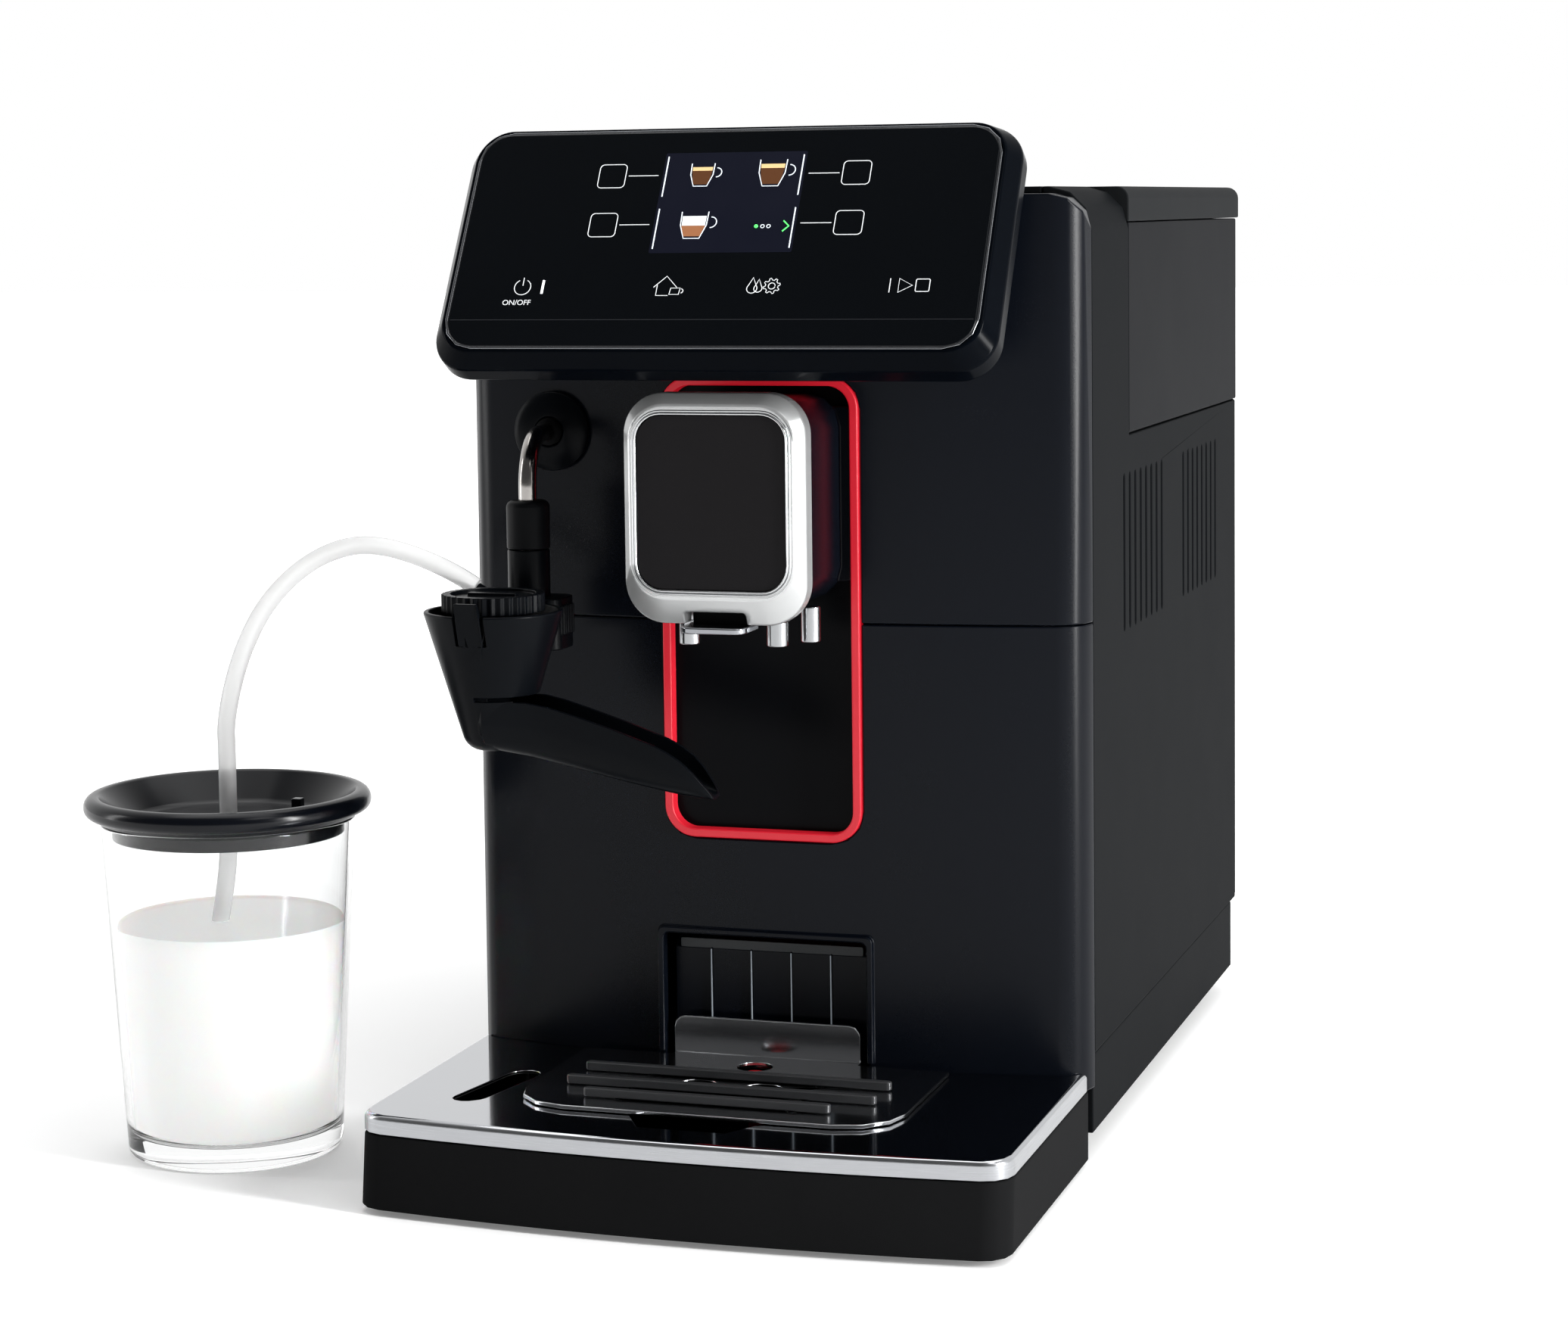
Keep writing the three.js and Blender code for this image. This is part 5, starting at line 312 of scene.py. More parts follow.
@dataclass(frozen=True)
class Polished:
    """Glossy plastic or painted glass with the faintest waviness."""

    name: str
    slot: str
    colour: Point
    shine: float = 0.06
    reflect: float = 0.4
    wave: float = 0.0006
    patch: float = 30.0
    wipe: float = 3.0
    wipe_long: float = 8.0
    lighter: float = 1.2
    wipe_shine: float = 0.03

    def make(self) -> bpy.types.Material:
        """Builds the material: near mirror, with fine wipe marks in its sheen."""
        recipe = Recipe(self.name)
        wide = recipe.noise(self.patch, 1.0)
        wiped = recipe.noise(self.wipe, 4.0, (self.wipe_long, 1.0, 1.0))
        recipe.feed(
            Base_Color=recipe.blend(wide, self.colour, toned(self.colour, self.lighter)),
            Roughness=self.shine + wiped * self.wipe_shine,
            Normal=recipe.relief(wide, self.wave),
            Specular_IOR_Level=self.reflect,
        )
        return recipe.material


@dataclass(frozen=True)
class Metal:
    """Bare or plated metal, with brush lines where it has them."""

    name: str
    slot: str
    colour: Point
    shine: float = 0.12
    line: float = 0.5
    stretch: Point = (1.0, 1.0, 1.0)
    depth: float = 0.002
    metal: float = 1.0
    patch: float = 24.0
    darkest: float = 0.86

    def make(self) -> bpy.types.Material:
        """Builds the material: a metal whose sheen follows its brush lines."""
        recipe = Recipe(self.name)
        lines = recipe.noise(self.line, 4.0, self.stretch)
        slow = recipe.noise(self.patch, 2.0)
        dull = toned(self.colour, self.darkest)
        recipe.feed(
            Base_Color=recipe.blend(slow * 0.5 + lines * 0.5, dull, self.colour),
            Metallic=self.metal,
            Roughness=self.shine - 0.03 + lines * 0.07 + slow * 0.03,
            Normal=recipe.relief(lines, self.depth),
        )
        return recipe.material


@dataclass(frozen=True)
class Edged:
    """Polished sheet whose turned-down edge is brushed along its length."""

    name: str
    slot: str
    colour: Point
    edge: float
    brushed: float = 0.26
    mirror: float = 0.05
    line: float = 0.22
    line_long: float = 60.0
    patch: float = 30.0
    darkest: float = 0.7
    depth: float = 0.002

    def make(self) -> bpy.types.Material:
        """Builds the material: a mirror above the edge, brush lines below it."""
        recipe = Recipe(self.name)
        height = recipe.node("SeparateXYZ", values={0: recipe.place()}, output=2)
        top = height > self.edge * MM
        lines = recipe.noise(self.line, 4.0, (self.line_long, self.line_long, 1.0))
        slow = recipe.noise(self.patch, 2.0)
        streak = lines * (1 - top) * 0.9 + slow * 0.1
        recipe.feed(
            Base_Color=recipe.blend(streak, self.colour, toned(self.colour, self.darkest)),
            Metallic=1.0,
            Roughness=self.brushed - (self.brushed - self.mirror) * top + lines * 0.04,
            Normal=recipe.relief(lines * (1 - top), self.depth),
        )
        return recipe.material


@dataclass(frozen=True)
class Lit:
    """Plastic or print that glows."""

    name: str
    slot: str
    colour: Point
    glow: Point
    power: float = 1.0
    reflect: float = 0.12
    patch: float = 14.0
    dimmest: float = 0.86
    darkest: float = 0.9

    def make(self) -> bpy.types.Material:
        """Builds the material: a lit colour that is a little uneven."""
        recipe = Recipe(self.name)
        slow = recipe.noise(self.patch, 2.0)
        dim = toned(self.glow, self.dimmest)
        recipe.feed(
            Base_Color=recipe.blend(slow, self.colour, toned(self.colour, self.darkest)),
            Emission_Color=recipe.blend(slow, dim, self.glow),
            Emission_Strength=self.power,
            Roughness=0.3 + slow * 0.1,
            Specular_IOR_Level=self.reflect,
        )
        return recipe.material


@dataclass(frozen=True)
class Clear:
    """Glass, clear plastic or silicone that light passes through."""

    name: str
    slot: str
    colour: Point
    shine: float = 0.01
    bend: float = 1.45
    pass_share: float = 1.0
    wave: float = 0.002
    mirror: float = 0.5
    ripple: float = 18.0
    ripple_tall: float = 2.5
    darkest: float = 0.985

    def make(self) -> bpy.types.Material:
        """Builds the material: clear, with slow ripples from the mould."""
        recipe = Recipe(self.name)
        ripple = recipe.noise(self.ripple, 2.0, (1.0, 1.0, self.ripple_tall))
        recipe.feed(
            Base_Color=recipe.blend(ripple, self.colour, toned(self.colour, self.darkest)),
            Roughness=self.shine + ripple * 0.02,
            Normal=recipe.relief(ripple, self.wave),
            IOR=self.bend,
            Specular_Tint=(self.mirror,) * 3,
            Transmission_Weight=self.pass_share,
        )
        return recipe.material


@dataclass(frozen=True)
class Milk:
    """Milk with a paler froth where it meets the glass at its top."""

    name: str
    slot: str
    colour: Point
    level: float
    # glow and lit set painted light: the milk glows though it is no lamp
    glow: float = 0.4
    froth_deep: float = 1.5
    froth_colour: Point = (0.8, 0.8, 0.79)
    bubble: float = 1.2
    bubble_deep: float = 0.08
    lit: tuple[Point, Point] = ((0.95, 0.95, 0.94), (1.0, 1.0, 0.99))

    def make(self) -> bpy.types.Material:
        """Builds the material: white, faintly bubbled near the surface, with a painted glow that
        stands in for light.
        """
        recipe = Recipe(self.name)
        height = recipe.node("SeparateXYZ", values={0: recipe.place()}, output=2)
        froth = height > (self.level - self.froth_deep) * MM
        bubbles = recipe.noise(self.bubble, 3.0)
        recipe.feed(
            Base_Color=recipe.blend(bubbles * froth, self.colour, self.froth_colour),
            Roughness=0.35 + bubbles * 0.15,
            Normal=recipe.relief(bubbles * froth, self.bubble_deep),
            Subsurface_Weight=0.4,
            Subsurface_Scale=0.006,
            # Painted light: the milk's glow brightens it as lamps would.
            Emission_Color=recipe.blend(bubbles, *self.lit),
            Emission_Strength=self.glow,
        )
        return recipe.material


@dataclass(frozen=True)
class Board:
    """A lacquered circuit board with copper tracks."""

    name: str
    slot: str
    colour: Point
    copper: Point = (0.12, 0.2, 0.09)
    cells_per_metre: float = 400.0
    track_starts: float = 0.45

    def make(self) -> bpy.types.Material:
        """Builds the material: square cells of track under green lacquer."""
        recipe = Recipe(self.name)
        scale = (self.cells_per_metre,) * 3
        place = recipe.node("Mapping", values={"Vector": recipe.place(), "Scale": scale})
        cells = recipe.node(
            "TexVoronoi", {"distance": "MANHATTAN"}, {"Vector": place, "Scale": 1.0}
        )
        track = cells > self.track_starts
        recipe.feed(
            Base_Color=recipe.blend(track, self.colour, self.copper),
            Roughness=0.3 + track * 0.15,
            Normal=recipe.relief(track, 0.02),
        )
        return recipe.material


class Paintbox:
    """Every finish of the machine, each made once and handed out by name."""

    finishes = (
        Moulded("satin_black_shell", "satin_black", (0.0018, 0.0027, 0.005), 0.25, 0.11),
        Moulded(
            "satin_black_side", "satin_black", (0.0056, 0.0062, 0.0069), 0.5, 0.005, 0.5, 0.016
        ),
        Moulded("tank_lid_black", "satin_black", (0.0088, 0.0096, 0.0104), 0.5, 0.012, 0.5, 0.016),
        Moulded("spout_sparkle", "satin_black", (0.0062, 0.0056, 0.0064), 0.4, 0.12, 0.3, 0.03),
        Moulded("matt_black_trim", "matt_black", (0.0086, 0.0088, 0.0092), 0.5, 0.004, 0.35, 0.02),
        Moulded("frother_black", "matt_black", (0.002, 0.0026, 0.0036), 0.3, 0.055, 0.4, 0.012),
        Moulded("soft_rubber", "black_rubber", (0.0032, 0.0036, 0.0044), 0.42, 0.07, 0.3, 0.02),
        Moulded("grey_moulding", "grey_plastic", (0.12, 0.125, 0.13), 0.45, 0.4),
        Moulded("pale_moulding", "pale_plastic", (0.62, 0.63, 0.6), 0.4, 0.4),
        Moulded("tank_black", "smoked_plastic", (0.0066, 0.007, 0.008), 0.44, 0.007, 0.5, 0.01),
        Polished("gloss_black_paint", "gloss_black", (0.0012, 0.0018, 0.003), 0.14, 0.022),
        Polished("panel_print", "display_glass", (0.0018, 0.0024, 0.0033), 0.09, 0.13),
        Polished("recess_gloss", "gloss_black", (0.002, 0.0022, 0.0028), 0.24, 0.04),
        Polished("lid_gloss", "gloss_black", (0.0018, 0.0024, 0.004), 0.2, 0.22),
        Polished("hopper_smoke", "smoked_plastic", (0.012, 0.0125, 0.013), 0.1, 0.4),
        Metal("dark_chrome", "chrome", (0.32, 0.33, 0.35), 0.12, 2.0),
        Metal(
            "mirror_sheet", "satin_steel", (0.66, 0.67, 0.69), 0.13, 0.2, (40.0, 1.0, 1.0), 0.0012
        ),
        Lit("faint_line", "display_glass", (0.01, 0.011, 0.013), (0.011, 0.012, 0.015), 1.0),
        Polished("red_cap", "red_plastic", (0.55, 0.02, 0.03), 0.12, 0.4),
        Metal("nozzle_chrome", "chrome", (0.4, 0.41, 0.42), 0.16, 2.0),
        Metal("chrome_plate", "chrome", (0.62, 0.63, 0.64), 0.1, 2.0),
        Moulded("rib_rubber", "black_rubber", (0.03, 0.031, 0.033), 0.34, 0.5, 0.3, 0.01),
        Moulded("bin_grey", "grey_plastic", (0.03, 0.033, 0.035), 0.4, 0.3),
        Edged("tray_steel", "satin_steel", (0.5, 0.51, 0.53), 32.2),
        Metal(
            "satin_cast", "satin_silver", (0.58, 0.59, 0.59), 0.24, 16.0, depth=0.0003, metal=0.6
        ),
        Metal("bent_pipe", "satin_steel", (0.42, 0.4, 0.38), 0.16, 0.3, (1.0, 1.0, 12.0)),
        Metal("raw_casting", "cast_metal", (0.45, 0.46, 0.47), 0.42, 1.4, depth=0.03),
        Metal("ground_steel", "tool_steel", (0.5, 0.51, 0.52), 0.26, 0.2, (6.0, 1.0, 1.0)),
        Lit("red_light", "red_plastic", (0.44, 0.012, 0.024), (0.85, 0.01, 0.026), 0.3, 0.4),
        Lit("white_print", "display_glass", (0.55, 0.56, 0.57), (0.75, 0.78, 0.8), 0.6),
        Lit("white_lamp", "display_glass", (0.9, 0.9, 0.95), (0.95, 0.96, 1.0), 1.4),
        Lit("screen_dark", "display_glass", (0.0015, 0.002, 0.004), (0.003, 0.0036, 0.011), 1.0),
        Lit("screen_cup", "display_glass", (0.5, 0.54, 0.58), (0.62, 0.68, 0.74), 0.9),
        Lit("screen_coffee", "display_glass", (0.05, 0.018, 0.008), (0.1, 0.04, 0.014), 0.9),
        Lit("screen_cream", "display_glass", (0.5, 0.36, 0.2), (0.75, 0.5, 0.2), 0.9),
        Lit("screen_froth", "display_glass", (0.5, 0.5, 0.5), (0.85, 0.88, 0.92), 0.9),
        Lit("screen_latte", "display_glass", (0.2, 0.08, 0.04), (0.3, 0.125, 0.05), 0.9),
        Lit("screen_green", "display_glass", (0.1, 0.7, 0.15), (0.1, 0.85, 0.15), 1.0),
        # The grounds bin's lines glow though they are no lamp: painted light.
        Lit("pale_line_painted_glow", "grey_plastic", (0.2, 0.22, 0.24), (0.22, 0.25, 0.28), 0.5),
        Clear("drinking_glass", "clear_glass", (0.985, 0.99, 0.99)),
        Clear("silicone_hose", "silicone", (0.99, 0.99, 0.99), 0.18, 1.36, 0.5, 0.004, 0.8),
        Milk("milk_white", "pale_plastic", (0.93, 0.93, 0.92), 81.0),
        Board("green_board", "circuit", (0.012, 0.06, 0.03)),
    )

    def __init__(self) -> None:
        """Indexes the finishes by name; a material is made on first use."""
        self.by_name = {finish.name: finish for finish in self.finishes}
        self.made: dict[str, bpy.types.Material] = {}

    def dress(self, obj: bpy.types.Object, name: str) -> None:
        """Gives a piece or a frame node the material of one finish.

        Args:
            obj: the piece or the frame node.
            name: the finish's name.
        """
        if name not in self.made:
            self.made[name] = self.by_name[name].make()
        if obj.material_slots:
            for slot in obj.material_slots:
                slot.material = self.made[name]
        else:
            obj.data.materials.append(self.made[name])


# ------------------------------------------------------------------- bench


def metres(point: Sequence[float]) -> Vector:
    """A point given in millimetres as a vector in metres."""
    return Vector([part * MM for part in point])


def put_in_scene(name: str, data: bpy.types.ID) -> bpy.types.Object:
    """Makes an object of its data and links it to the scene.

    Args:
        name: the object's name.
        data: its curve, camera or light.

    Returns:
        The new object.
    """
    obj = bpy.data.objects.new(name, data)
    bpy.context.scene.collection.objects.link(obj)
    return obj


def anywhere(place: Vector, way: Vector) -> bool:
    """Picks every item of a blank."""
    return True


def rounded(points: Sequence[Flat], radii: dict[int, float]) -> list[Flat]:
    """Rounds corners of an open outline.

    Args:
        points: the outline's corners, as (radius, height) in millimetres.
        radii: the round at each corner that has one, by its place in points.

    Returns:
        The outline with its rounds as short runs of points.
    """
    made: list[Flat] = []
    for number, point in enumerate(points):
        if number not in radii:
            made.append(point)
            continue
        here = Vector(point)
        before = (Vector(points[number - 1]) - here).normalized()
        after = (Vector(points[number + 1]) - here).normalized()
        half = before.angle(after) / 2
        reach = radii[number] / math.tan(half)
        middle = here + (before + after).normalized() * (radii[number] / math.sin(half))
        first = here + before * reach - middle
        last = here + after * reach - middle
        for step in range(ROUND_STEPS + 1):
            share = step / ROUND_STEPS
            ray = (first * (1 - share) + last * share).normalized() * radii[number]
            made.append(tuple(middle + ray))
    return made


def frame_path(low: Flat, high: Flat, radius: float, front: float) -> list[Vector]:
    """A closed path round an upright rectangle with rounded corners.

    Args:
        low: its lowest corner, as (x, z) in millimetres.
        high: its highest corner.
        radius: the radius of its corners.
        front: its y.

    Returns:
        The path's points in metres.
    """
    steps = 8
    made = []
    corners = ((high[0], high[1]), (low[0], high[1]), low, (high[0], low[1]))
    for quarter, (x, z) in enumerate(corners):
        middle_x = x - radius if x == high[0] else x + radius
        middle_z = z - radius if z == high[1] else z + radius
        for step in range(steps + 1):
            angle = math.radians(90 * quarter + 90 * step / steps)
            across = middle_x + radius * math.cos(angle)
            made.append(metres((across, front, middle_z + radius * math.sin(angle))))
    return made


class Blank:
    """One mesh on the bench, shaped as by hand."""

    def __init__(self, obj: bpy.types.Object) -> None:
        """Takes an object that is already in the scene."""
        self.obj = obj

    @staticmethod
    def clear() -> None:
        """Leaves edit mode and deselects everything."""
        if bpy.context.object is not None and bpy.context.object.mode != "OBJECT":
            bpy.ops.object.mode_set(mode="OBJECT")
        bpy.ops.object.select_all(action="DESELECT")

    @classmethod
    def named(cls, name: str) -> "Blank":
        """Takes the object just added and gives it its name.

        Args:
            name: the piece's name.

        Returns:
            The piece.
        """
        obj = bpy.context.object
        obj.name = name
        obj.data.name = name
        return cls(obj)

    def take(self) -> None:
        """Makes this the only selected piece."""
        self.clear()
        self.obj.hide_set(False)
        self.obj.select_set(True)
        bpy.context.view_layer.objects.active = self.obj

    def settle(self) -> "Blank":
        """Moves the object's place, turn and size into its mesh."""
        self.take()
        bpy.ops.object.transform_apply(location=True, rotation=True, scale=True)
        return self

    @contextmanager
    def edit(self) -> Iterator[None]:
        """Opens the mesh for editing and closes it again."""
        self.take()
        bpy.ops.object.mode_set(mode="EDIT")
        yield
        bpy.ops.object.mode_set(mode="OBJECT")

    def pick(self, kind: Pick, wanted: Wanted) -> None:
        """Selects points, edges or faces in edit mode, by place and direction.

        Args:
            kind: what is selected.
            wanted: says whether an item is, from its middle in millimetres and
                its normal (for an edge, its direction).
        """
        bpy.ops.mesh.select_mode(type=kind.value)
        bpy.ops.mesh.select_all(action="DESELECT")
        mesh = bmesh.from_edit_mesh(self.obj.data)
        if kind is Pick.POINTS:
            rows = [(item, item.co, item.normal) for item in mesh.verts]
        elif kind is Pick.EDGES:
            ends = [(item, item.verts[0].co, item.verts[1].co) for item in mesh.edges]
            rows = [(item, (a + b) / 2, (b - a).normalized()) for item, a, b in ends]
        else:
            rows = [(item, item.calc_center_median(), item.normal) for item in mesh.faces]
        for item, middle, normal in rows:
            if wanted(middle / MM, normal):
                item.select_set(True)
        mesh.select_flush_mode()
        bmesh.update_edit_mesh(self.obj.data)

    @staticmethod
    def pick_all(kind: Pick) -> None:
        """Selects everything in edit mode."""
        bpy.ops.mesh.select_mode(type=kind.value)
        bpy.ops.mesh.select_all(action="SELECT")

    @staticmethod
    def extrude(way: Vector) -> None:
        """Extrudes what is selected by a vector in metres."""
        bpy.ops.mesh.extrude_region_move(TRANSFORM_OT_translate={"value": tuple(way)})

    @staticmethod
    def resize(size: Point, middle: Sequence[float]) -> None:
        """Scales what is selected about a point in millimetres."""
        bpy.ops.transform.resize(value=size, center_override=tuple(metres(middle)))

    @staticmethod
    def round_picked(radius: float, steps: int, affect: str) -> None:
        """Rounds the selected EDGES or VERTICES by a radius in millimetres."""
        bpy.ops.mesh.bevel(
            offset=radius * MM, segments=steps, profile=0.5, affect=affect, clamp_overlap=False
        )

    @staticmethod
    def face_out() -> None:
        """Turns every face of the mesh in edit mode outwards."""
        bpy.ops.mesh.select_all(action="SELECT")
        bpy.ops.mesh.normals_make_consistent(inside=False)

    @staticmethod
    def merge(reach: float) -> None:
        """Merges points of the mesh in edit mode that lie within a reach in metres."""
        bpy.ops.mesh.select_all(action="SELECT")
        bpy.ops.mesh.remove_doubles(threshold=reach)

    @classmethod
    def sheet(
        cls, name: str, middle: Sequence[float], width: float, depth: float, facing: Facing
    ) -> "Blank":
        """Adds a flat blank.

        Args:
            name: the piece's name.
            middle: its middle in millimetres.
            width: its first side.
            depth: its second side.
            facing: which way it looks.

        Returns:
            The blank, with its place in its mesh.
        """
        cls.clear()
        bpy.ops.mesh.primitive_plane_add(
            size=1.0, location=metres(middle), rotation=facing.value
        )
        blank = cls.named(name)
        blank.obj.scale = (width * MM, depth * MM, 1.0)
        return blank.settle()

    def soften_corners(self, radius: float, steps: int, wanted: Wanted = anywhere) -> None:
        """Rounds the picked corner points of a flat outline."""
        with self.edit():
            self.pick(Pick.POINTS, wanted)
            self.round_picked(radius, steps, "VERTICES")

    def raise_by(self, way: Sequence[float]) -> None:
        """Extrudes the whole blank by a vector in millimetres."""
        with self.edit():
            self.pick_all(Pick.FACES)
            self.extrude(metres(way))
            self.face_out()

    def round_rims(self, radius: float, steps: int, wanted: Wanted) -> None:
        """Rounds the picked edges."""
        with self.edit():
            self.pick(Pick.EDGES, wanted)
            self.round_picked(radius, steps, "EDGES")

    @classmethod
    def slab(
        cls,
        name: str,
        low: Sequence[float],
        high: Sequence[float],
        facing: Facing,
        corner: float = 0.0,
        rim: float = 0.0,
        corner_steps: int = 8,
    ) -> "Blank":
        """A plate with rounded corners and a rounded front rim.

        Args:
            name: the piece's name.
            low: its lowest corner in millimetres.
            high: its highest corner.
            facing: the side that its outline is seen from.
            corner: the radius of its outline's corners.
            rim: the radius of the rim on its outer side.
            corner_steps: how many pieces each corner has.

        Returns:
            The finished plate.
        """
        axis = facing.axis
        start, end = (high, low) if facing is Facing.FRONT else (low, high)
        middle = [(a + b) / 2 for a, b in zip(low, high)]
        middle[axis] = start[axis]
        sides = [b - a for a, b in zip(low, high)]
        del sides[axis]
        rise = [0.0, 0.0, 0.0]
        rise[axis] = end[axis] - start[axis]
        blank = cls.sheet(name, middle, *sides, facing)
        if corner:
            blank.soften_corners(corner, corner_steps)
        blank.raise_by(rise)
        if rim:
            blank.round_rims(
                rim,
                3,
                lambda place, way: abs(place[axis] - end[axis]) < NEAR and abs(way[axis]) < NEAR,
            )
        return blank

    @classmethod
    def turned(
        cls, name: str, outline: Sequence[Flat], middle: Flat, steps: int, closed: bool = False
    ) -> "Blank":
        """A piece turned round an upright axis.

        Args:
            name: the piece's name.
            outline: (radius, height) points in millimetres, drawn by extruding a point.
            middle: the axis, as (x, y) in millimetres.
            steps: how many pieces the round has.
            closed: joins the last point to the first.

        Returns:
            The turned piece.
        """
        cls.clear()
        start = metres((middle[0] + outline[0][0], middle[1], outline[0][1]))
        bpy.ops.mesh.primitive_plane_add(size=MM, location=start)
        blank = cls.named(name)
        blank.settle()
        with blank.edit():
            blank.pick_all(Pick.POINTS)
            bpy.ops.mesh.merge(type="CENTER")
            for before, after in zip(outline, outline[1:]):
                step = metres((after[0] - before[0], 0, after[1] - before[1]))
                bpy.ops.mesh.extrude_vertices_move(TRANSFORM_OT_translate={"value": tuple(step)})
            if closed:
                ends = [
                    Vector((middle[0] + across, middle[1], height))
                    for across, height in (outline[0], outline[-1])
                ]
                blank.pick(
                    Pick.POINTS,
                    lambda place, way: any((place - end).length < NEAR for end in ends),
                )
                bpy.ops.mesh.edge_face_add()
            blank.pick_all(Pick.POINTS)
            axis_foot = tuple(metres((*middle, 0)))
            bpy.ops.mesh.spin(steps=steps, angle=math.tau, center=axis_foot, axis=(0, 0, 1))
            blank.merge(1e-6)
            bpy.ops.mesh.normals_make_consistent(inside=False)
        return blank

    @classmethod
    def tube(
        cls, name: str, path: Sequence[Vector], radius: float, sides: int, closed: bool = False
    ) -> "Blank":
        """A round rod, hose or drawn line along a path.

        Args:
            name: the piece's name.
            path: its centreline, in metres.
            radius: its radius in millimetres.
            sides: how finely its round is cut.
            closed: joins the path's end to its start.

        Returns:
            The tube as a closed mesh.
        """
        cls.clear()
        line = bpy.data.curves.new(name, "CURVE")
        line.dimensions = "3D"
        line.bevel_depth = radius * MM
        line.bevel_resolution = sides
        line.use_fill_caps = True
        run = line.splines.new("POLY")
        run.points.add(len(path) - 1)
        run.use_cyclic_u = closed
        for knot, place in zip(run.points, path):
            knot.co = (*place, 1.0)
        cls(put_in_scene(name, line)).take()
        bpy.ops.object.convert(target="MESH")
        made = cls.named(name)
        with made.edit():
            made.merge(1e-7)
            bpy.ops.mesh.normals_make_consistent(inside=False)
        return made

    @classmethod
    def from_node(cls, node: str) -> "Blank":
        """A copy of a frame node as one mesh with whole flat faces.

        Args:
            node: the frame node.

        Returns:
            The copy, which rides on nothing yet.
        """
        cls.clear()
        source = frame["nodes"][node]
        source.select_set(True)
        bpy.context.view_layer.objects.active = source
        bpy.ops.object.duplicate()
        blank = cls.named(node + "_finish")
        blank.obj.parent = None
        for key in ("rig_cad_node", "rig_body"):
            del blank.obj[key]
        with blank.edit():
            blank.merge(2e-6)
            bpy.ops.mesh.dissolve_limited(angle_limit=math.radians(0.4))
        return blank

    def bevel_all(self, width: float, steps: int, angle: float) -> None:
        """Rounds every sharp edge with an applied modifier.

        Args:
            width: the rounding's width in millimetres.
            steps: how many pieces the rounding has.
            angle: edges sharper than this are rounded, in degrees.
        """
        self.take()
        rounding = self.obj.modifiers.new("rounding", "BEVEL")
        rounding.width = width * MM
        rounding.segments = steps
        rounding.limit_method = "ANGLE"
        rounding.angle_limit = math.radians(angle)
        rounding.use_clamp_overlap = False
        rounding.miter_outer = "MITER_ARC"
        rounding.face_strength_mode = "FSTR_ALL"
        bpy.ops.object.modifier_apply(modifier=rounding.name)

    def cut(self, tool: "Blank", how: str = "DIFFERENCE") -> None:
        """Takes another piece's volume out of this one.

        Args:
            tool: the other piece, which is used up.
            how: the boolean's operation.
        """
        self.take()
        cutting = self.obj.modifiers.new("cut", "BOOLEAN")
        cutting.operation = how
        cutting.solver = "EXACT"
        cutting.object = tool.obj
        bpy.ops.object.modifier_apply(modifier=cutting.name)
        bpy.data.objects.remove(tool.obj)

    def fuse(self, other: "Blank") -> None:
        """Adds another piece's volume to this one."""
        self.cut(other, "UNION")

    def join(self, *others: "Blank") -> "Blank":
        """Makes one piece of this one and others."""
        if others:
            self.take()
            for other in others:
                other.obj.select_set(True)
            bpy.ops.object.join()
        return self

    @classmethod
    def joined(cls, name: str, blanks: Sequence["Blank"]) -> "Blank":
        """Makes one piece of several and names it.

        Args:
            name: the new piece's name.
            blanks: the pieces, which are used up.

        Returns:
            The joined piece.
        """
        first = blanks[0].join(*blanks[1:])
        first.obj.name = first.obj.data.name = name
        return first

    def copy(self, name: str, way: Sequence[float]) -> "Blank":
        """Copies the piece with its own mesh and moves the copy.

        Args:
            name: the copy's name.
            way: how far it is moved, in millimetres.

        Returns:
            The copy.
        """
        self.take()
        bpy.ops.object.duplicate()
        made = Blank.named(name)
        made.obj.location = metres(way)
        return made.settle()

    def smooth(self, angle: float = 40.0) -> "Blank":
        """Shades the piece smooth and evens its flat faces.

        Args:
            angle: edges up to this angle are shaded smooth, in degrees.

        Returns:
            The same piece.
        """
        self.take()
        bpy.ops.object.shade_smooth_by_angle(angle=math.radians(angle))
        even = self.obj.modifiers.new("even", "WEIGHTED_NORMAL")
        even.keep_sharp = True
        even.use_face_influence = True
        bpy.ops.object.modifier_apply(modifier=even.name)
        return self


@dataclass
class Assembly:
    """What every sub-assembly of the machine can do with its pieces."""

    paints: Paintbox

    def fit(
        self, blank: Blank, body: str, finish: str, *nodes: str, angle: float = 40.0
    ) -> None:
        """Smooths and dresses a piece, puts it on its body and reports it.

        Args:
            blank: the piece.
            body: the frame body it rides on.
            finish: the name of its finish.
            nodes: the frame nodes it stands for.
            angle: edges up to this angle are shaded smooth.
        """
        blank.smooth(angle)
        self.paints.dress(blank.obj, finish)
        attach(blank.obj, body)
        if nodes:
            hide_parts(*nodes)
        log.info("%s: %d faces on %s", blank.obj.name, len(blank.obj.data.polygons), body)

    def round_nodes(self, body: str, finish: str, width: float, *nodes: str) -> None:
        """Puts a rounded, dressed copy in the place of each frame node.

        Args:
            body: the frame body that the nodes are on.
            finish: the name of their finish.
            width: the rounding's width in millimetres.
            nodes: the frame nodes.
        """
        for node in nodes:
            copy = Blank.from_node(node)
            copy.bevel_all(width, RIM_STEPS, RIM_ANGLE)
            self.fit(copy, body, finish, node)

    def keep_nodes(self, finish: str, *nodes: str) -> None:
        """Dresses frame nodes whose own shape is right.

        Args:
            finish: the name of their finish.
            nodes: the frame nodes.
        """
        for node in nodes:
            self.paints.dress(frame["nodes"][node], finish)
            log.info("%s: frame node dressed in %s", node, finish)


# ------------------------------------------------------------ sub-assemblies


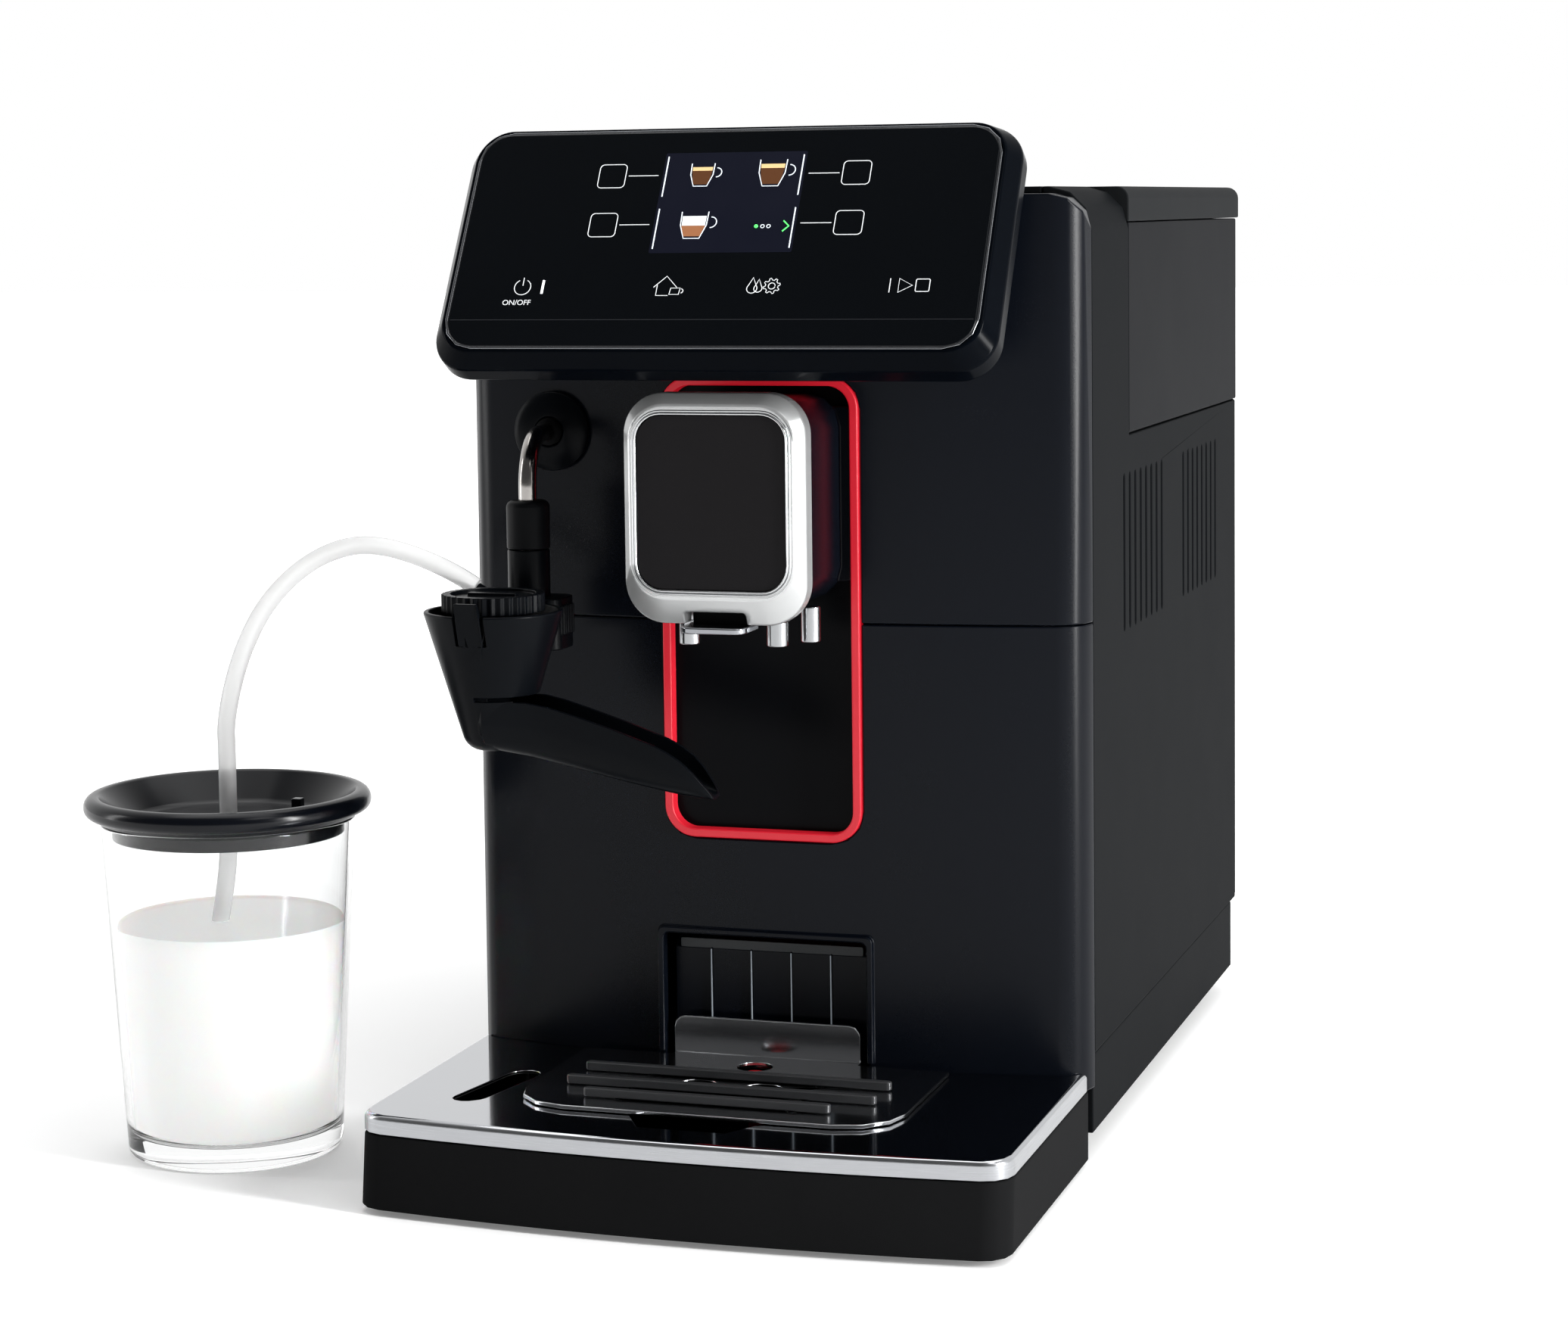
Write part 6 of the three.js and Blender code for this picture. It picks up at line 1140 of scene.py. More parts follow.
@dataclass
class Studio:
    """The camera of the photograph, a pale floor and soft light."""

    yaw: float = 17.965
    pitch: float = 4.651
    roll: float = -0.707
    place: Point = (358.387, -1218.547, 329.455)
    focal_px: float = 4501.735
    centre_px: Flat = (997.133, 641.842)
    picture: tuple[int, int] = (2072, 1773)
    sensor: float = 36.0
    floor_half: float = 12000.0
    floor_down: float = 0.05
    front_reach: Flat = (-0.6, 0.35)
    front_grey: float = 0.1
    lights: tuple[tuple[str, Point, Point, Flat, float], ...] = (
        ("left_strip", (-1.9, -0.5, 0.62), (0, -0.1, 0.3), (0.26, 1.25), 7.0),
        ("right_strip", (1.8, -0.52, 0.62), (0.1, -0.1, 0.3), (0.2, 1.25), 56.0),
        ("high_right", (1.2, -1.0, 1.9), (0, -0.1, 0.1), (0.7, 0.7), 4.0),
        ("top_box", (0.0, 0.3, 2.4), (0, 0.1, 0.1), (2.4, 2.1), 26.0),
    )

    def camera(self) -> None:
        """Adds the camera where the photograph was taken from."""
        data = bpy.data.cameras.new("photo_camera")
        data.sensor_width = self.sensor
        data.lens = self.focal_px * self.sensor / self.picture[0]
        data.shift_x = (self.picture[0] / 2 - self.centre_px[0]) / self.picture[0]
        data.shift_y = (self.centre_px[1] - self.picture[1] / 2) / self.picture[0]
        data.clip_start = 0.05
        obj = put_in_scene("photo_camera", data)
        yaw, pitch, roll = (math.radians(turn) for turn in (self.yaw, self.pitch, self.roll))
        ahead = Vector(
            (-math.sin(yaw) * math.cos(pitch), math.cos(yaw) * math.cos(pitch), -math.sin(pitch))
        )
        side = Vector((math.cos(yaw), math.sin(yaw), 0.0))
        over = side.cross(ahead)
        right = side * math.cos(roll) + over * math.sin(roll)
        top = over * math.cos(roll) - side * math.sin(roll)
        turn = Matrix((right, top, -ahead)).transposed().to_4x4()
        obj.matrix_world = Matrix.Translation(metres(self.place)) @ turn
        bpy.context.scene.camera = obj

    @staticmethod
    def light(name: str, place: Point, aim: Point, size: Flat, power: float) -> None:
        """Adds one soft box.

        Args:
            name: the light's name.
            place: where it hangs, in metres.
            aim: the point that it looks at.
            size: its width and height.
            power: its power in watts.
        """
        data = bpy.data.lights.new(name, "AREA")
        data.shape = "RECTANGLE"
        data.size, data.size_y = size
        data.energy = power
        obj = put_in_scene(name, data)
        obj.location = place
        ahead = Vector(aim) - Vector(place)
        obj.rotation_euler = ahead.to_track_quat("-Z", "Y").to_euler()

    def build(self) -> None:
        """Adds the floor, the lights and the sky."""
        side = 2 * self.floor_half
        floor = Blank.sheet("studio_floor", (0, 0, -self.floor_down), side, side, Facing.UP)
        recipe = Recipe("pale_floor")
        speck = recipe.noise(60.0, 2.0)
        reach = recipe.node(
            "VectorMath", {"operation": "LENGTH"}, {0: recipe.place()}, output="Value"
        )
        glow = recipe.blend(reach * 0.5 - 0.2, (0.25, 0.25, 0.25), (1.0, 1.0, 1.0))
        recipe.feed(
            Base_Color=recipe.blend(speck, (0.93, 0.93, 0.93), (0.95, 0.95, 0.95)),
            Roughness=0.6 + speck * 0.05,
            Specular_IOR_Level=0.2,
            Emission_Color=glow,
            Emission_Strength=0.7,
        )
        floor.obj.data.materials.append(recipe.material)
        self.sky()
        for row in self.lights:
            self.light(*row)
        view = bpy.context.scene.view_settings
        view.view_transform = "Standard"
        view.look = "None"
        log.info("studio ready")

    def sky(self) -> None:
        """Adds a white studio that falls off to grey in front of the machine."""
        world = bpy.data.worlds.new("studio_sky")
        world.use_nodes = True
        tree = world.node_tree
        way = tree.nodes.new("ShaderNodeTexCoord")
        split = tree.nodes.new("ShaderNodeSeparateXYZ")
        spread = tree.nodes.new("ShaderNodeMapRange")
        spread.interpolation_type = "SMOOTHSTEP"
        levels = (*self.front_reach, self.front_grey, 1.0)
        for name, level in zip(("From Min", "From Max", "To Min", "To Max"), levels):
            spread.inputs[name].default_value = level
        tree.links.new(way.outputs["Generated"], split.inputs[0])
        tree.links.new(split.outputs["Y"], spread.inputs["Value"])
        tree.links.new(spread.outputs[0], tree.nodes["Background"].inputs["Strength"])
        tree.nodes["Background"].inputs["Color"].default_value = (1.0, 1.0, 1.0, 1.0)
        bpy.context.scene.world = world


@dataclass
class Shell(Assembly):
    """The moulded casing: fascias, side panels, covers, base and feet."""

    seam: float = 0.6
    shell: tuple[str, ...] = ("lower_fascia", "upper_fascia")
    sides: tuple[str, ...] = (
        "right_side_panel", "left_side_panel", "rear_cover", "top_cover"
    )
    feet: tuple[str, ...] = (
        "foot_front_left", "foot_front_right", "foot_rear_left", "foot_rear_right"
    )
    frame_low: Point = (-35.6, -109.3, 111.6)
    frame_high: Point = (35.6, -103.9, 272.0)
    frame_round: float = 11.0
    frame_wide: float = 3.0
    frame_edge: float = 0.55
    frame_gap: float = 0.06
    frame_seat: float = 0.6
    through: float = 4.0
    corner_steps: int = 20

    def fascia(self, node: str) -> None:
        """Opens a fascia with smooth corners where the lit frame sits in it.

        Args:
            node: the fascia's frame node.
        """
        low, high, gap = self.frame_low, self.frame_high, self.frame_gap
        part = Blank.from_node(node)
        part.cut(
            Blank.slab(
                "opening",
                (low[0] - gap, low[1] - self.through, low[2] - gap),
                (high[0] + gap, high[1] - self.frame_seat, high[2] + gap),
                Facing.FRONT,
                self.frame_round + gap,
                corner_steps=self.corner_steps,
            )
        )
        part.bevel_all(self.seam, RIM_STEPS, RIM_ANGLE)
        self.fit(part, "machine", "satin_black_shell", node)

    def light_frame(self) -> None:
        """Models the lit red frame round the spout's recess."""
        low, high, inner = self.frame_low, self.frame_high, self.frame_wide
        ring = Blank.slab(
            "light_frame_lit",
            low,
            high,
            Facing.FRONT,
            self.frame_round,
            corner_steps=self.corner_steps,
        )
        hole = Blank.slab(
            "hole",
            (low[0] + inner, low[1] - 1, low[2] + inner),
            (high[0] - inner, high[1] + 1, high[2] - inner),
            Facing.FRONT,
            self.frame_round - inner,
            corner_steps=self.corner_steps,
        )
        ring.cut(hole)
        ring.bevel_all(self.frame_edge, 3, 50.0)
        self.fit(ring, "machine", "red_light", "red_light_frame")

    def build(self) -> None:
        """Rounds the casing's pieces and dresses them."""
        for node in self.shell:
            self.fascia(node)
        self.round_nodes("machine", "satin_black_side", self.seam, *self.sides)
        self.round_nodes("door", "satin_black_side", self.seam, "service_door")
        self.round_nodes("machine", "satin_black_side", self.seam, "base_pan")
        self.round_nodes("machine", "recess_gloss", 0.4, "recess_panel")
        self.light_frame()
        self.keep_nodes("soft_rubber", *self.feet)


@dataclass
class Top(Assembly):
    """The water tank, the bean hopper and the lids."""

    lid_top: float = 335.8
    lid_shoulder: float = 4.5
    shoulder_past: Flat = (17.0, -23.0)

    def tank_lid(self) -> None:
        """Rounds the tank lid's outer shoulder at its side and rear."""
        lid = Blank.from_node("tank_lid")
        lid.round_rims(
            self.lid_shoulder,
            6,
            lambda place, way: abs(place[2] - self.lid_top) < LEVEL
            and abs(way[2]) < FLAT
            and place[0] > self.shoulder_past[0]
            and place[1] > self.shoulder_past[1],
        )
        lid.bevel_all(0.6, 2, 40.0)
        self.fit(lid, "tank_cover", "tank_lid_black", "tank_lid")

    def build(self) -> None:
        """Rounds the pieces on the top and dresses them."""
        self.round_nodes("tank", "tank_black", 0.6, "water_tank")
        self.tank_lid()
        self.round_nodes("machine", "hopper_smoke", 0.4, "bean_hopper")
        self.round_nodes("bean_cover", "hopper_smoke", 0.9, "hopper_lid")
        self.round_nodes("ground_cover", "satin_black_side", 0.7, "ground_coffee_lid")
        self.keep_nodes("pale_moulding", "tank_valve")


@dataclass
class Inside(Assembly):
    """The works inside the casing, whose frame nodes stay as they are."""

    finishes: dict[str, tuple[str, ...]] = field(
        default_factory=lambda: {
            "raw_casting": ("grinder_housing", "boiler"),
            "ground_steel": ("upper_burr", "lower_burr"),
            "grey_moulding": ("inner_frame", "grind_adjuster", "brew_motor"),
            "pale_moulding": ("brew_group", "brew_piston", "pump"),
            "satin_cast": ("grinder_motor",),
            "green_board": ("power_board", "display_board"),
            "matt_black_trim": ("mains_inlet", "power_switch"),
        }
    )
    brew_side: float = -92.0
    cover_low: Flat = (-50.0, 98.0)
    cover_high: Flat = (52.0, 186.0)
    hub: Flat = (1.0, 168.0)
    tab: Flat = (1.0, 109.0)
    rib_first: float = 7.0
    rib_wide: float = 2.2
    rib_span: Flat = (120.0, 148.0)
    rib_steps: int = 5

    def side_slab(
        self,
        name: str,
        depths: Flat,
        middle: Flat,
        halves: Flat,
        corner: float,
        corner_steps: int = 8,
    ) -> Blank:
        """A plate on the brew group's left side.

        Args:
            name: the plate's name.
            depths: how far its outer and inner faces lie outside that side.
            middle: its middle, as (y, z) in millimetres.
            halves: its half width and half height.
            corner: the radius of its corners.
            corner_steps: how many pieces each corner has.

        Returns:
            The plate.
        """
        y, z = middle
        return Blank.slab(
            name,
            (self.brew_side - depths[0], y - halves[0], z - halves[1]),
            (self.brew_side - depths[1], y + halves[0], z + halves[1]),
            Facing.RIGHT,
            corner,
            corner_steps=corner_steps,
        )

    def brew_cover(self) -> None:
        """Adds the cover, drive hub and red catch behind the service door."""
        side, low, high = self.brew_side, self.cover_low, self.cover_high
        cover = Blank.slab(
            "brew_cover", (side - 2.2, *low), (side + 0.3, *high), Facing.RIGHT, 6.0
        )
        cover.fuse(self.side_slab("hub", (4.6, 1), self.hub, (13, 13), 12.9, 16))
        cover.cut(self.side_slab("bore", (6, 1.4), self.hub, (7, 7), 6.9, 12))
        cover.cut(self.side_slab("seat", (6, 0.6), self.tab, (9, 5), 2.0))
        cover.bevel_all(0.6, 3, 40.0)
        self.fit(cover, "machine", "grey_moulding")
        self.ribs(low[0] + self.rib_first, high[0] - self.rib_first)
        catch = self.side_slab("brew_catch", (4.4, 0.8), self.tab, (7.6, 3.8), 1.4)
        catch.bevel_all(0.7, 3, 40.0)
        self.fit(catch, "machine", "red_cap")

    def ribs(self, first_at: float, last_at: float) -> None:
        """Models the cover's first rib and copies it along the cover.

        Args:
            first_at: where the first rib starts, as y in millimetres.
            last_at: where the last one ends.
        """
        rib = Blank.slab(
            "brew_ribs",
            (self.brew_side - 4.0, first_at, self.rib_span[0]),
            (self.brew_side - 2.0, first_at + self.rib_wide, self.rib_span[1]),
            Facing.RIGHT,
            1.0,
        )
        rib.bevel_all(0.4, 2, 40.0)
        step = (last_at - first_at - self.rib_wide) / self.rib_steps
        numbers = range(1, self.rib_steps + 1)
        rib.join(*[rib.copy(f"rib_{number}", (0, step * number, 0)) for number in numbers])
        self.fit(rib, "machine", "grey_moulding")

    def build(self) -> None:
        """Dresses each inner node and adds the brew group's cover."""
        self.brew_cover()
        for finish, nodes in self.finishes.items():
            self.keep_nodes(finish, *nodes)


@dataclass
class Tray(Assembly):
    """The drip tray with its cover, cup plate, ribs, float and grounds bin."""

    cover_top: float = 33.0
    cover_rim: float = 1.9
    rim_past: Flat = (109.9, -203.0)
    lines_at: tuple[float, ...] = (-22.0, -7.3, 7.3, 21.7)
    line_span: Flat = (36.0, 70.4)
    line_half: float = 0.16
    line_deep: float = 0.9
    bin_front: float = -100.4
    lip_half: float = 33.4
    lip_span: Flat = (70.6, 73.9)

    def cover(self) -> None:
        """Rolls the polished cover's outer edge over."""
        cover = Blank.from_node("tray_cover")
        side, front = self.rim_past
        cover.round_rims(
            self.cover_rim,
            5,
            lambda place, way: abs(place[2] - self.cover_top) < LEVEL
            and abs(way[2]) < FLAT
            and (abs(place[0]) > side or place[1] < front),
        )
        cover.bevel_all(0.25, 2, 40.0)
        self.fit(cover, "tray", "tray_steel", "tray_cover")

    def bin_lines(self) -> None:
        """Adds the pale lines that part the grounds bin's front, and its lip; the lines' glow is
        painted light.
        """
        lip = Blank.slab(
            "bin_lip",
            (-self.lip_half, self.bin_front - 0.3, self.lip_span[0]),
            (self.lip_half, self.bin_front + 0.2, self.lip_span[1]),
            Facing.FRONT,
            0.6,
            0.15,
        )
        self.fit(lip, "tray", "bin_grey")
        low, high = self.line_span
        lines = [
            Blank.slab(
                "line",
                (x - self.line_half, self.bin_front - self.line_deep, low),
                (x + self.line_half, self.bin_front, high),
                Facing.FRONT,
                0.1,
                corner_steps=2,
            )
            for x in self.lines_at
        ]
        self.fit(Blank.joined("bin_lines", lines), "tray", "pale_line_painted_glow")

    def build(self) -> None:
        """Rounds the tray's pieces and dresses them."""
        self.round_nodes("tray", "matt_black_trim", 0.7, "drip_tray")
        self.cover()
        self.bin_lines()
        self.round_nodes("tray", "satin_black_shell", 0.4, "grounds_container")
        self.round_nodes("plate", "mirror_sheet", 0.4, "cup_plate")
        self.round_nodes("plate", "rib_rubber", 0.6, "cup_ribs")
        self.round_nodes("float", "red_cap", 0.4, "tray_float")


@dataclass
class Spout(Assembly):
    """The coffee spout block that slides up and down."""

    plate_low: Point = (-25.9, -160.1, 204.0)
    plate_high: Point = (25.9, -158.3, 262.0)
    plate_round: float = 8.7
    rim_front: float = -160.7
    rim_steps: tuple[float, ...] = (0.45, 1.35, 2.25)
    rim_thick: float = 0.42
    outline_low: Point = (-31.7, -156.4, 192.3)
    outline_high: Point = (31.7, -149.7, 269.2)
    outline_round: float = 14.0
    face_half: float = 28.6
    face_span: Flat = (201.1, 265.4)
    face_front: float = -160.6
    plate_gap: float = 0.35
    notch_half: float = 10.7
    notch_top: float = 196.5
    grip_low: Point = (-11.5, -163.0, 189.7)
    grip_high: Point = (11.5, -146.0, 191.9)
    grip_round: float = 4.5

    def bezel(self) -> None:
        """Models the silver frame: a deep chamfer round the front plate."""
        low, high = self.outline_low, self.outline_high
        block = Blank.slab(
            "spout_bezel_cast", low, high, Facing.FRONT, self.outline_round, corner_steps=14
        )
        wide = self.face_half / high[0]
        tall = (self.face_span[1] - self.face_span[0]) / (high[2] - low[2])
        shift = (sum(self.face_span) - low[2] - high[2]) / 2
        middle = (0, self.face_front, (low[2] + high[2]) / 2 + shift)
        with block.edit():
            block.pick(
                Pick.FACES, lambda place, way: way.y < -0.9 and place[1] < low[1] + LEVEL
            )
            block.extrude(metres((0, self.face_front - low[1], shift)))
            block.resize((wide, 1, tall), middle)
            block.face_out()
        gap = self.plate_gap
        pocket = Blank.slab(
            "pocket",
            (self.plate_low[0] - gap, self.face_front - 1, self.plate_low[2] - gap),
            (self.plate_high[0] + gap, high[1] + 1, self.plate_high[2] + gap),
            Facing.FRONT,
            self.plate_round + gap,
            corner_steps=12,
        )
        block.cut(pocket)
        notch = Blank.slab(
            "notch",
            (-self.notch_half, self.face_front - 1, low[2] - 5),
            (self.notch_half, high[1] + 1, self.notch_top),
            Facing.FRONT,
            1.2,
        )
        block.cut(notch)
        block.bevel_all(0.7, 3, 24.0)
        self.fit(block, "spout", "satin_cast", "spout_bezel")

    def grip(self) -> None:
        """Models the finger plate under the frame and the dark stem behind it."""
        low, high = self.grip_low, self.grip_high
        tongue = Blank.slab("grip_tongue", low, high, Facing.UP)
        tongue.round_rims(
            self.grip_round,
            10,
            lambda place, way: abs(way[2]) > 0.9 and place[1] < low[1] + 0.1,
        )
        tongue.bevel_all(0.6, 3, 50.0)
        self.fit(tongue, "spout", "dark_chrome", "spout_grip")
        stem = Blank.slab(
            "grip_stem",
            (low[0] + 1.0, high[1] - 3.4, high[2] - 0.4),
            (high[0] - 1.0, high[1] + 0.2, self.notch_top - 0.6),
            Facing.FRONT,
            1.0,
            0.3,
        )
        self.fit(stem, "spout", "matt_black_trim")

    def build(self) -> None:
        """Rounds the spout's pieces, models its plate and draws its rim lines."""
        self.round_nodes("spout", "satin_black_shell", 0.6, "spout_body")
        self.bezel()
        self.grip()
        self.round_nodes("spout", "nozzle_chrome", 0.5, "coffee_nozzles", "water_nozzle")
        low, high = self.plate_low, self.plate_high
        plate = Blank.slab(
            "spout_plate_front", low, high, Facing.FRONT, self.plate_round, 0.35
        )
        self.fit(plate, "spout", "spout_sparkle", "spout_plate")
        lines = []
        for number, step in enumerate(self.rim_steps):
            path = frame_path(
                (low[0] - step, low[2] - step),
                (high[0] + step, high[2] + step),
                self.plate_round + step,
                self.rim_front + 0.25 * number,
            )
            lines.append(Blank.tube(f"rim_line_{number}", path, self.rim_thick, 3, closed=True))
        rims = Blank.joined("spout_rim_lines", lines)
        self.fit(rims, "spout", "chrome_plate", angle=60.0)


@dataclass
class Panel(Assembly):
    """The slanted control panel with its print and its lit display.

    Places on the glass are (across, up the slant) from its lower middle.
    """

    origin: Point = (0.0, -168.4, 285.37)
    lean: float = 31.2
    glass_half: float = 91.3
    glass_slant: float = 82.2
    glass_round: float = 10.3
    middle: float = 0.8
    screen_low: Flat = (-24.1, 34.8)
    screen_high: Flat = (25.7, 73.6)
    key_out: float = 42.9
    key_ups: Flat = (64.9, 45.8)
    key_size: Flat = (9.6, 9.1)
    lead: Flat = (26.4, 37.0)
    line: float = 0.15
    print_front: float = -0.02
    icon_up: float = 22.0
    power_at: float = -66.5
    drops_at: tuple[Flat, ...] = ((14.2, 1.0), (16.3, 0.8))
    cog_at: float = 20.9
    cog_teeth: int = 8
    cog_tooth: tuple[Flat, ...] = ((0.0, 2.2), (0.18, 2.9), (0.45, 2.9), (0.63, 2.2))
    lamp_at: float = -59.3
    step_up: float = 9.5
    dots_at: tuple[float, ...] = (12.0, 14.2, 16.3)
    dots_up: float = 44.7
    glass_seat: float = 0.75
    ring_steps: int = 28
    rings: tuple[tuple[float, float, float, float], ...] = (
        (93.2, -2.2, 84.1, 0.6),
        (97.5, -5.8, 86.1, 7.2),
        (97.5, -5.8, 86.1, 14.2),
        (89.5, 2.2, 78.1, 21.2),
    )
    neck: tuple[Point, Point] = ((-84.0, -156.9, 280.5), (84.0, -108.5, 326.0))
    neck_slope: float = 28.0

    def housing(self) -> None:
        """Models the housing: drawn out from the glass, then drawn in at its back."""
        half, low, high, front = self.rings[0]
        middle = (0, front, (low + high) / 2)
        shell = Blank.sheet("panel_housing_shell", middle, 2 * half, high - low, Facing.FRONT)
        shell.soften_corners(self.glass_round + 2.2, 14)
        with shell.edit():
            shell.pick_all(Pick.FACES)
            for before, after in zip(self.rings, self.rings[1:]):
                shift = (after[1] + after[2] - before[1] - before[2]) / 2
                shell.extrude(metres((0, after[3] - before[3], shift)))
                tall = (after[2] - after[1]) / (before[2] - before[1])
                middle = (0, after[3], (after[1] + after[2]) / 2)
                shell.resize((after[0] / before[0], 1, tall), middle)
            shell.face_out()
        seat = self.glass_seat
        shell.cut(
            Blank.slab(
                "seat",
                (-self.glass_half - seat, -1.0, -0.3 - seat),
                (self.glass_half + seat, 2.5, self.glass_slant + seat),
                Facing.FRONT,
                self.glass_round + seat,
                corner_steps=14,
            )
        )
        shell.cut(Blank.slab("room", (-86.0, 1.0, 6.0), (86.0, 17.0, 76.0), Facing.FRONT, 4.0))
        shell.bevel_all(0.9, 3, 20.0)
        self.fit(self.settle(shell), "machine", "gloss_black_paint", "panel_housing")
        self.neck_block(*self.neck)

    def neck_block(self, low: Point, high: Point) -> None:
        """Models the block that carries the housing, its front sloping back.

        Args:
            low: its lowest corner in millimetres.
            high: its highest corner before the front is sloped.
        """
        neck = Blank.slab("panel_neck", low, high, Facing.UP, 3.0)
        with neck.edit():
            neck.pick(
                Pick.POINTS, lambda place, way: place[2] > high[2] - 1 and place[1] < low[1] + 4
            )
            bpy.ops.transform.translate(value=tuple(metres((0, self.neck_slope, 0))))
        neck.bevel_all(1.0, 2, 40.0)
        self.fit(neck, "machine", "satin_black_shell")

    def settle(self, blank: Blank) -> Blank:
        """Moves a piece made upright at the origin onto the slant.

        Args:
            blank: the upright piece.

        Returns:
            The same piece in its place.
        """
        blank.obj.rotation_euler = (-math.radians(self.lean), 0.0, 0.0)
        blank.obj.location = metres(self.origin)
        return blank.settle()

    def draw(self, points: Sequence[Flat], closed: bool = False, wide: float = 0.0) -> Blank:
        """Draws one printed line on the glass.

        Args:
            points: its places on the glass.
            closed: joins its ends.
            wide: its half width, if it isn't the usual one.

        Returns:
            The line, still upright.
        """
        path = [metres((x, self.print_front, z)) for x, z in points]
        return Blank.tube("stroke", path, wide or self.line, 1, closed)

    def box(self, low: Flat, high: Flat, corner: float) -> Blank:
        """Draws a rectangle with rounded corners on the glass."""
        path = frame_path(low, high, corner, self.print_front)
        return Blank.tube("stroke", path, self.line, 1, closed=True)

    def ring(
        self, middle: Flat, radius: float, start: float = 0.0, turn: float = 360.0
    ) -> list[Flat]:
        """Places round a circle.

        Args:
            middle: the circle's middle on the glass.
            radius: its radius.
            start: where it starts, in degrees from the right.
            turn: how far it goes.

        Returns:
            The places; a full circle doesn't repeat its first.
        """
        count = self.ring_steps
        last = count if turn >= 360.0 else count + 1
        angles = [math.radians(start + turn * step / count) for step in range(last)]
        across, up = middle
        return [(across + radius * math.cos(a), up + radius * math.sin(a)) for a in angles]

    def keys(self) -> list[Blank]:
        """The four keys beside the display, with the lines that lead to it."""
        made = []
        for side in (-1, 1):
            for up in self.key_ups:
                across = self.middle + side * self.key_out
                half, tall = (size / 2 for size in self.key_size)
                made.append(self.box((across - half, up - tall), (across + half, up + tall), 1.5))
                made.append(self.draw([(self.middle + side * part, up) for part in self.lead]))
        return made

    def icons(self) -> list[Blank]:
        """The row of icons under the display."""
        up = self.icon_up
        cup = [(-13.9, up - 0.6), (-14.2, up - 3.0), (-10.9, up - 3.0), (-10.6, up - 0.6)]
        made = [
            self.draw(self.ring((self.power_at, up), 2.9, 118.0, 304.0)),
            self.draw([(self.power_at, up + 0.6), (self.power_at, up + 3.6)]),
            self.draw([(-20.0, up - 0.3), (-15.9, up + 3.9), (-11.9, up - 0.3)]),
            self.draw([(-18.8, up + 0.6), (-18.8, up - 3.4), (-14.6, up - 3.4)]),
            self.draw(cup, True),
            self.draw(self.ring((-10.3, up - 1.7), 0.8, -80.0, 160.0)),
            self.draw(self.ring((self.cog_at, up), 1.15)),
            self.draw([(60.9, up - 2.6), (60.9, up + 2.6)]),
            self.draw([(63.9, up + 2.6), (63.9, up - 2.6), (68.5, up)], True),
            self.box((69.6, up - 2.3), (74.2, up + 2.3), 0.5),
        ]
        cog = []
        for tooth in range(self.cog_teeth):
            for part, reach in self.cog_tooth:
                angle = math.tau * (tooth + part) / self.cog_teeth
                cog.append((self.cog_at + reach * math.cos(angle), up + reach * math.sin(angle)))
        made.append(self.draw(cog, True))
        for across, size in self.drops_at:
            drop = self.ring((across, up - 0.9), 1.75 * size, -220.0, 260.0)
            made.append(self.draw(drop + [(across, up + 3.2 * size)], True))
        return made

    def words(self) -> Blank:
        """ON/OFF under the power icon, meshed before it is moved."""
        Blank.clear()
        bpy.ops.object.text_add(location=(0, 0, 0), rotation=Facing.FRONT.value)
        text = Blank.named("on_off_print")
        text.obj.data.body = "ON/OFF"
        text.obj.data.size = 2.8 * MM
        text.obj.data.extrude = 0.04 * MM
        text.obj.data.align_x = "CENTER"
        text.obj.location = metres((-67.6, -0.05, 15.2))
        text.take()
        bpy.ops.object.convert(target="MESH")
        return Blank(bpy.context.object).settle()

    def cup(self, middle: Flat, size: float, cream: float, drink: str, top_layer: str) -> None:
        """Draws one glass cup of coffee on the display.

        Args:
            middle: the cup's middle on the glass.
            size: its height.
            cream: how much of its height the paler top layer takes.
            drink: the group that its lower layer belongs to.
            top_layer: the group that its top layer belongs to.
        """
        x, z = middle
        half, foot, low, high = 0.46 * size, 0.27 * size, z - size / 2, z + size / 2
        outline = [(x - half, high), (x - half * 0.97, z), (x - foot, low), (x + foot, low)]
        outline += [(x + half * 0.97, z), (x + half, high)]
        self.marks.append(self.draw(outline, False, 0.2))
        handle = (x + half + 0.12 * size, z + 0.1 * size)
        self.marks.append(self.draw(self.ring(handle, 0.2 * size, -90.0, 180.0), False, 0.2))
        fill_top = high - 0.16 * size
        split = fill_top - cream * size
        for name, bottom, top, spread in (
            (drink, low + 0.08 * size, split, 0.76),
            (top_layer, split, fill_top, 0.97),
        ):
            wide = half - 0.5
            low_corner, high_corner = (x - wide, -0.12, bottom), (x + wide, 0.02, top)
            fill = Blank.slab(name + "_fill", low_corner, high_corner, Facing.FRONT)
            with fill.edit():
                fill.pick(Pick.POINTS, lambda place, way: place[2] < bottom + NEAR)
                fill.resize((spread, 1, 1), (x, 0, bottom))
            self.layers[name].append(fill)

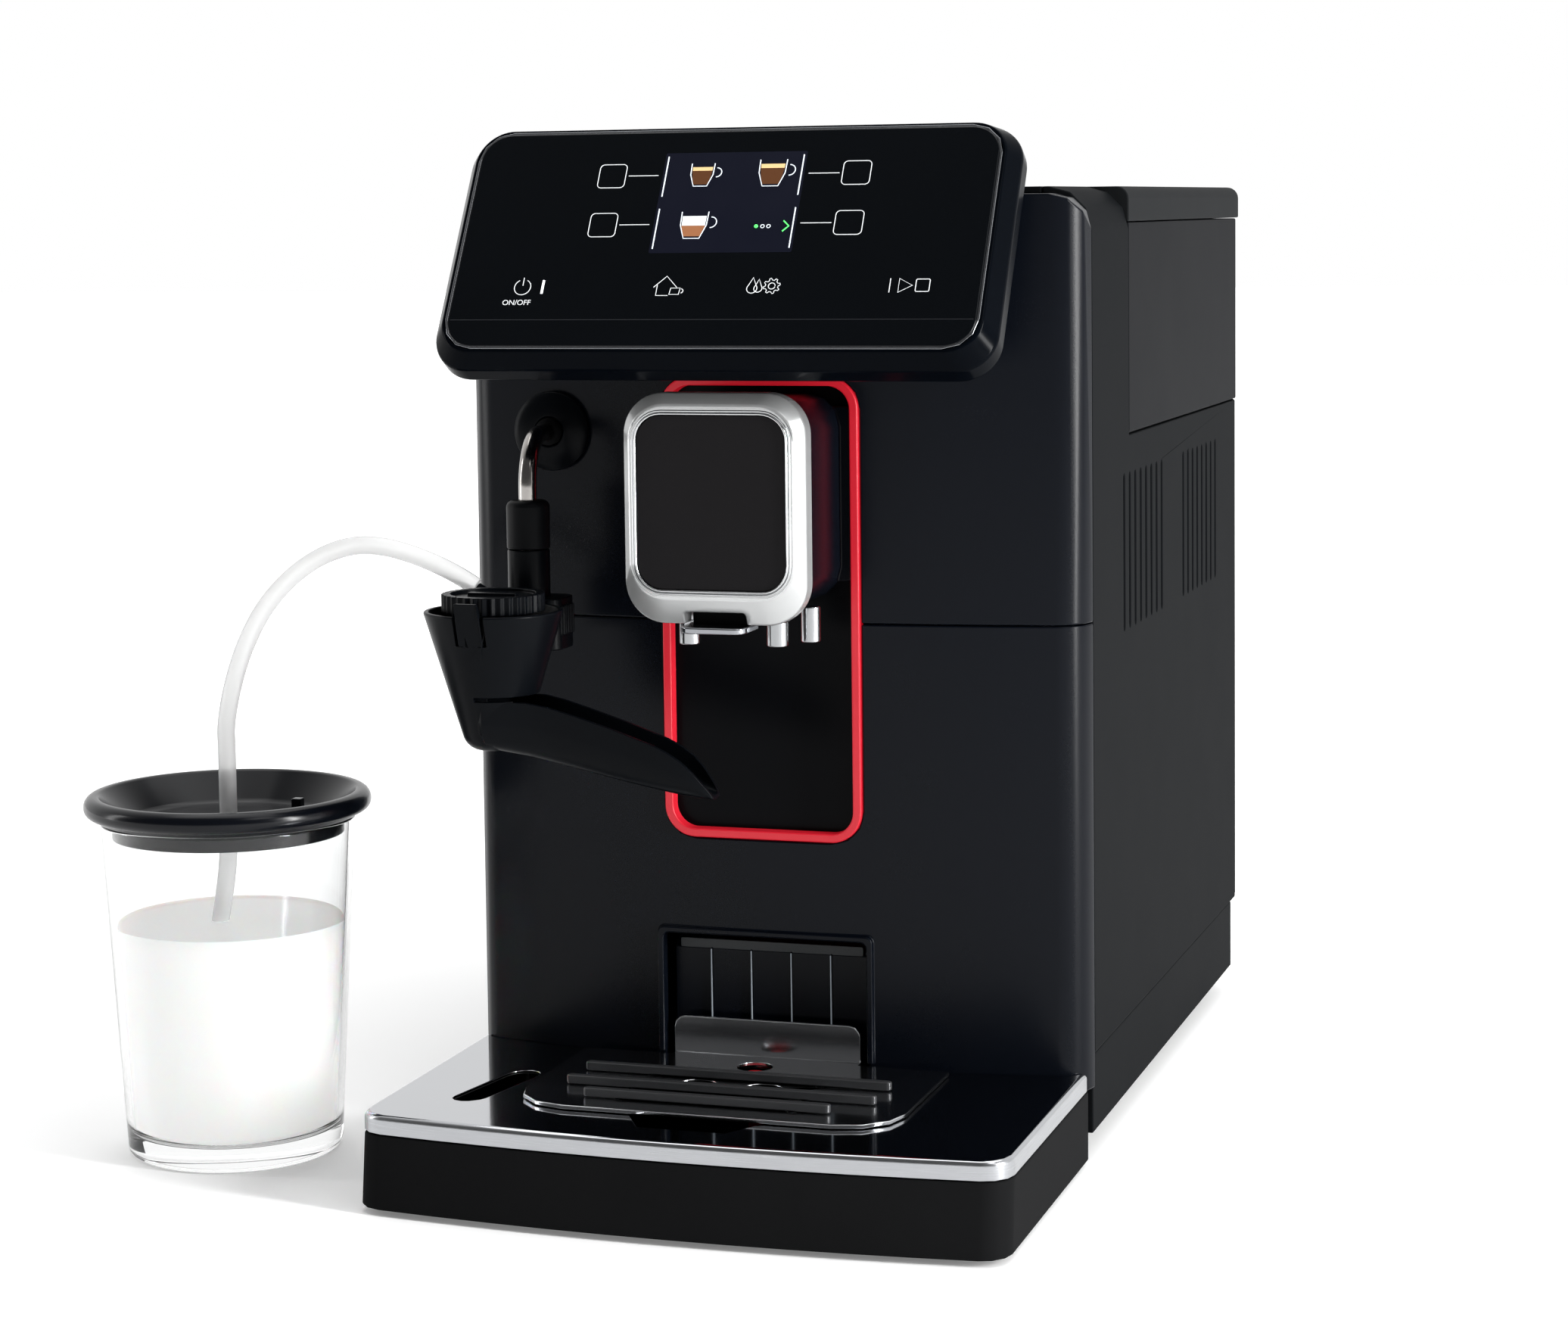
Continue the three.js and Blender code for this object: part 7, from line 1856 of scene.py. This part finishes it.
    def screen(self) -> None:
        """Models the display's lit picture: cups, side bars, dots and an arrow."""
        low, high = self.screen_low, self.screen_high
        low_corner, high_corner = (low[0], -0.03, low[1]), (high[0], 0.3, high[1])
        glow = Blank.slab("display_picture", low_corner, high_corner, Facing.FRONT, 0.6)
        self.fit(self.settle(glow), "machine", "screen_dark")
        layers = ("coffee", "cream", "latte", "froth")
        self.marks: list[Blank] = []
        self.layers: dict[str, list[Blank]] = {name: [] for name in layers}
        self.cup((-10.2, 64.9), 8.8, 0.16, "coffee", "cream")
        self.cup((14.4, 65.3), 10.2, 0.16, "coffee", "cream")
        self.cup((-10.0, 45.4), 10.2, 0.36, "latte", "froth")
        for across in (low[0] + 1.1, high[0] - 1.1):
            for bottom, top in ((36.4, 51.8), (56.6, 72.2)):
                self.marks.append(self.draw([(across, bottom), (across, top)], False, 0.24))
        up = self.dots_up
        for across in self.dots_at[1:]:
            self.marks.append(self.draw(self.ring((across, up), 0.62), True, 0.16))
        green = [
            self.draw(self.ring((self.dots_at[0], up), 0.36), True, 0.36),
            self.draw([(21.3, up + 2.0), (23.3, up), (21.3, up - 2.0)], False, 0.28),
        ]
        self.group("display_marks", self.marks, "screen_cup")
        for name, blanks in self.layers.items():
            self.group("display_" + name, blanks, "screen_" + name)
        self.group("display_green", green, "screen_green")

    def group(self, name: str, blanks: list[Blank], finish: str) -> None:
        """Joins upright drawings into one piece on the glass."""
        self.fit(self.settle(Blank.joined(name, blanks)), "machine", finish)

    def build(self) -> None:
        """Rounds the housing, models the glass and prints it."""
        self.housing()
        self.round_nodes("machine", "dark_chrome", 0.2, "panel_trim")
        glass = Blank.slab(
            "panel_glass_sheet",
            (-self.glass_half, 0.0, -0.3),
            (self.glass_half, 2.0, self.glass_slant),
            Facing.FRONT,
            self.glass_round,
            0.6,
            corner_steps=12,
        )
        self.fit(self.settle(glass), "machine", "panel_print", "panel_glass")
        self.screen()
        self.group("panel_marks", self.keys() + self.icons(), "white_print")
        self.group("on_off_print", [self.words()], "white_print")
        ends = [(self.lamp_at, self.icon_up + up) for up in (-2.5, 2.5)]
        self.group("power_lamp", [self.draw(ends, False, 0.42)], "white_lamp")
        side = self.glass_half - 1.0
        ends = [(-side, self.step_up), (side, self.step_up)]
        self.group("panel_step_line", [self.draw(ends, False, 0.1)], "faint_line")


@dataclass
class Wand(Assembly):
    """The steam wand with its milk frother."""

    ball: Point = (-76.8, -109.5, 252.6)
    ball_radius: float = 4.8
    corner: Flat = (-72.0, -141.9)
    bend: float = 17.0
    pipe_radius: float = 3.1
    pipe_end: float = 206.0
    sleeve_radius: float = 7.4
    sleeve_span: Flat = (215.0, 231.5)
    sleeve_gap: float = 0.15
    cup: Flat = (-72.0, -174.5)
    cup_outline: tuple[Flat, ...] = (
        (0.0, 150.9), (9.3, 150.9), (23.4, 197.6), (21.6, 197.6), (14.0, 172.3), (0.0, 172.3),
    )
    cup_clip: float = 202.2
    slit_deep: float = 10.0
    slit_out: float = 4.7
    slit_half: float = 0.65
    scoop_wall: float = 1.5
    mouth: Flat = (168.5, 170.0)
    stations: tuple[tuple[float, float, float, float], ...] = (
        (-4.0, 10.0, 167.2, 154.0),
        (0.5, 13.7, 167.9, 151.5),
        (6.0, 12.6, 168.3, 150.6),
        (14.4, 10.6, 168.3, 149.2),
        (22.0, 9.6, 166.9, 147.5),
        (31.3, 9.0, 164.3, 145.5),
        (44.0, 8.6, 160.4, 142.6),
        (57.9, 8.4, 155.6, 139.9),
        (63.0, 8.2, 153.2, 139.0),
        (67.6, 7.7, 150.2, 138.3),
        (71.4, 6.9, 146.5, 137.8),
        (74.4, 5.8, 142.8, 137.5),
        (76.6, 4.6, 139.9, 137.3),
        (77.4, 3.6, 138.3, 137.2),
    )

    def pipe(self) -> None:
        """Bends the steel pipe from its ball forward and down."""
        start = Vector(self.ball)
        corner = Vector((*self.corner, self.ball[2]))
        end = Vector((*self.corner, self.pipe_end))
        ahead = (corner - start).normalized()
        down = Vector((0, 0, -1))
        middle = corner - ahead * self.bend + down * self.bend
        points = [start, corner - ahead * (self.bend + 6.0)]
        steps = 16
        for step in range(steps + 1):
            angle = math.pi / 2 * step / steps
            points.append(middle + (-down * math.cos(angle) + ahead * math.sin(angle)) * self.bend)
        points.append(end)
        tube = Blank.tube("steam_pipe_bent", [point * MM for point in points], self.pipe_radius, 8)
        size = self.ball_radius
        angles = [math.radians(turn) for turn in range(-75, 90, 15)]
        outline = [(size * math.cos(angle), size * math.sin(angle)) for angle in angles]
        ends = (0.0, -size), (0.0, size)
        ball = Blank.turned("wand_ball", [ends[0], *outline, ends[1]], (0.0, 0.0), 32)
        ball.obj.location = metres(self.ball)
        ball.settle()
        self.fit(tube, "wand", "bent_pipe", "steam_pipe")
        self.fit(ball, "wand", "matt_black_trim")

    def sleeve(self) -> None:
        """Turns the rubber sleeve with its rounded shoulder."""
        low, high = self.sleeve_span
        inner, outer = self.pipe_radius + self.sleeve_gap, self.sleeve_radius
        outline = rounded(
            [(inner, low), (outer, low), (outer, high), (inner, high), (inner, low)],
            {1: 0.6, 2: 2.4},
        )[:-1]
        sleeve = Blank.turned("wand_sleeve_grip", outline, self.corner, 64, closed=True)
        self.fit(sleeve, "wand", "soft_rubber", "wand_sleeve")

    def scoop_form(self, name: str, inset: float, lift: float, reach: float) -> Blank:
        """Draws the scoop's form out from under the cup to its tip.

        Args:
            name: the piece's name.
            inset: how far its sides and keel lie inside the outer form.
            lift: how far its top stands over the scoop's edge.
            reach: how far it goes on past both ends.

        Returns:
            The form as a closed solid.
        """
        x, y = self.cup
        rows = [
            [across, half - inset, top + lift, keel + inset]
            for across, half, top, keel in self.stations
        ]
        rows[0][0] -= reach
        rows[-1][0] += reach
        across, half, top, keel = rows[0]
        half_way = (top + keel) / 2
        middle = (x + across, y, half_way)
        form = Blank.sheet(name, middle, 2 * half, top - keel, Facing.RIGHT)
        form.soften_corners(0.8 * half, 12, lambda place, way: place[2] < half_way)
        with form.edit():
            form.pick_all(Pick.FACES)
            for before, after in zip(rows, rows[1:]):
                form.extrude(metres((after[0] - before[0], 0, after[2] - before[2])))
                deep = (after[2] - after[3]) / (before[2] - before[3])
                form.resize((1, after[1] / before[1], deep), (x + after[0], y, after[2]))
            form.face_out()
        return form

    def cup_and_scoop(self) -> None:
        """Models the frother's cup and its open scoop as the one moulding they are."""
        x, y = self.cup
        foot_point, rim = self.cup_outline[1], self.cup_outline[2]
        lean = (rim[0] - foot_point[0]) / (rim[1] - foot_point[1])
        foot = rim[1] - self.slit_deep
        outline = rounded(self.cup_outline, {1: 6.5, 2: 0.6, 3: 0.5, 4: 2.5})
        for height in (*self.mouth, 178.0, foot - 0.3, foot + 3.3, foot + 6.6):
            after = next(n for n, point in enumerate(outline) if point[1] > height)
            outline.insert(after, (foot_point[0] + (height - foot_point[1]) * lean, height))
        cup = Blank.turned("frother_cup_and_scoop", outline, self.cup, 96)
        cup.fuse(self.scoop_form("outer_form", 0.0, 0.0, 0.0))
        cup.cut(self.scoop_form("channel", self.scoop_wall, 1.2, 2.5))
        low, high = self.mouth
        cup.cut(Blank.slab("mouth", (x - 1.5, y - 30, low), (x + 40, y + 30, high), Facing.UP))
        face = y - (rim[0] - self.slit_deep * lean - 0.06)
        low_corner, high_corner = (x - 4, face, foot), (x + 4, face + 1.6, self.cup_clip)
        clip = Blank.slab("clip", low_corner, high_corner, Facing.FRONT, 0.5)
        with clip.edit():
            clip.pick(Pick.POINTS, lambda place, way: place[2] > foot + 1.0)
            out = metres((0, -(self.cup_clip - foot) * lean, 0))
            bpy.ops.transform.translate(value=tuple(out))
        cup.fuse(clip)
        for side in (-1, 1):
            slit, half = x + side * self.slit_out, self.slit_half
            low_corner, high_corner = (slit - half, y - 27, foot), (slit + half, y - 15, rim[1] + 2)
            cup.cut(Blank.slab("slit", low_corner, high_corner, Facing.FRONT))
        with cup.edit():
            cup.merge(1e-5)
        cup.bevel_all(0.25, 2, 38.0)
        self.fit(cup, "wand", "frother_black", "frother_cup", "frother_spout", angle=35.0)

    def build(self) -> None:
        """Rounds the wand's pieces, models its pipe and sleeve and dresses them."""
        self.round_nodes("machine", "frother_black", 0.6, "wand_flange")
        self.pipe()
        self.sleeve()
        self.round_nodes("wand", "frother_black", 0.5, "frother_socket")
        self.cup_and_scoop()
        self.round_nodes("knob", "frother_black", 0.3, "frother_knob")


@dataclass
class MilkSet(Assembly):
    """The milk glass with its lid, the milk and the hose."""

    hose_radius: float = 3.15
    fascia: float = -108.9
    route: tuple[Point, ...] = (
        (-88.6, 40.1, 202.1), (-94, 40.5, 205.4), (-102, 40.9, 209.3), (-112, 41, 212.9),
        (-122.5, 40.7, 215.2), (-133.5, 40.1, 215.3), (-146, 39.3, 211.6), (-158.5, 38.5, 203.8),
        (-169.5, 37.8, 192.6), (-177.8, 37.3, 178.6), (-183.4, 37.1, 163), (-186, 36.9, 150),
        (-186, 36.9, 142), (-186, 36.9, 128), (-186, 36.9, 114), (-186.8, 36.9, 101),
        (-188.8, 36.9, 88), (-191.4, 36.9, 75), (-194, 36.9, 62),
    )
    steps_between: int = 10
    bend_ends: Point = (-150, -146.5, 209)
    middle: Flat = (-186.0, -145.8)
    level: float = 81.0
    creep: float = 1.0
    round_steps: int = 128
    mixes: tuple[tuple[tuple[int, int], ...], ...] = (
        ((0, 1), (1, 2), (2, 3)),
        ((0, 2), (1, 3)),
        ((1, 2),),
    )

    def line(self) -> list[Vector]:
        """The hose's centreline in metres: one smooth curve through its route."""
        knots = [metres((x, self.fascia - reach, z)) for x, reach, z in self.route]
        ends = [2 * knots[0] - knots[1], *knots, 2 * knots[-1] - knots[-2]]
        made = [knots[0]]
        for a, b, c, d in zip(ends, ends[1:], ends[2:], ends[3:]):
            times = [0.0]
            for first, second in ((a, b), (b, c), (c, d)):
                times.append(times[-1] + math.sqrt((second - first).length))
            for step in range(1, self.steps_between + 1):
                t = times[1] + (times[2] - times[1]) * step / self.steps_between
                made.append(self.at(t, times, (a, b, c, d)))
        return made

    def at(self, t: float, times: Sequence[float], knots: Sequence[Vector]) -> Vector:
        """One point of the curve, by repeated mixing.

        Args:
            t: where on the curve.
            times: the four knots' own times.
            knots: the four knots.

        Returns:
            The point.
        """
        rows = list(knots)
        for pairs in self.mixes:
            rows = [
                before * ((times[high] - t) / (times[high] - times[low]))
                + after * ((t - times[low]) / (times[high] - times[low]))
                for (low, high), before, after in zip(pairs, rows, rows[1:])
            ]
        return rows[0]

    def hose(self) -> None:
        """Runs the hose from the frother down into the milk."""
        path = self.line()
        blank = Blank.tube("milk_hose_run", path, self.hose_radius, 6)
        blank.smooth()
        self.paints.dress(blank.obj, "silicone_hose")
        length = sum((b - a).length for a, b in zip(path, path[1:]))
        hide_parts("milk_hose")
        tuple(path[0])
        [tuple(point) for point in path]
        bend_ends = tuple(metres(self.bend_ends))
        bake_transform(blank.obj, "wand", "machine", start=tuple(path[0]), end=bend_ends)
        log.info("milk_hose_run: %.3f m long", length)

    def glass(self) -> None:
        """Turns the drinking glass, with its thick base and rounded mouth."""
        outline = rounded(
            [
                (0, 1.2), (31, 1.2), (33, 0), (37.6, 0), (44.5, 118.5), (42.2, 118.5),
                (35.5, 8), (0, 8),
            ],
            {3: 2.6, 4: 1.0, 5: 0.9, 6: 4.0},
        )
        glass = Blank.turned("milk_glass_blown", outline, self.middle, self.round_steps)
        self.fit(glass, "machine", "drinking_glass", "milk_glass")

    def milk(self) -> None:
        """Turns the milk, which creeps a little up the glass at its edge."""
        top = self.level
        outline = rounded(
            [(0, 8.25), (35.3, 8.25), (39.85, top + self.creep), (38.4, top), (0, top)],
            {1: 3.8},
        )
        milk = Blank.turned("milk", outline, self.middle, self.round_steps)
        self.fit(milk, "machine", "milk_white")

    def lid(self) -> None:
        """Turns the lid, with its bead, dish, plug and hose hole, and adds its peg."""
        outline = rounded(
            [
                (3.45, 114.4), (38.4, 114.4), (38.4, 112.8), (40.6, 112.8), (40.6, 118.8),
                (45.4, 118.8), (46.8, 120.2), (50.2, 120.2), (50.2, 127.4), (45.2, 127.4),
                (35.0, 116.8), (3.45, 116.8), (3.45, 114.4),
            ],
            {1: 0.6, 2: 0.6, 3: 0.6, 7: 3.0, 8: 3.6, 9: 1.8, 10: 5.0, 11: 0.4},
        )[:-1]
        steps = self.round_steps
        lid = Blank.turned("glass_lid_turned", outline, self.middle, steps, closed=True)
        x, y = self.middle
        low, high = (x + 25.2, y - 1.8, 116.6), (x + 28.8, y + 1.8, 125.8)
        peg = Blank.slab("peg", low, high, Facing.UP, 0.5, 0.4)
        self.fit(lid.join(peg), "glass_cover", "lid_gloss", "glass_lid")

    def build(self) -> None:
        """Models the glass, its milk and its lid."""
        self.glass()
        self.milk()
        self.lid()


def main() -> None:
    """Builds the studio, then each sub-assembly in turn."""
    logging.basicConfig(level=logging.INFO, format="%(name)s %(message)s")
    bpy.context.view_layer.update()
    paints = Paintbox()
    studio = Studio()
    studio.camera()
    milk = MilkSet(paints)
    milk.hose()
    studio.build()
    for kind in (Shell, Top, Inside, Tray, Spout, Panel, Wand):
        kind(paints).build()
    milk.build()


if __name__ == "__main__":
    main()
